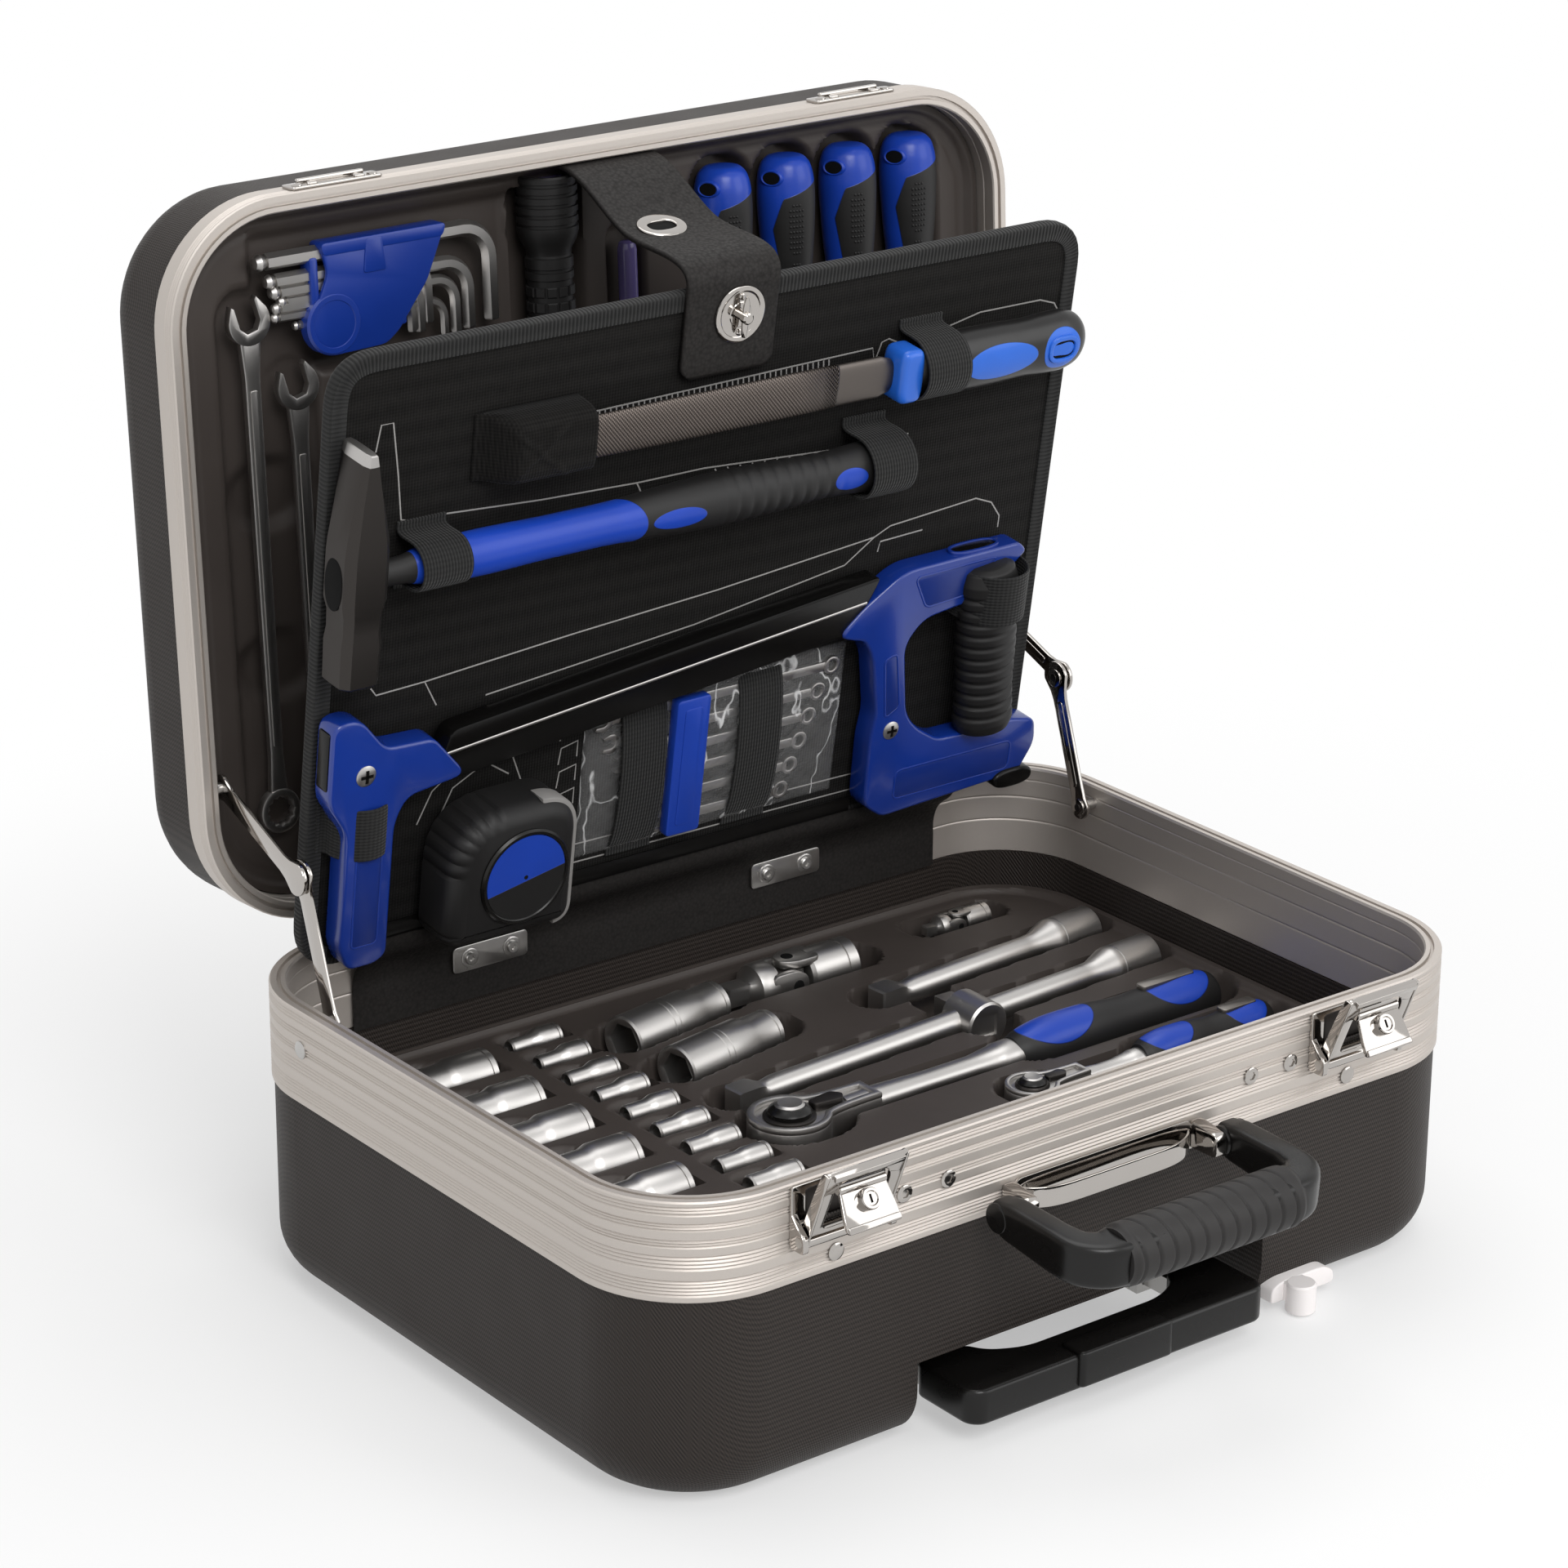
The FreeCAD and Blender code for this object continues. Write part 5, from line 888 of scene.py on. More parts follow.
def make_lid_tray():
    """The lid tray: a flat field let down round every tool, with a fine line beside the frame."""
    x, y, edge = inside_grid(TRAY_INSET, 260, 130)
    y = y - LID_AXIS[0]
    top = np.zeros(x.shape)
    pockets = [((at_x, at_y + 12), (at_x, at_y + 84), 14.5, -12) for at_x, at_y in DRIVER_AT]
    pockets += [((at_x, at_y + 84), (at_x, at_y + DRIVER_END), 6, -8) for at_x, at_y in DRIVER_AT]
    pockets += [(TESTER_AT, (TESTER_AT[0], TESTER_AT[1] + TESTER_LENGTH), 6.5, -8),
                ((TORCH_AT[0], TORCH_AT[1] + 6), (TORCH_AT[0], TORCH_AT[1] + 118), 15.5, -13)]
    pockets += [((at_x, at_y), (at_x, SPANNER_RING_Y), 10.5, -6) for at_x, at_y in LONG_SPANNERS]
    for start, end, radius, floor in pockets:
        top = sunk(top, rod_distance(x, y, start, end), radius, radius + 5, floor)
    holder = box_distance(x, y, (-176, -308), (-50, -252))
    top = sunk(top, holder, 1, 7, -5)
    for middle in (-196, -118):
        scoop = np.hypot((x + 173.7) / 27, (y - middle) / 19)
        top = sunk(top, scoop, 0.55, 1.0, -11)
    shelf = 3.0 * step(5.5, 3.0, edge) - 0.9 * np.exp(-((edge - 9.0) / 0.7) ** 2)
    top = np.where(edge < 12, np.maximum(top, -0.5) * step(12, 10, edge) + top * step(10, 12, edge) + shelf,
                   top)
    shape = Shape(ON_LID)
    tray_solid(shape, x, y, LID_FACE - top, LID_TRAY_BACK)
    make_piece("moulded_lid_tray", shape, ["tray_grey"], "lid", ["lid_tray"], TRAY_SHARP)


def driver_patch(at, angle):
    """Black pads round a screwdriver's grip, with a blue spine that narrows and widens again."""
    share = at / DRIVER_GRIP
    turn = off_angle(angle, DRIVER_SPINE)
    spine = np.interp(share, [0, 0.2, 0.36, 0.58, 0.72, 0.86], [1.1, 0.85, 0.42, 0.66, 0.5, -0.3])
    cap = 0.17 + 0.05 * np.cos(turn)
    return np.minimum(np.minimum(turn - spine, 8 * (share - cap)), 12 * (0.96 - share))


def make_screwdrivers():
    """Screwdrivers with waisted grips, pads, hanging holes and flat tips, and a clear tester."""
    shape = Shape(ON_LID)
    keys = [(0, 4.5), (0.6, 8.0), (3, 10.8), (8, 12.7), (15, 13.5), (30, 13.3), (46, 12.2), (58, 11.2),
            (66, 11.9), (73, 11.4), (80, 8.6), (86, 7.4), (92, 6.6)]
    curve = flow(keys, 110)
    for x, y in DRIVER_AT:
        lathe(shape, (x, y, LID_TOOL_Z), (0, 1, 0), curve, segments=72, patch=driver_patch)
        blade = [(91, 3.6), (92.4, 3.0), (176, 3.0), (179, 3.2), (DRIVER_END - 1, 2.2, 4),
                 (DRIVER_END, 1.4, 4)]
        lathe(shape, (x, y, LID_TOOL_Z), (0, 1, 0), blade, segments=24, shade=1)
        out = np.array([-math.cos(DRIVER_HOLE), -0.1, math.sin(DRIVER_HOLE)])
        hole = np.array([x, y + 10.5, LID_TOOL_Z]) + 12.7 * out
        # A blue rim round each hanging hole, and in the hole a near-black disc of painted shade in place of
        # an opening.
        for rows, shade in (([(-1.0, 4.6), (0.2, 4.6), (0.7, 3.9), (0.3, 3.2)], 5),
                            ([(0, 3.4), (0.5, 3.4)], 2)):
            lathe(shape, hole, out, rows, (1.3, 0.85), 28, shade, up=(0, 1, 0))
        for across, down in DRIVER_DOTS:
            turn = DRIVER_SPINE - 1.3 + 0.115 * across
            along = 22 + 2.5 * down + (3.0 if down > 9 else 0.0)
            radius = np.interp(along, curve[:, 0], curve[:, 1])
            out = np.array([-math.cos(turn), 0, math.sin(turn)])
            at = np.array([x, y + along, LID_TOOL_Z]) + out * (radius - 0.2)
            lathe(shape, at, out, [(0, 0.75), (0.45, 0.6), (0.6, 0.3)], segments=8, shade=3, up=(0, 1, 0))
    x, y = TESTER_AT
    body = [(0, 2.6), (0.8, 3.8), (4, 4.5), (40, 4.5), (43, 3.9), (47, 3.9), (49, 4.5), (54, 4.2), (57, 2.6)]
    lathe(shape, (x, y, LID_TOOL_Z), (0, 1, 0), body, segments=24, shade=4)
    core = [(5, 0.8), (6, 1.6), (34, 1.6), (35, 2.6), (50, 2.6), (51, 1.5), (TESTER_LENGTH, 1.5)]
    lathe(shape, (x, y, LID_TOOL_Z), (0, 1, 0), core, segments=16, shade=1)
    finishes = ["driver_two_tone", "tool_chrome", "dark_hole", "grip_black", "violet_clear", "tool_blue"]
    make_piece("screwdrivers_and_tester", shape, finishes, "lid", ["screwdrivers"])


def make_torch():
    """A torch: ribbed head with a bezel and lens, a body with rings of grip blocks, and a tail switch."""
    x, y = TORCH_AT
    shape = Shape(ON_LID)
    head = [(3.4, 9.5), (0.6, 10.6), (0, 11.6), (0, 13.4), (0.8, 14)]
    for groove in 3.0 + 4.6 * np.arange(5):
        head += [(groove, 14), (groove + 0.3, 13.2), (groove + 1.6, 13.2), (groove + 1.9, 14)]
    head += [(25.6, 14), (30, 12.6), (TORCH_HEAD, 10.4), (36, 10.2)]
    lathe(shape, (x, y, LID_TOOL_Z), (0, 1, 0), head)
    body = [(35, 10.0), (37, 10.2), (37.5, 11), (42, 11), (42.4, 10.2), (43.6, 10.2), (44, 11), (47, 11),
            (47.4, 10.2), (100, 10.2), (100.4, 11), (104, 11), (104.4, 10.2), (106, 10.2), (106.4, 11),
            (TORCH_END - 3, 11), (TORCH_END - 1, 10.2), (TORCH_END - 1, 5), (TORCH_END, 4.2)]
    lathe(shape, (x, y, LID_TOOL_Z), (0, 1, 0), body)
    for row in range(7):
        for turn in np.arange(12) * math.pi / 6:
            out = np.array([math.cos(turn), 0, math.sin(turn)])
            at = np.array([x, y + 52.5 + 7.0 * row, LID_TOOL_Z]) + out * 9.6
            lathe(shape, at, out, [(0, 3.2, 4), (1.0, 3.2, 4), (1.4, 2.6, 4)], segments=8, up=(0, 1, 0))
    lathe(shape, (x, y + 2.0, LID_TOOL_Z), (0, 1, 0), [(0, 9.2), (0.8, 9.2), (1.2, 8.6)], shade=1)
    make_piece("black_torch", shape, ["grip_black", "violet_clear"], "lid", ["torch"])


def bent_key(shape, start_x, y, end_x, thick, leg):
    """A hexagon key: a ball end, a six-sided section along X, round a bend and along a leg."""
    bend = 2.2 * thick
    turn = np.linspace(0, math.pi / 2, 8)
    corner = np.stack([end_x - bend + bend * np.sin(turn), y + bend - bend * np.cos(turn)], -1)
    flat = np.concatenate([[(start_x, y), (start_x + 4, y)], corner,
                           [(end_x, y + leg - 1), (end_x, y + leg)]])
    path = raised(flat, HEX_Z)
    section = np.repeat(circle(0, 0, 0.577 * thick, 6)[None], len(path), axis=0)
    section[-1] *= 0.8
    carried(shape, path, section)
    ball = [(-0.9, 0.16), (-0.8, 0.4), (-0.45, 0.58), (-0.1, 0.42), (0, 0.36), (0.3, 0.5)]
    lathe(shape, (start_x, y, HEX_Z), (1, 0, 0), np.multiply(ball, thick), segments=16)


def make_hex_keys():
    """The hexagon keys in their holder: a fan of bent bars, a folded clip with ribs, and a round boss."""
    shape = Shape(ON_LID)
    for y, start_x, end_x, thick, leg in HEX_KEYS:
        bent_key(shape, start_x, y, end_x, thick, leg)
    make_piece("bent_hex_keys", shape, ["tool_chrome"], "lid", ["hex_keys"])
    shape = Shape(ON_LID)
    sheet = rounded([(-151, -306), (-86, -306), (-97, -282), (-113, -262), (-120, -257), (-148, -256),
                     (-159, -264), (-157, -273), (-148, -292)], 3.0)
    slab(shape, sheet, 3.6, 6.0, 0.8)
    slab(shape, rounded([(-151, -306), (-86, -306), (-88, -300), (-150, -300)], 2.4), 3.2, 13.8, 0.9)
    slab(shape, rounded([(-128, -305), (-120, -305), (-118, -290), (-130, -290)], 1.6), 3.0, 4.4, 0.4)
    for x in (-154, -110):
        slab(shape, block((x - 2, x + 2), (-300, -264), 1.4), 5.0, 13.6, 0.7)
    boss = [(0, 13.2), (0.8, 13.8), (6.0, 13.8), (7.0, 12.8), (7.0, 10.6), (6.4, 10.2), (6.4, 0.6)]
    lathe(shape, (-146, -270, 10.2), (0, 0, -1), boss)
    make_piece("hex_key_holder", shape, ["holder_blue"], "lid", ["hex_holder"])


def spanner_jaw(x, y, radius, gap, lean):
    """An open jaw, mouth up: two horns on a round head, leaning to one side."""
    arc = np.linspace(-0.32, math.pi + 0.32, 22)
    head = np.stack([radius * np.cos(-arc), radius * np.sin(-arc)], -1)
    mouth = np.array([(-gap - 1.4, 0.94 * radius), (-gap, 0.8 * radius), (-gap, -0.1 * radius),
                      (-0.5 * gap, -0.42 * radius), (0.5 * gap, -0.42 * radius), (gap, -0.1 * radius),
                      (gap, 0.8 * radius), (gap + 1.4, 0.94 * radius)])
    flat = np.concatenate([head, mouth])
    turn = math.radians(lean)
    spin = np.array([(math.cos(turn), math.sin(turn)), (-math.sin(turn), math.cos(turn))])
    return flat @ spin * (1, -1) + (x, y)


def make_long_spanners():
    """Two combination spanners: an open jaw leaning to one side, a waisted shank and a twelve-point ring."""
    shape = Shape(ON_LID)
    for x, y in LONG_SPANNERS:
        slab(shape, spanner_jaw(x, y, 10.5, 5.2, 15), 9.2, 13.8, 0.8)
        neck, foot = y + 24, SPANNER_RING_Y - 26
        shank = rounded([(x - 5.6, y + 6), (x + 5.6, y + 6), (x + 4.0, neck), (x + 3.4, foot),
                         (x + 4.6, foot + 19), (x - 4.6, foot + 19), (x - 3.4, foot), (x - 4.0, neck)], 3.0)
        slab(shape, shank, 9.6, 13.4, 1.2)
        rib = rounded([(x - 1.9, neck + 6), (x + 1.9, neck + 6), (x + 1.7, foot - 4), (x - 1.7, foot - 4)],
                      1.2)
        slab(shape, rib, 9.1, 11.0, 0.3)
        rim = circle(x, SPANNER_RING_Y, 10.2, 48)
        points = 6.4 + 0.5 * np.cos(12 * np.arange(48) * 2 * math.pi / 48)
        hole = hole_in(rim, x, SPANNER_RING_Y, points[:, None])
        slab(shape, rim, 9.0, 14.0, 1.0, hole=hole)
    make_piece("long_spanners", shape, ["tool_chrome"], "lid", ["spanners"])


# Where the panel's tools lie, about the panel's axis with the panel shut: reach is a negative y.
FILE_Y, FILE_Z, FILE_HEEL = -241, -24.1, 88
HAMMER_HEAD_X, HAMMER_Y, HAMMER_Z = -195, -198, -24.6
HAMMER_NECK, HAMMER_JOIN, HAMMER_END = -183.2, -58.2, 101.8
SAW_LOW, SAW_HIGH = -26.6, -13.8
TAPE_BACK, LABEL_AT, LABEL_FACE = -15.4, (-108, -42), -44.0
SET_X, SET_Y, SET_PITCH, SET_COUNT, SET_LOW, SET_HIGH = (-55, 84.8), -62, 12, 6, -15.4, -11.8
BAND_HALF, BAND_THICK = 12.5, 1.3
# The file's pocket: where its mouth and its end are, half its width, and where its folds cross.
POCKET_X, POCKET_HALF, POCKET_FOLD = (-131, -78), 15.4, -108
BAG_X, BAG_Y = (-58, 90), (-101, -23)
# On a form turned along the board, the angle of the side that faces out of it.
OUTWARD = -math.pi / 2
# Printed lines on the board, as points across it and along its reach.
PRINTED = [[(-180, 248), (-178, 260), (-172, 260), (-168, 236), (-165, 214), (-158, 212)],
           [(-153, 213), (-93, 209), (-41, 207), (-4, 207), (69, 202), (104, 203), (113, 202), (111, 192)],
           [(-41, 207), (-36, 198)], [(-175, 136), (-172, 132), (-147, 133), (-140, 120)],
           [(-147, 133), (-70, 139), (11, 144), (100, 152), (109, 156), (160, 160), (170, 156), (176, 148),
            (176, 142)], [(-114, 119), (-68, 123), (-1, 129), (84, 141), (100, 152)],
           [(103, 144), (104, 149), (129, 150)], [(-71, 246), (86, 249), (88, 240)],
           [(88, 242), (91, 251), (95, 252), (101, 249)],
           [(129, 252), (148, 256), (184, 256), (193, 253), (198, 246)], [(133, 246), (147, 247)],
           [(-116, 247), (-74, 249)], [(-146, 62), (-139, 77), (-127, 86), (-111, 91), (-98, 88), (-91, 71)],
           [(-134, 63), (-128, 76), (-111, 85), (-98, 76)], [(-60, 30), (117, 27.4)],
           [(-60, 20.4), (120, 19)], ]
PRINTED += [[(-71, low), (-70, low + 8), (-61, low + 10), (-61, low + 2)] for low in (50, 62, 74, 86)]
PRINTED += [[(x, 247 + 0.015 * x), (x + 0.8, 241)] for x in range(-68, 62, 3)]
PRINTED += [[(x, 205.6 - 0.05 * x), (x + 5, 198 - 0.05 * x)] for x in range(2, 68, 7)]


def make_panel_board():
    """The cloth-covered board with its printed lines, and a ribbed tape folded over its edge."""
    flat = block((-PANEL_HALF, PANEL_HALF), (-PANEL_FAR, -PANEL_START), 22, 9)
    shape = Shape(ON_PANEL)
    slab(shape, flat, PANEL_FACE, PANEL_BACK, 0.5)
    for keys in PRINTED:
        path = raised(np.multiply(keys, (1, -1)), PANEL_FACE - 0.05)
        carried(shape, path, oval(0.75, 0.16, 4, 8), shade=1)
    board = make_piece("cloth_board", shape, ["panel_cloth", "print_grey"], "panel",
                       ["panel_board"])
    shape = Shape(ON_PANEL)
    turn = np.linspace(-math.pi / 2, math.pi / 2, 9)
    half = (PANEL_BACK - PANEL_FACE) / 2 + 1.0
    bulge = np.column_stack([-0.9 * np.cos(turn), half * np.sin(turn)])
    outer = np.concatenate([[(7.6, 0.2 - half), (6.6, -half)], bulge, [(6.6, half), (7.6, half - 0.2)]])
    inner = np.array([(7.8, half - 1.05), (0.05, half - 1.05), (0.05, 1.05 - half), (7.8, 1.05 - half)])
    profile = np.concatenate([outer, inner, outer[:1]])
    middle = (PANEL_FACE + PANEL_BACK) / 2
    rows = [raised(drawn_in(flat, inset), middle + rise) for inset, rise in profile]
    ring = np.stack([np.concatenate([row, row[:1]]) for row in rows])
    run = lengths(np.concatenate([flat, flat[:1]]))
    uv = np.stack(np.meshgrid(run * 0.035, lengths(profile) * 0.004), -1)
    shape.grid(ring, uv=uv)
    tape = make_piece("bound_edge", shape, ["elastic_black"], "panel", ["panel_binding"])


def ribbon(shape, path, half, thick, side):
    """A flat strip carried along a path: a thin section with rounded edges, mapped across and along."""
    section = oval(2 * half, thick, 6.0, 28)
    run = lengths(path)
    uv = np.stack(np.broadcast_arrays(section[None, :, 0] * 0.045, run[:, None] * 0.012), -1)
    ahead = unit(np.gradient(path, axis=0))
    side = np.broadcast_to(np.asarray(side, float), ahead.shape)
    top = np.cross(side, ahead)
    points = path[:, None] + section[None, :, :1] * side[:, None] + section[None, :, 1:] * top[:, None]
    shape.grid(points, rings=True, caps=True, uv=uv)


def over_tool(half, top):
    """A band's path over a tool, seen along the tool: flat tails on the board and a rounded crown."""
    base = PANEL_FACE - 0.9
    turn = np.linspace(math.pi, 0, 15)
    crown = min(half, base - top)
    arc = np.column_stack([half * np.cos(turn), top + crown * (1 - np.sin(turn))])
    tail = np.array([(-half - 5.0, base), (-half - 2.0, base)])
    return flow(np.concatenate([tail, arc, tail[::-1] * (-1, 1)]), 60)


def make_panel_bands():
    """Elastic bands over the tools, each sewn flat to the board, and the file's folded pocket."""
    shape = Shape(ON_PANEL)
    crossing = [(112, FILE_Y, 14.6, -36.8), (-155, HAMMER_Y, 10.6, -34.9), (84.8, HAMMER_Y, 14.2, -38.9),
                (-28.1, SET_Y, 37.0, -18.8), (37.9, SET_Y, 37.0, -18.8)]
    for x, y, half, top in crossing:
        path = over_tool(half, top)
        ribbon(shape, np.column_stack([np.full(len(path), x), path + (y, 0)]), BAND_HALF, BAND_THICK,
               (1, 0, 0))
    for x, y, half, top in ((-180.5, -74, 14.2, -28.4), (165, -118, 17.4, -40.2)):
        path = over_tool(half, top) + (x, 0)
        ribbon(shape, laid("xzy")(raised(path, y)), BAND_HALF, BAND_THICK, (0, 1, 0))
    bands = make_piece("elastic_bands", shape, ["elastic_black"], "panel", ["panel_bands"])
    shape = Shape(ON_PANEL)
    x, across = np.meshgrid(np.linspace(*POCKET_X, 60), np.linspace(-1, 1, 41))
    y = POCKET_HALF * across
    fold = sum(np.exp(-((x - POCKET_FOLD + slant * y) / 2.4) ** 2) for slant in (-1.2, 1.2))
    mouth = step(POCKET_X[0], POCKET_X[0] + 15, x)
    rise = 0.7 + (16.6 + 0.7 * fold) * mouth * np.cbrt(1 - across ** 6)
    shape.grid(np.stack([x, FILE_Y + y, PANEL_FACE - rise], -1))
    pocket = make_piece("cloth_pocket", shape, ["panel_cloth"], "panel", two_sided=1.0)


def file_patch(at, angle):
    """Two blue spots on the file's grip."""
    turn = off_angle(angle, OUTWARD)
    return np.maximum(spot(at, 57, 21, turn, 0.6), spot(at, 93, 11, turn, 0.75))


def make_file():
    """A half-round file: a toothed blade with a plain heel, a blue guard, and a black grip with a hole."""
    shape = Shape(ON_PANEL)
    at = np.array([-117, -116, -40, 30, 55, 56, 80, 86, FILE_HEEL])
    half = np.array([9.0, 9.6, 10.5, 10.5, 10.4, 10.2, 10.0, 8.0, 5.0])
    thick = np.array([3.6, 4.4, 5.0, 5.0, 5.0, 4.8, 4.8, 4.6, 4.2])
    section = oval(2, 2, 2.6, 36)
    points = np.stack([np.broadcast_to(at[:, None], (len(at), 36)), FILE_Y + half[:, None] * section[:, 0],
                       FILE_Z + thick[:, None] / 2 * section[:, 1]], -1)
    uv = np.stack([points[..., 1] - FILE_Y, points[..., 0]], -1) * 0.011
    shape.grid(points[:5], rings=True, caps=True, uv=uv[:5])
    shape.grid(points[4:], rings=True, caps=True, shade=1)
    make_piece("toothed_blade", shape, ["file_steel", "file_heel"], "panel", ["file_blade"])
    shape = Shape(ON_PANEL)
    guard = oval(14, 26, 4.0, 36) + (FILE_HEEL + 6, FILE_Y)
    slab(shape, guard, FILE_Z - 8.6, FILE_Z + 7.6, 3.4, 6, shade=1)
    keys = [(12, 7.0), (16, 9.4), (24, 10.9), (40, 11.5), (60, 11.4), (76, 11.0), (90, 11.5), (100, 11.2),
            (107, 9.0), (111, 5.0), (112, 2.0)]
    start = (FILE_HEEL, FILE_Y, FILE_Z)
    lathe(shape, start, (1, 0, 0), flow(keys, 100), across=(1.28, 0.92), segments=72, patch=file_patch)
    hole = oval(13, 8.4, 3.0, 36) + (FILE_HEEL + 93, FILE_Y)
    slab(shape, drawn_in(hole, -2.4), FILE_Z - 11.4, FILE_Z - 7.0, 0.8, hole=hole, shade=1)
    # Painted shade: the hanging hole is filled with a near-black plug in place of being open.
    slab(shape, hole, FILE_Z - 10.4, FILE_Z - 7.0, 0.2, shade=2)
    finishes = ["file_two_tone", "file_guard", "dark_hole"]
    make_piece("file_grip", shape, finishes, "panel", ["file_handle"])


def hammer_patch(at, angle):
    """Blue on the hammer's neck, with a rounded end, and two blue spots on its grip."""
    turn = off_angle(angle, OUTWARD)
    neck = np.clip(0.1 * (HAMMER_JOIN - HAMMER_NECK + 8 * np.cos(turn) - at), -1, 1)
    neck = np.minimum(neck, 0.2 * (at - 15))
    spots = np.maximum(spot(at, 150, 14, turn, 0.42), spot(at, 246, 9, turn, 0.5))
    return np.maximum(neck, spots)


def make_hammer():
    """An engineer's hammer: a faceted head with a square face and a wedge peen, and a two-colour handle."""
    shape = Shape(ON_PANEL)
    at = np.array([-150.6, -151.6, -170, -176, -184, -190, -212, -217, -236, -254, -258.6, -259.2])
    half = np.array([9.0, 10.0, 10.4, 9.6, 9.8, 11.4, 11.4, 11.0, 7.6, 3.6, 2.6, 2.0])
    deep = np.array([9.4, 10.4, 10.8, 10.2, 10.4, 11.4, 11.4, 11.4, 11.2, 11.0, 10.8, 10.2])
    shift = np.interp(at, [-259, -217], [-1.5, 0])
    section = oval(2, 2, 9.0, 40)
    cut = np.maximum(np.abs(section).sum(axis=1) - 1.62, 0) / 2
    section = section - np.sign(section) * cut[:, None]
    points = np.stack([HAMMER_HEAD_X + shift[:, None] + half[:, None] * section[:, 0],
                       np.broadcast_to(at[:, None], (len(at), 40)), HAMMER_Z + deep[:, None] * section[:, 1]],
                      -1)
    shape.grid(points[:-2], rings=True, caps=True)
    shape.grid(points[-3:], rings=True, caps=True, shade=1)
    eye_side = laid("zyx", (HAMMER_HEAD_X, HAMMER_Y, HAMMER_Z), (-1, 1, 1))
    slab(shape, oval(13, 24, 2.2, 36), 9, 11.46, 0.1, to=eye_side, shade=2)
    finishes = ["dark_steel", "tool_chrome", "dark_hole"]
    make_piece("faceted_hammer_head", shape, finishes, "panel", ["hammer_head"])
    shape = Shape(ON_PANEL)
    keys = [(0, 6.0), (12, 6.4), (20, 8.2), (28, 9.2), (90, 9.6), (122, 9.8), (132, 10.4), (150, 11.4),
            (180, 12.4), (215, 11.6), (240, 10.8), (262, 12.0), (274, 13.0), (281, 12.2),
            (HAMMER_END - HAMMER_NECK, 8.0)]
    curve = flow(keys, 240)
    at = curve[:, 0]
    ripple = 0.6 * np.sin(at * 2 * math.pi / 7.4) * step(172, 182, at) * step(246, 236, at)
    curve[:, 1] += np.minimum(ripple, 0)
    lathe(shape, (HAMMER_NECK, HAMMER_Y, HAMMER_Z), (1, 0, 0), curve, across=(1.0, 0.9), segments=72,
          patch=hammer_patch)
    make_piece("hammer_grip", shape, ["grip_two_tone"], "panel", ["hammer_handle"])


def cross_screw(shape, x, y, z, radius, shade, slot_shade):
    """A domed screw head facing out of the panel, its crossed recess drawn as a dark raised cross: painted
    shade.
    """
    rows = [(0, radius), (0.9, radius), (1.6, 0.75 * radius), (1.9, 0.3 * radius)]
    lathe(shape, (x, y, z), (0, 0, -1), rows, segments=28, shade=shade)
    for across, down in ((0.62, 0.16), (0.16, 0.62)):
        mark = block((x - across * radius, x + across * radius), (y - down * radius, y + down * radius), 0.1)
        slab(shape, mark, z - 1.95, z - 1.0, 0.05, shade=slot_shade)


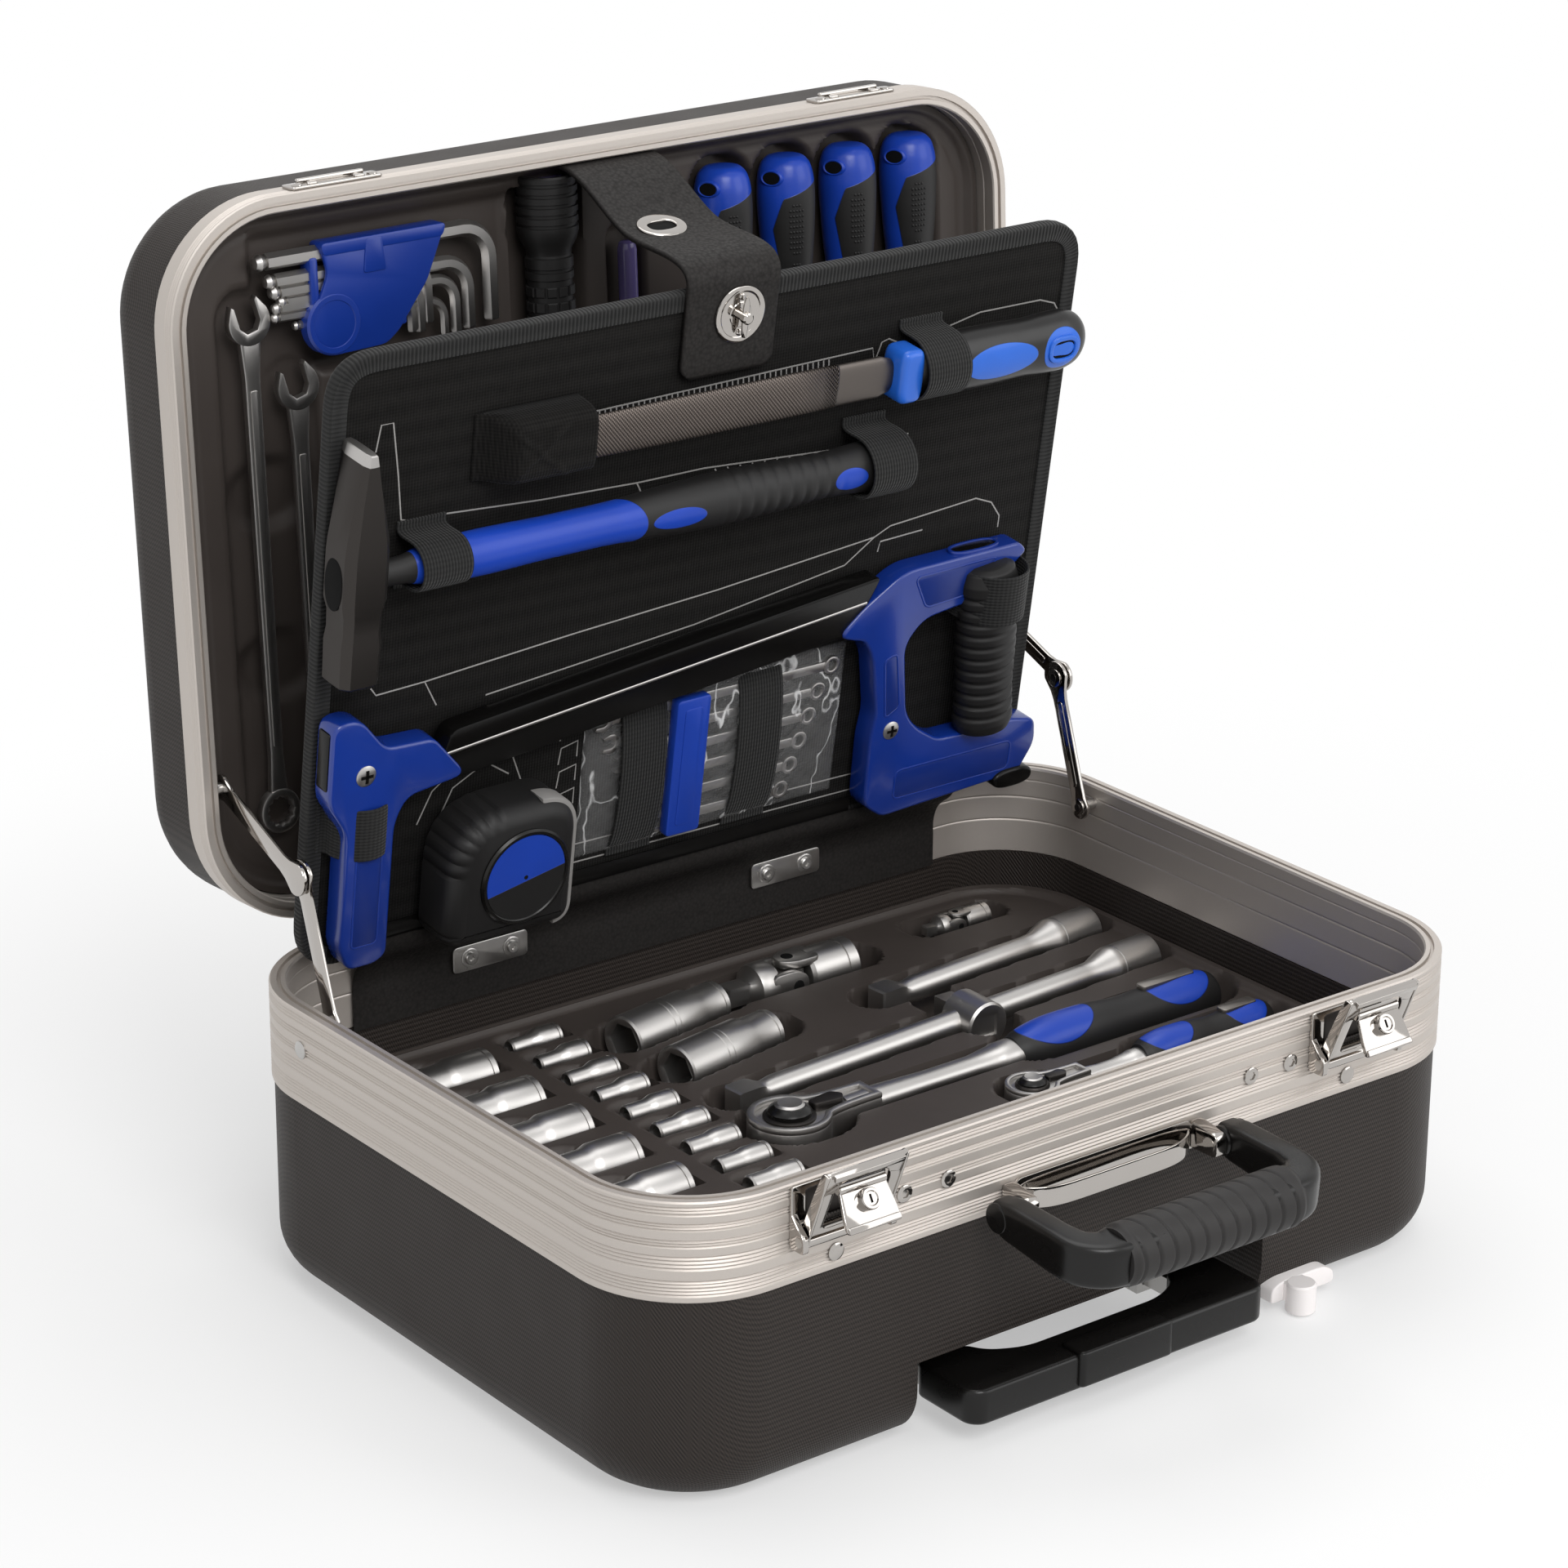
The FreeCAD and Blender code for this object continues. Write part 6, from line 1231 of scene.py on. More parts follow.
def make_hacksaw():
    """A hacksaw: a flat bar between two castings with pressed panels, a thin blade and a ribbed grip."""
    shape = Shape(ON_PANEL)
    bar = rounded([(-150, -88), (-140, -114), (96, -139), (82, -112)], 4)
    slab(shape, bar, -25.4, -14.4, 1.2)
    edge = np.array([(-144, -103, -25.4), (88, -127, -25.4)])
    carried(shape, edge, oval(1.5, 0.8), shade=1)
    slab(shape, block((-190, 102), (-7, -17), 1.4), -13.5, -12.7, 0.2)
    make_piece("saw_bar_and_blade", shape, ["bar_black", "tool_chrome"], "panel", ["saw_bar"])
    shape = Shape(ON_PANEL)
    nose = rounded([(-203, -131), (-189, -131), (-175, -114), (-150, -113), (-131, -91), (-162, -87),
                    (-168, -76), (-168, -10), (-174, -6.5), (-188, -6.5), (-193, -18), (-193, -76),
                    (-203, -92)], [7, 6, 5, 4, 8, 5, 6, 3.4, 3.4, 4, 4, 6, 5], 7)
    slab(shape, nose, SAW_LOW, SAW_HIGH, 1.6, 4)
    rear = rounded([(72, -112), (87, -125), (109, -139), (178, -140), (183, -135), (170, -124), (154, -115),
                    (124, -111), (114, -100), (120, -62), (128, -53), (142, -44), (188, -44), (203, -41),
                    (205, -28), (196, -13), (112, -9), (100, -18), (99, -52), (101, -66), (95, -98),
                    (89, -107)], [8, 6, 8, 3, 3, 4, 5, 6, 7, 6.5, 5, 5, 5, 4, 5, 5, 4, 5, 4, 4, 6, 3], 6)
    slab(shape, rear, SAW_LOW, SAW_HIGH, 1.6, 4)
    sunk_panels = [block((-186.6, -174.4), (-62, -18), 2),
                   rounded([(116, -134), (164, -135), (150, -120), (124, -118)], 3),
                   rounded([(103, -94), (109, -96), (114, -68), (107, -64)], 2),
                   block((118, 188), (-32, -18), 3)]
    for outline in sunk_panels:
        slab(shape, drawn_in(outline, -1.2), SAW_LOW - 0.3, SAW_LOW + 2, 0.3, hole=outline)
        slab(shape, outline, SAW_LOW - 0.05, SAW_LOW + 2, 0.05, shade=2)
    slot = oval(26, 7, 2.6, 32) + (154, -20)
    slab(shape, drawn_in(slot, -1.6), 139, 141, 0.5, hole=slot, to=upright)
    # Painted shade: the slot is filled with black a little below its rim, in place of being open.
    slab(shape, slot, 139, 140.3, 0.1, to=upright, shade=3)
    nose_end = laid("zxy", signs=(-1, 1, 1))
    slab(shape, block((-126, -98), (-24.4, -16), 1.5), 202, 203.6, 0.5, to=nose_end, shade=3)
    cross_screw(shape, -185, -103, SAW_LOW + 0.6, 5.0, 1, 3)
    cross_screw(shape, 111, -56, SAW_LOW + 0.6, 4.6, 1, 3)
    wing = oval(24, 10, 2.6, 28) + (192, -12)
    slab(shape, wing, SAW_LOW - 2, SAW_HIGH + 1, 1.6, 4, shade=3)
    # bar_black is also painted shade in the screws' crosses and in the slot.
    finishes = ["casting_blue", "tool_chrome", "casting_inset", "bar_black"]
    make_piece("saw_castings_and_screws", shape, finishes, "panel", ["saw_castings"])
    shape = Shape(ON_PANEL)
    at = np.linspace(0, 90, 160)
    ribs = 0.8 * np.maximum(np.sin(at * 2 * math.pi / 6.4), 0) * step(8, 14, at) * step(86, 80, at)
    radius = np.interp(at, [0, 2, 8, 40, 66, 84, 88, 90],
                       [8.0, 11.4, 13.0, 13.4, 12.6, 13.2, 11.6, 8.0]) - ribs
    lathe(shape, (160, -133, -25.6), (9, 88, 0), np.column_stack([at, radius]), across=(1.2, 0.95),
          segments=64)
    make_piece("saw_rubber_grip", shape, ["grip_black"], "panel", ["saw_grip"])


def make_tape():
    """A tape measure: a ribbed rubber case, a grey trim strip and a plain round label of two colours."""
    shape = Shape(ON_PANEL)
    flat = block((-146, -78), (-76, -10), [30, 20, 10, 10], 40)
    run = lengths(flat)
    left = step(-96, -116, flat[:, 0]) * step(-12, -20, flat[:, 1])
    ribs = 1.3 * np.maximum(np.sin(run * 2 * math.pi / 7.0), 0) * left
    rise = [(2.0, -15.2, 0), (0.4, -17, 0.4), (0.4, -21, 1), (0.4, -34, 1), (2.0, -38.6, 1),
            (5.0, -41.2, 0.7), (8.5, -42.6, 0)]
    rows = [raised(drawn_in(flat, (inset + share * ribs)[:, None]), z) for inset, z, share in rise]
    shape.grid(np.stack(rows), rings=True, caps=True)
    trim = drawn_in(flat[flat[:, 0] > -104][::4], -0.3)
    slab(shape, trim, -38.6, -28, 1.2, shade=1)
    x, y = LABEL_AT
    rim = [(0, 23.5), (3.6, 23.5), (4.6, 22.6), (4.6, 21.4), (4.0, 20.8)]
    lathe(shape, (x, y, -39.8), (0, 0, -1), rim, shade=2, segments=64)
    disc = circle(0, 0, 20.8, 64) * np.linspace(0.05, 1, 20)[:, None, None]
    field = np.clip(0.4 * (-disc[..., 1] - 0.2 * disc[..., 0] + 2), -1, 1)
    face = np.concatenate([disc + (x, y), np.full((*disc.shape[:2], 1), LABEL_FACE)], axis=-1)
    shape.grid(face, rings=True, shade=3, patch=field)
    slab(shape, block((x - 12, x + 4), (y - 24, y + 24), 3), TAPE_BACK, HANG, 0.6, shade=4)
    finishes = ["grip_black", "grey_trim", "handle_black", "grip_two_tone", "steel_plain"]
    make_piece("tape_measure_case", shape, finishes, "panel", ["tape_measure"])


def make_spanner_set():
    """Small combination spanners in a blue holder, and the crinkled clear film over them."""
    shape = Shape(ON_PANEL)
    for number in range(SET_COUNT):
        y = SET_Y - 2.5 * SET_PITCH + SET_PITCH * number
        length = (SET_X[1] - SET_X[0]) * (1 - 0.086 * number)
        left = max((SET_X[0] + SET_X[1] - length) / 2 - 3 + 2 * number, SET_X[0])
        right = min(left + length, SET_X[1])
        bar = rounded([(left + 7, y - 2.6), (right - 6, y - 2.4), (right - 6, y + 2.4), (left + 7, y + 2.6)],
                      1.2)
        slab(shape, bar, SET_LOW + 0.5, SET_HIGH - 0.4, 0.6)
        ring = circle(right - 4.6, y, 4.6, 28)
        slab(shape, ring, SET_LOW, SET_HIGH, 0.6, hole=hole_in(ring, right - 4.6, y, 2.6))
        jaw = spanner_jaw(0, 0, 4.9, 2.2, 0)
        slab(shape, np.stack([left + 5 + jaw[:, 1], y + jaw[:, 0]], -1), SET_LOW + 0.2, SET_HIGH - 0.2, 0.4)
    slab(shape, block((-13.6, 5.4), (-97, -27), 2.4), -21.6, -15.9, 1.0, shade=1)
    slab(shape, block((-9, 1), (-92, -32), 2.0), -22.0, -20, 0.4, shade=1)
    finishes = ["tool_chrome", "tool_blue"]
    make_piece("small_spanners", shape, finishes, "panel", ["spanner_set"])
    shape = Shape(ON_PANEL)
    u, v = np.meshgrid(np.linspace(0, 1, 130), np.linspace(0, 1, 90))
    x, y = BAG_X[0] + (BAG_X[1] - BAG_X[0]) * u, BAG_Y[0] + (BAG_Y[1] - BAG_Y[0]) * v
    puff = (np.sin(math.pi * u) * np.sin(math.pi * v)) ** 0.35
    waves = ((0.9, 0.16 * x + 1.3 * np.sin(0.11 * y)), (0.8, 0.21 * y - 0.13 * x + 1),
             (0.5, 0.5 * y + 0.37 * x))
    crinkle = sum(height * np.abs(np.sin(wave)) for height, wave in waves)
    shape.grid(np.stack([x, y, HANG - puff * (4.2 + crinkle)], -1))
    bag = make_piece("clear_bag", shape, ["clear_bag"], "panel", two_sided=0.12)


# Where the fittings sit: pivots are (y, z), and angles are in degrees as in the photograph.
LATCH_AT = (-142, 142)
CLAW_PIVOT, CLAW_OPEN = (-168.5, 116.5), 22
TONGUE_PLACE, TONGUE_OPEN = 25, 52
HANDLE_PIVOT, HANDLE_DROOP = (-175.2, 101), 4
STAY_BASE, STAY_LID = (98, 131), (177.3, 215.6)
STAY_LOWER, STAY_UPPER, STAY_RAKE = 64.2, 63.5, 71.6
# Share of the strap's drop that is left with the lid shut, and where its eyelet sits.
STRAP_KEEP, EYELET_ROW, EYELET_X = 0.24, 36, -6
# Middles of the turn lock on the panel and of a wheel (y, z), and faces that plates lie on.
LOCK_AT, WHEEL_AT, WHEEL_X = (4, -281), (142.5, 25), 150
KEEPER_Y, FLAP_Y, FOOT_Y, CLAMP_Z = -331.2, 152.5, -165.4, 115.5
HANDLE_REACH, SLEEVE_HALF, GROOVE_PITCH = 50, 48, 8.4


def turned(pivot, angle, x=0.0):
    """A place on a piece that hangs on a pivot along X: across, out and up, turned by an angle."""
    turn = math.radians(angle)
    cosine, sine = math.cos(turn), math.sin(turn)

    def place(points):
        across, out, up = np.moveaxis(np.asarray(points, float), -1, 0)
        return np.stack([x + across, pivot[0] + out * cosine - up * sine,
                         pivot[1] + out * sine + up * cosine], -1)
    return place


def make_latch_plates():
    """Latch plates with ears, rolled springs, rivets below them and screws beside them."""
    shape = Shape()
    for x in LATCH_AT:
        plate = block((x - 24, x + 24), (112, 139), 2.5)
        slab(shape, plate, 0.05, 1.5, 0.4, to=facing_front)
        slab(shape, block((x - 17, x + 17), (120, 137), 2.0), 1.3, 2.0, 0.3, to=facing_front, shade=1)
        for side in (-1, 1):
            ear = rounded([(-0.2, -4.5), (-9.5, -4.5), (-9.5, 2.5), (-5, 6), (-0.2, 12)], 2.2)
            stand = laid("zxy", (x + 21 * side, FRONT, CLAW_PIVOT[1]), (side, 1, 1))
            slab(shape, ear, 0, 2.9, 0.4, to=stand)
            lathe(shape, (x + side * 23.6, *CLAW_PIVOT), (side, 0, 0), [(0, 2.2), (0.3, 2.2), (0.4, 1.2)],
                  segments=20, shade=2)
        coils = [(0.3 + 0.75 * coil, 1.7 if coil % 2 else 1.4) for coil in range(42)]
        lathe(shape, (x - 16, FRONT - 2.6, 122), (1, 0, 0), [(0, 1.1)] + coils + [(32, 1.1)], segments=20,
              shade=1)
        rivet = [(0, 3.8), (0.5, 3.9), (0.9, 3.2), (1.15, 1.6)]
        lathe(shape, (x, FRONT, 103.5), (0, -1, 0), rivet, segments=28)
    for x in (-84, 84, -107, 107):
        screw = [(0, 3.8), (0.6, 3.9), (1.0, 3.3), (1.0, 2.0, 6), (0.4, 1.8, 6)]
        lathe(shape, (x, FRONT, 119), (0, -1, 0), screw, segments=36)
    finishes = ["bright_chrome", "dark_steel", "steel_plain"]
    make_piece("draw_latch_plates", shape, finishes, "base", ["latch_plates"])


def make_claws():
    """Claws with a framed window and a hooked lip, and folding tongues with a key barrel and a lever."""
    for side, x in (("left", LATCH_AT[0]), ("right", LATCH_AT[1])):
        place = turned(CLAW_PIVOT, CLAW_OPEN, x)
        on_claw = chain(upright, place)
        shape = Shape()
        face = rounded([(-20.5, -2), (20.5, -2), (20.5, 24), (20.5, 36.5), (-20.5, 36.5), (-20.5, 24)], 2.0,
                       7)
        window = rounded([(-14.5, 5), (14.5, 5), (14.5, 26), (11, 31), (-11, 31), (-14.5, 26)], 3.4, 7)
        slab(shape, face, -1.1, 1.2, 0.5, hole=window, to=on_claw)
        hook = rounded([(-1.2, 34.0), (1.2, 34.0), (1.2, 36.4), (-3.0, 36.4), (-3.0, 33.8), (-2.2, 33.8),
                        (-1.2, 34.6)], 0.28)
        hooked = chain(laid("zxy", (-18, 0, 0), (1, -1, 1)), place)
        slab(shape, hook * (-1, 1), 0.4, 35.6, 0.15, to=hooked)
        roll = [(-20.4, 2.6), (-19.8, 3.1), (19.8, 3.1), (20.4, 2.6)]
        lathe(shape, place((0, 0, 0)), (1, 0, 0), roll, segments=28)
        cheek = rounded([(-1.8, -2.6), (3.0, -2.0), (3.9, 8), (3.4, 24), (2.4, 35.6), (-1.4, 36.2)], 1.2)
        beside = chain(laid("zxy"), place)
        for low in (-20.6, 19.4):
            slab(shape, cheek, low, low + 1.2, 0.3, to=beside)
        node = f"latch_claw_{side}"
        make_piece(f"claw_{side}", shape, ["bright_chrome"], node, [node])
        pivot = place((0, 0, TONGUE_PLACE))[1:]
        swung = turned(pivot, CLAW_OPEN - TONGUE_OPEN, x)
        on_tongue = chain(upright, swung)
        shape = Shape()
        lever = rounded([(-11.5, 0.5), (11.5, 0.5), (13.4, -13), (13.4, -18.4), (-13.4, -18.4), (-13.4, -13)],
                        2.2, 6)
        slab(shape, lever, -1.0, 0.9, 0.4, to=on_tongue)
        lip = block((-13.2, 13.2), (-15.4, -18.4), 0.9)
        slab(shape, lip, 0.6, 1.9, 0.4, to=on_tongue)
        barrel = [(0, 1.8), (0.5, 2.3), (23.5, 2.3), (24, 1.8)]
        lathe(shape, swung((-12, 0, 0)), (1, 0, 0), barrel, segments=24)
        key = [(0, 4.6), (3.6, 4.6), (4.2, 4.2), (4.2, 3.2), (3.6, 2.8), (3.6, 0.5)]
        start = on_tongue((0, -6.8, 0.2))
        out = on_tongue((0, -6.8, 1.2)) - start
        lathe(shape, start, out, key, segments=32)
        # Painted shade: the keyhole is a near-black slot laid on the key's face.
        slot = block((-0.5, 0.5), (-8.6, -5.0), 0.2)
        slab(shape, slot, 3.6, 3.95, 0.05, to=on_tongue, shade=1)
        skirt = rounded([(-10, -3), (10, -3), (11.4, -14.6), (-11.4, -14.6)], 1.6)
        slab(shape, skirt, -1.5, -0.9, 0.2, to=on_tongue, shade=2)
        finishes = ["bright_chrome", "dark_hole", "cream_skirt"]
        node = f"latch_tongue_{side}"
        make_piece(f"tongue_{side}", shape, finishes, node, [node])


def make_keepers():
    """Keepers on the lid's rim: a folded plate with a raised ridge, side lugs and two rivets each."""
    shape = Shape(ON_LID)
    on_rim = laid("xzy", (0, KEEPER_Y, 0), (1, -1, 1))
    for x in LATCH_AT:
        slab(shape, block((x - 23, x + 23), (0.8, 10.1), 1.6), 0.0, 1.5, 0.4, to=on_rim)
        ridge = block((x - 17, x + 17), (6.5, 8.7), 0.9)
        slab(shape, ridge, 1.2, 3.5, 0.5, to=on_rim)
        for side in (-1, 1):
            rivet = [(0, 2.4), (0.7, 2.3), (1.1, 1.2)]
            lathe(shape, (x + side * 19, KEEPER_Y - 1.4, 3.6), (0, -1, 0), rivet, segments=24)
            lug = np.multiply([(9, 1.6), (15, 1.6), (13, 5.6), (10, 5.6)], (side, 1)) + (x, 0)
            slab(shape, rounded(lug, 1.4), 1.2, 2.4, 0.4, to=on_rim)
    make_piece("lid_keepers", shape, ["bright_chrome"], "lid", ["latch_keepers"])


def make_handle_plate():
    """The handle's plate: a pressed panel, an arched band above it and two ears for the handle's pins."""
    shape = Shape()
    plate = rounded([(-52, 95), (52, 95), (52, 103), (47, 109), (-47, 109), (-52, 103)], 2.2)
    slab(shape, plate, 0.05, 1.8, 0.5, to=facing_front)
    x = np.linspace(-47, 47, 60)
    bow = 2.2 + 9.0 * (1 - (x / 47) ** 6)
    band = np.column_stack([x, FRONT - bow])
    ribbon(shape, raised(band, 100.6), 4.6, 1.2, (0, 0, 1))
    for side in (-1, 1):
        ear = rounded([(0.2, 95.4), (17.5, 96), (18, 101), (17, 106.4), (0.2, 108.6)], [2, 2.8, 2, 2.8, 2])
        stand = laid("zxy", (49 * side, FRONT, 0), (side, -1, 1))
        slab(shape, ear, 0, 6, 0.7, to=stand)
        pin = [(-6, 3.4), (8.6, 3.4), (9.0, 2.8)]
        lathe(shape, (side * 54.8, *HANDLE_PIVOT), (side, 0, 0), pin, segments=24)
    make_piece("pressed_handle_plate", shape, ["bright_chrome"], "base", ["handle_plate"])


def make_carry_handle():
    """A drop handle: flattened arms that broaden to the corner, a bar between them and a grooved sleeve."""
    place = turned(HANDLE_PIVOT, 180 + HANDLE_DROOP)
    shape = Shape()
    for side in (-1, 1):
        keys = [(62.4, -4), (62.4, 8), (62.4, 22), (62.2, 35), (60.4, 43.5), (54.5, 48.8), (44, HANDLE_REACH),
                (30, HANDLE_REACH)]
        path = flow(np.array(keys) * (side, 1), 46)
        share, stops = np.linspace(0, 1, len(path)), [0, 0.1, 0.45, 0.68, 0.85, 1.0]
        wide = np.interp(share, stops, [11.0, 12.6, 13.0, 17.5, 21.5, 22.0])
        tall = np.interp(share, stops, [13.0, 17.0, 19.5, 20.0, 21.5, 22.0])
        section = oval(1, 1, 5.0, 48) * np.stack([wide, tall], -1)[:, None, :]
        carried(shape, place(raised(path, 0)), section, (0, -math.sin(math.radians(HANDLE_DROOP)), 1))
        boss = [(-7.0, 6.0), (-6.4, 6.6), (6.4, 6.6), (7.0, 6.0)]
        lathe(shape, (side * 62, *HANDLE_PIVOT), (1, 0, 0), boss, segments=32)
    start = place((-46, HANDLE_REACH, 0))
    lathe(shape, start, (1, 0, 0), [(0, 10.8), (0.5, 11.4), (91.5, 11.4), (92, 10.8)], segments=48)
    make_piece("drop_handle", shape, ["handle_black"], "carry_handle", ["carry_handle"])
    shape = Shape()
    columns, rows = 72, 260
    at = np.linspace(-SLEEVE_HALF, SLEEVE_HALF, rows)[:, None]
    angle = np.arange(columns) * 2 * math.pi / columns
    slant = (at + 3.5 * np.cos(angle)) / GROOVE_PITCH
    groove = np.exp(-((np.mod(slant, 1) - 0.5) * GROOVE_PITCH / 0.75) ** 2) * step(46, 42, np.abs(at))
    radius = 13.5 - 0.9 * groove - 1.4 * step(44.5, SLEEVE_HALF, np.abs(at))
    ring = np.stack([np.broadcast_to(at, radius.shape), radius * np.cos(angle), radius * np.sin(angle)], -1)
    shape.grid(place((0, HANDLE_REACH, 0)) + ring, rings=True, caps=True)
    make_piece("ribbed_sleeve", shape, ["sleeve_grey"], "carry_handle", ["handle_sleeve"])


def make_trolley_grip():
    """The trolley's grip: one bowed block with a finger opening, and a raised push button in its front."""
    shape = Shape()
    outline = rounded([(-83, -143), (-83, -176), (-78, -181), (78, -181), (83, -176), (83, -143), (57, -143),
                       (52, -152), (38, -159.5), (-38, -159.5), (-52, -152), (-57, -143)],
                      [4, 3.4, 3.4, 3.4, 3.4, 4, 4, 5, 8, 8, 5, 4], 7)
    slab(shape, outline, 10.5, 27, 2.2, 5)
    make_piece("pull_grip", shape, ["handle_black"], "trolley_inner", ["trolley_grip"])
    shape = Shape()
    cap = block((-26, 26), (-183.4, -168.6), 3, 6)
    slab(shape, cap, 12.0, 28.8, 1.6, 4)
    make_piece("push_button", shape, ["handle_black"], "trolley_button", ["trolley_button"])


def make_foot():
    """A white T-shaped foot: a cross plate under the front edge, a round stub and a web."""
    shape = Shape()
    plate = rounded([(100.2, 5.2), (137.8, 5.2), (137.8, 11), (132, 14.8), (106, 14.8), (100.2, 12)],
                    [2, 2.6, 2.6, 4, 3, 2], 6)
    out = laid("xzy", (0, FOOT_Y, 0))
    slab(shape, plate, 0.0, 20, 0.8, 4, to=out)
    stub = [(0, 5.8), (0.8, 6.8), (13.2, 6.8), (14, 6.0)]
    lathe(shape, (113, FOOT_Y - 5, 0.8), (0, 0, 1), stub, segments=40)
    web = block((107, 119), (5.4, 14.6), 1.2)
    slab(shape, web, -4.8, 1.0, 0.6, to=out)
    make_piece("tee_foot", shape, ["foot_white"], "base", ["white_foot"])


def make_wheels():
    """Wheels: a rounded tyre with a groove, six spokes and a hub."""
    for side, x in (("left", -WHEEL_X), ("right", WHEEL_X)):
        shape = Shape()
        tyre = [(-9, 9.0), (-9, 19.0), (-8.4, 21.2), (-6.4, 22.6), (-2.0, 22.9), (-1.4, 22.2), (1.4, 22.2),
                (2.0, 22.9), (6.4, 22.6), (8.4, 21.2), (9, 19.0), (9, 17.6), (7.4, 16.8), (7.4, 9.0)]
        lathe(shape, (x, *WHEEL_AT), (1, 0, 0), tyre, segments=64)
        spoke = block((-1.8, 1.8), (6, 17.4), 0.8)
        for turn in range(0, 360, 60):
            slab(shape, spoke, 6.8, 8.8, 0.4, to=chain(laid("zyx"), turned(WHEEL_AT, turn, x)), shade=1)
        hub = [(-8.9, 4.2), (-8.9, 7.4), (8.4, 7.4), (8.9, 6.8), (8.9, 4.2)]
        lathe(shape, (x, *WHEEL_AT), (1, 0, 0), hub, segments=40, shade=1)
        node = f"wheel_{side}"
        make_piece(f"tyre_{side}", shape, ["wheel_rubber", "handle_black"], node, [node])


def link_outline(length):
    """A pressed link: round eye, a waisted bar and a larger knuckle, drawn along its length."""
    eye, knuckle = 6.0, 7.9
    edge = np.array([(4.2, 4.6), (10, 4.3), (0.5 * length, 4.4), (length - 11, 4.4), (length - 6.4, 5.2)])
    turn = np.linspace(math.pi * 0.5, math.pi * 1.5, 14)
    start = eye * np.stack([np.cos(turn), np.sin(turn)], -1)
    turn = np.linspace(-math.pi * 0.5, math.pi * 0.5, 16)
    far = knuckle * np.stack([np.cos(turn), np.sin(turn)], -1) + (length, 0)
    return np.concatenate([start, edge * (1, -1), far, edge[::-1]])


def make_stays():
    """Folding stays: two pressed links a side, each with a raised rib and riveted eyes."""
    rake = math.radians(STAY_RAKE)
    knee = (STAY_BASE[0] + STAY_LOWER * math.cos(rake), STAY_BASE[1] + STAY_LOWER * math.sin(rake))
    upper_turn = math.degrees(math.atan2(knee[1] - STAY_LID[1], knee[0] - STAY_LID[0]))
    shape = Shape()
    for side in (-1, 1):
        rivet = [(-0.6, 4), (0.5, 4), (1.0, 3.2), (1.3, 1.5)]
        lathe(shape, (side * CASE_WIDTH / 2, STAY_BASE[0], 122), (side, 0, 0), rivet, segments=28)
    make_piece("stay_rivets", shape, ["steel_plain"], "base")
    links = [("lower", STAY_BASE, STAY_LOWER, STAY_RAKE, 213, 215),
             ("upper", STAY_LID, STAY_UPPER, upper_turn, 216, 218)]
    for side, sign in (("left", -1), ("right", 1)):
        for kind, pivot, length, turn, inner, outer in links:
            shape = Shape()
            flat = chain(laid("zxy", signs=(sign, 1, 1)), turned(pivot, turn))
            slab(shape, link_outline(length), inner + 0.05, outer - 0.05, 0.4, to=flat)
            rib = block((10, length - 12), (-1.8, 1.8), 1.6)
            slab(shape, rib, inner - 0.3, inner + 0.6, 0.3, to=flat)
            for at, radius in ((0, 4.2), (length, 4.6)):
                head = circle(at, 0, radius, 28)
                low, high = inner - (0.9 if kind == "lower" else 0.4), inner + 0.4
                slab(shape, head, low, high, 0.3, to=flat)
                slab(shape, circle(at, 0, 0.45 * radius, 20), low - 0.3, high, 0.2, to=flat, shade=1)
            node = f"stay_{kind}_{side}"
            make_piece(f"{kind}_link_{side}", shape, ["bright_chrome", "dark_steel"], node,
                       [node])


def make_clamps():
    """Clamp plates on the flap: rounded strips with two washered socket screws each."""
    shape = Shape()
    on_flap = laid("xzy", (0, FLAP_Y, 0), (1, -1, 1))
    for x in (-95, 75):
        strip = block((x - 20.5, x + 20.5), (CLAMP_Z - 6.3, CLAMP_Z + 6.3), 2.6)
        slab(shape, strip, 0.05, 1.4, 0.4, to=on_flap)
        for side in (-1, 1):
            screw = [(0, 4.6), (0.5, 4.6), (0.7, 4.2), (0.7, 3.0), (1.6, 3.0), (2.0, 2.6), (2.0, 1.4, 6),
                     (1.2, 1.3, 6)]
            lathe(shape, (x + 11.5 * side, FLAP_Y - 1.3, CLAMP_Z), (0, -1, 0), screw, segments=36)
    make_piece("flap_clamps", shape, ["steel_plain"], "base", ["clamp_plates"])


def make_flap():
    """The leather flap that hinges the panel: a sheet from the clamps, bent up on to the board."""
    keys = [(153.5, 94.3), (153.5, 108), (153.2, 119), (150.5, 125.5), (145.5, 130.5), (140.8, 134.2),
            (138.2, 138.2), (137.6, 143)]
    path = flow(keys, 50)
    shape = Shape()
    ribbon(shape, np.column_stack([np.zeros(len(path)), path]), 168, 1.6, (1, 0, 0))
    sheet = make_piece("leather_flap", shape, ["strap_leather"], None, ["panel_flap"])
    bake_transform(sheet)


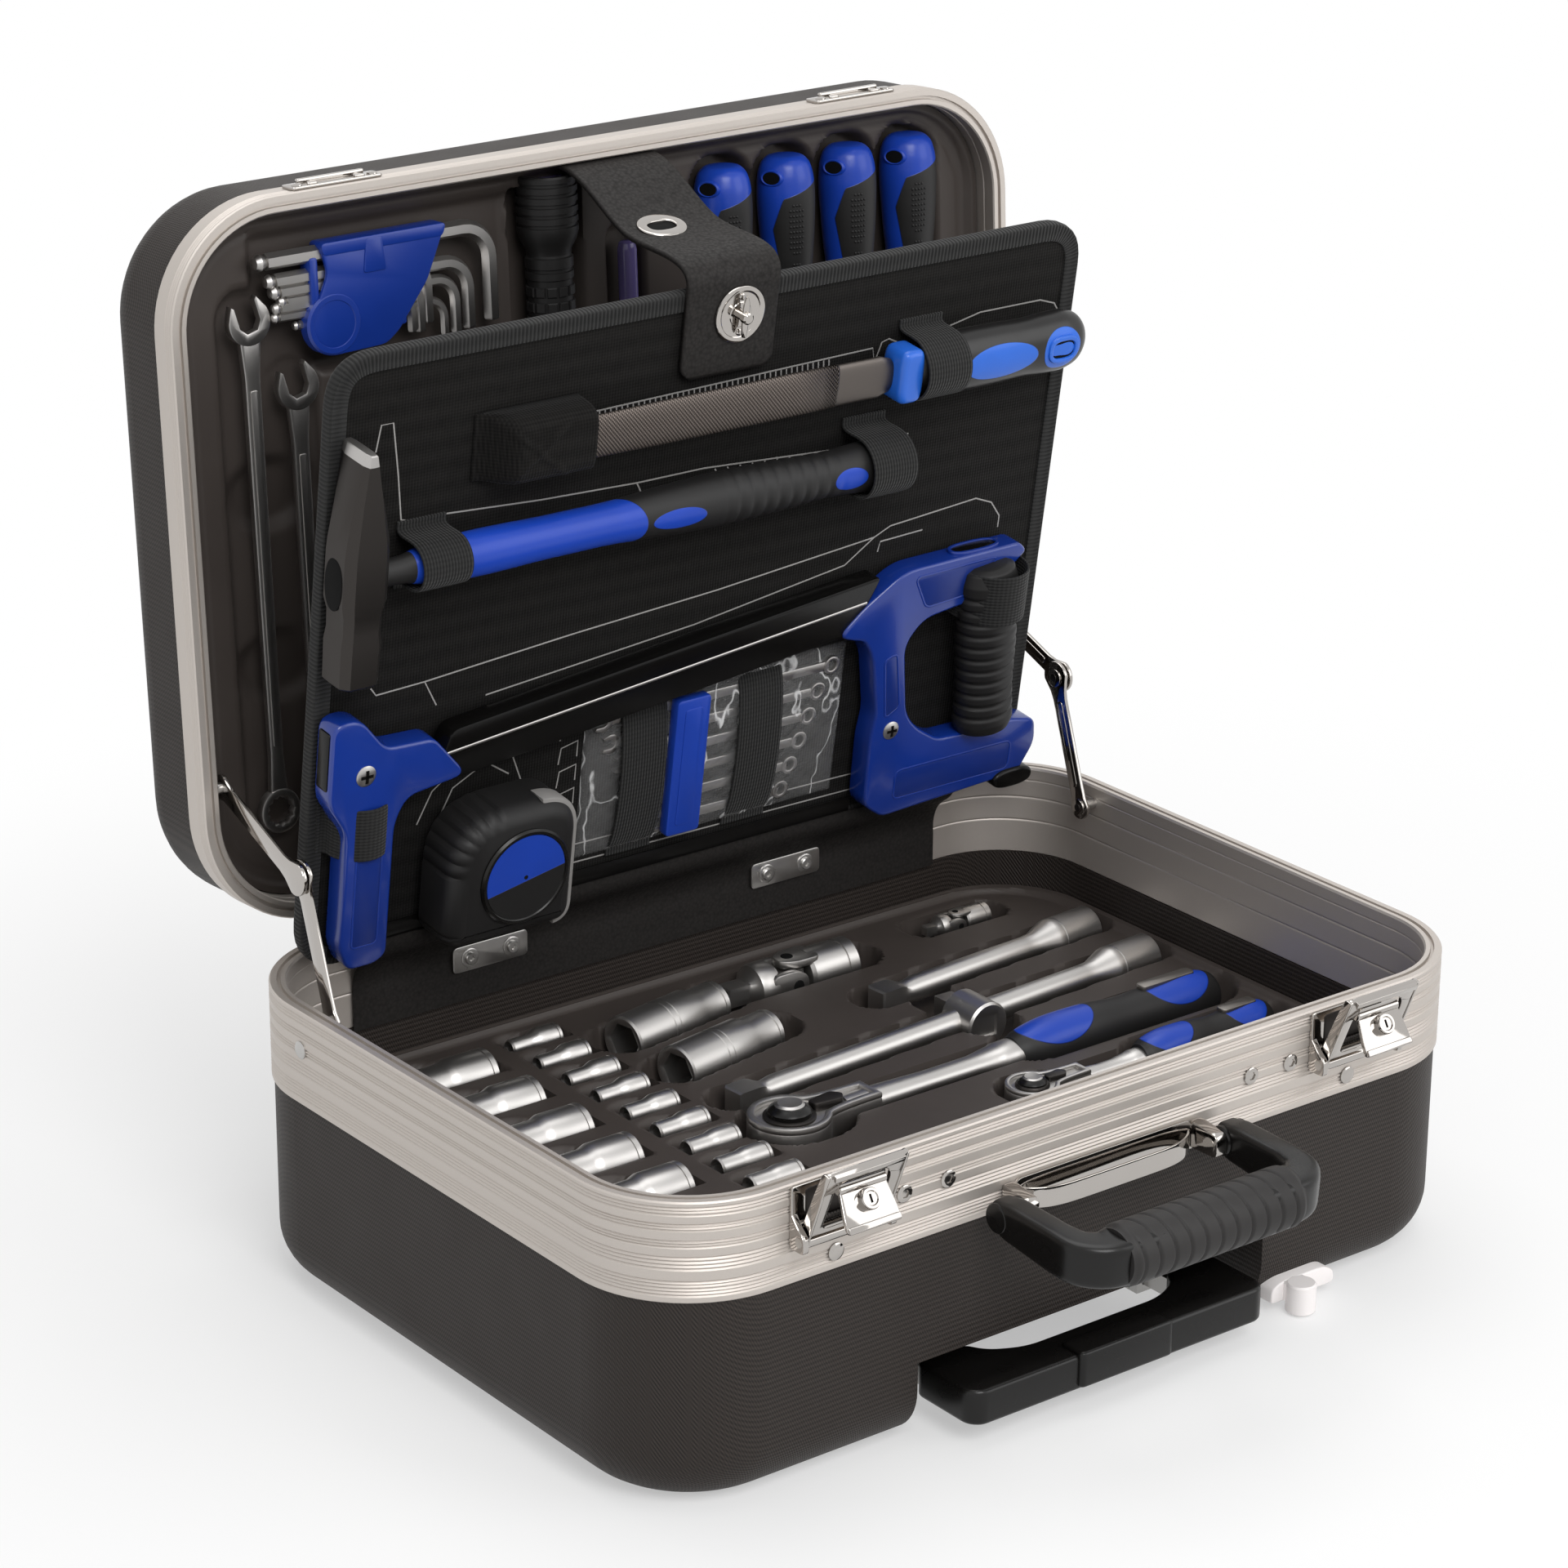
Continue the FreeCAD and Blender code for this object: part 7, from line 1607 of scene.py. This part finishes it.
def make_strap():
    """The leather strap: hung from the lid in a curve, and lapped on the panel under the lock."""
    lid_end, tuck = (ON_LID((0, -321.8, height))[1:] for height in (3.0, 11.0))
    top, low = (ON_PANEL((0, reach, -13.9))[1:] for reach in (-298, -253.5))
    middle = (lid_end + top) / 2 + (0, -3.0)
    keys = [tuck, lid_end, middle, top, top * 0.8 + low * 0.2, low]
    path = flow(keys, 90)
    run = lengths(path)
    shape = Shape()
    half = 25 - 5.0 * np.maximum(1 - (run[-1] - run) / 6.0, 0) ** 2
    x = half[:, None] * np.linspace(-1, 1, 41)
    points = np.stack([x, np.broadcast_to(path[:, :1], x.shape), np.broadcast_to(path[:, 1:], x.shape)], -1)
    shape.grid(points)
    strap = make_piece("leather_strap", shape, ["strap_leather"], "lid", ["strap"],
                       two_sided=2.2)
    anchor = (0, lid_end[0] * MM, lid_end[1] * MM)
    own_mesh(strap)
    shape = Shape()
    at = path[EYELET_ROW]
    ahead = unit(path[EYELET_ROW + 1] - path[EYELET_ROW - 1])
    out = np.array([ahead[1], -ahead[0]])

    def on_strap(points):
        across, along, rise = np.moveaxis(points, -1, 0)
        flat = at + along[..., None] * ahead + rise[..., None] * out
        return np.concatenate([across[..., None] + EYELET_X, flat], axis=-1)
    rim = oval(24, 20, 2.0, 44)
    slab(shape, rim, 0.9, 2.3, 0.6, 4, hole=oval(14, 8, 2.6, 44), to=on_strap)
    # Painted shade: the eyelet's hole is a near-black disc laid on the strap.
    slab(shape, oval(14.4, 8.4, 2.6, 44), 0.9, 1.3, 0.05, to=on_strap, shade=1)
    eyelet = make_piece("strap_eyelet", shape, ["bright_chrome", "dark_hole"], "lid")
    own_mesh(eyelet)


def make_turn_lock():
    """A turn lock: a round rimmed disc with two rivets, and a knob with a twisted wing."""
    shape = Shape(ON_PANEL)
    disc = [(0, 13.0), (0.5, 13.4), (1.0, 13.2), (1.3, 12.4), (1.2, 10.8), (0.9, 10.4), (0.9, 6.0),
            (1.2, 5.6), (1.2, 2.8)]
    lathe(shape, (*LOCK_AT, -15.1), (0, 0, -1), disc, segments=64)
    for side in (-1, 1):
        rivet = [(0, 1.7), (0.8, 1.6), (1.2, 0.9)]
        lathe(shape, (LOCK_AT[0], LOCK_AT[1] + 8.4 * side, -15.6), (0, 0, -1), rivet, segments=20)
    slab(shape, block((-6, 6), (-12, 12), 3) + LOCK_AT, -15.2, -11.6, 0.4)
    make_piece("lock_disc", shape, ["bright_chrome"], "panel", ["turn_plate"])
    shape = Shape(ON_PANEL)
    post = [(0, 2.3), (3.2, 2.3), (3.6, 2.8), (6.2, 2.8), (6.8, 2.0)]
    lathe(shape, (*LOCK_AT, -15.6), (0, 0, -1), post, segments=28)
    at = np.linspace(-1, 1, 40)
    wide = 3.6 * np.sqrt(np.maximum(1 - np.abs(at) ** 3, 0.04))
    section = oval(1, 1, 2.6, 24)
    cosine, sine = np.cos(0.5 * at)[:, None], np.sin(0.5 * at)[:, None]
    across, thick = wide[:, None] * section[:, 0], 2.0 * section[:, 1]
    x = LOCK_AT[0] + across * cosine - thick * sine
    y = np.broadcast_to((LOCK_AT[1] + 9.6 * at)[:, None], x.shape)
    z = -19.6 + across * sine * 0.5 + thick * cosine
    shape.grid(np.stack([x, y, z], -1), rings=True, caps=True)
    make_piece("wing_knob", shape, ["bright_chrome"], "turn_knob", ["turn_knob"])


def dress_nodes():
    """Every node carried over from the solids gets the finish of its slot."""
    for part in frame["record"]["subparts"]:
        mesh = nodes[part["node"]].data
        mesh.materials.clear()
        mesh.materials.append(FINISHES[part["material_slot"]])


# The photograph's viewpoint: where it looks, from how far, and through which lens.
VIEW_TARGET = (-69.573, -33.222, 248.1)
VIEW_AZIMUTH, VIEW_HEIGHT, VIEW_ROLL = -37.84, 20.953, 0.397
VIEW_DISTANCE = 1964.869
PHOTO_WIDTH, PHOTO_FOCUS = 1920, 5732.273
SENSOR_WIDTH = 36
# In metres: where the lamps aim, and half the floor's side.
LAMP_TARGET, FLOOR_REACH = Vector((0, 0, 0.2)), 6.0
# Rays that see the white surroundings in place of their light.
BACKDROP_RAYS = ("Is Camera Ray", "Is Glossy Ray", "Is Transmission Ray")


def add_camera():
    """The camera: on a line from its target by turn and height, aimed back along it, and rolled a little."""
    data = bpy.data.cameras.new("camera")
    data.sensor_width = SENSOR_WIDTH
    data.lens = PHOTO_FOCUS * SENSOR_WIDTH / PHOTO_WIDTH
    camera = bpy.data.objects.new("camera", data)
    bpy.context.scene.collection.objects.link(camera)
    turn, rise = math.radians(VIEW_AZIMUTH), math.radians(VIEW_HEIGHT)
    away = Vector((math.sin(turn) * math.cos(rise), -math.cos(turn) * math.cos(rise), math.sin(rise)))
    place = (Vector(VIEW_TARGET) + away * VIEW_DISTANCE) * MM
    aim = away.to_track_quat("Z", "Y").to_matrix().to_4x4()
    camera.matrix_world = Matrix.Translation(place) @ aim @ Matrix.Rotation(math.radians(VIEW_ROLL), 4, "Z")
    bpy.context.scene.camera = camera


def add_lamp(name, place, size, power):
    """A square lamp aimed at the middle of the object."""
    data = bpy.data.lights.new(name, "AREA")
    data.size = size
    data.energy = power
    lamp = bpy.data.objects.new(name, data)
    bpy.context.scene.collection.objects.link(lamp)
    lamp.location = place
    aim = Vector(place) - LAMP_TARGET
    lamp.rotation_euler = aim.to_track_quat("Z", "Y").to_euler()


def add_world():
    """White to the camera, to mirrors and through glass, and a plain even light on the object."""
    world = bpy.data.worlds.new("studio")
    world.use_nodes = True
    bpy.context.scene.world = world
    tree = world.node_tree
    light = tree.nodes["Background"]
    light.inputs["Color"].default_value = (1, 1, 1, 1)
    light.inputs["Strength"].default_value = 0.4
    white = tree.nodes.new("ShaderNodeBackground")
    white.inputs["Color"].default_value = (1, 1, 1, 1)
    white.inputs["Strength"].default_value = 1
    path = tree.nodes.new("ShaderNodeLightPath")
    seen = path.outputs[BACKDROP_RAYS[0]]
    for kind in BACKDROP_RAYS[1:]:
        either = tree.nodes.new("ShaderNodeMath")
        either.operation = "MAXIMUM"
        tree.links.new(seen, either.inputs[0])
        tree.links.new(path.outputs[kind], either.inputs[1])
        seen = either.outputs[0]
    mix = tree.nodes.new("ShaderNodeMixShader")
    tree.links.new(seen, mix.inputs[0])
    tree.links.new(light.outputs[0], mix.inputs[1])
    tree.links.new(white.outputs[0], mix.inputs[2])
    tree.links.new(mix.outputs[0], tree.nodes["World Output"].inputs[0])


def add_stage():
    """A white floor that keeps the object's shadow and turns into the white surroundings further out."""
    mesh = bpy.data.meshes.new("floor")
    corners = [(x * FLOOR_REACH, y * FLOOR_REACH, 0) for x, y in ((-1, -1), (1, -1), (1, 1), (-1, 1))]
    mesh.from_pydata(corners, [], [(0, 1, 2, 3)])
    floor = bpy.data.objects.new("floor", mesh)
    bpy.context.scene.collection.objects.link(floor)
    finish = Finish("floor_white", (0.9, 0.9, 0.9), 0.8)
    x, y, _ = finish.axes()
    away = x.maths("SQRT", x * x + y * y)
    kinds = [finish.node("ShaderNodeLightPath", {}, {}, kind) for kind in BACKDROP_RAYS]
    seen = x.maths("MAXIMUM", x.maths("MAXIMUM", kinds[0], kinds[1]), kinds[2])
    glow = finish.node("ShaderNodeEmission", {}, {"Color": (1, 1, 1, 1), "Strength": 1.0})
    share = seen * (finish.ramp(away, 0.25, 0.8) * 0.55 + 0.45)
    plain = Socket(finish, finish.shader.outputs[0])
    mix = finish.node("ShaderNodeMixShader", {}, {0: share, 1: plain, 2: glow})
    finish.tree.links.new(mix.link, finish.tree.nodes["Material Output"].inputs["Surface"])
    mesh.materials.append(finish.material)


PIECES = (make_frames, make_base_tray, make_sockets, make_drive_bars, make_ratchets, make_lid_tray,
          make_screwdrivers, make_torch, make_hex_keys, make_long_spanners, make_panel_board,
          make_panel_bands, make_file, make_hammer, make_hacksaw, make_tape, make_spanner_set,
          make_latch_plates, make_claws, make_keepers, make_handle_plate, make_carry_handle,
          make_trolley_grip, make_foot, make_wheels, make_stays, make_clamps, make_flap, make_turn_lock,
          make_strap)
for make in PIECES:
    make()
dress_nodes()
add_camera()
add_world()
add_stage()
add_lamp("key", (-0.7, -2.2, 2.3), 1.6, 50)
add_lamp("fill", (1.6, -2.0, 1.3), 1.8, 18)
add_lamp("top", (0.2, 0.6, 2.6), 2.0, 24)

bpy.context.scene.view_settings.view_transform = "Standard"
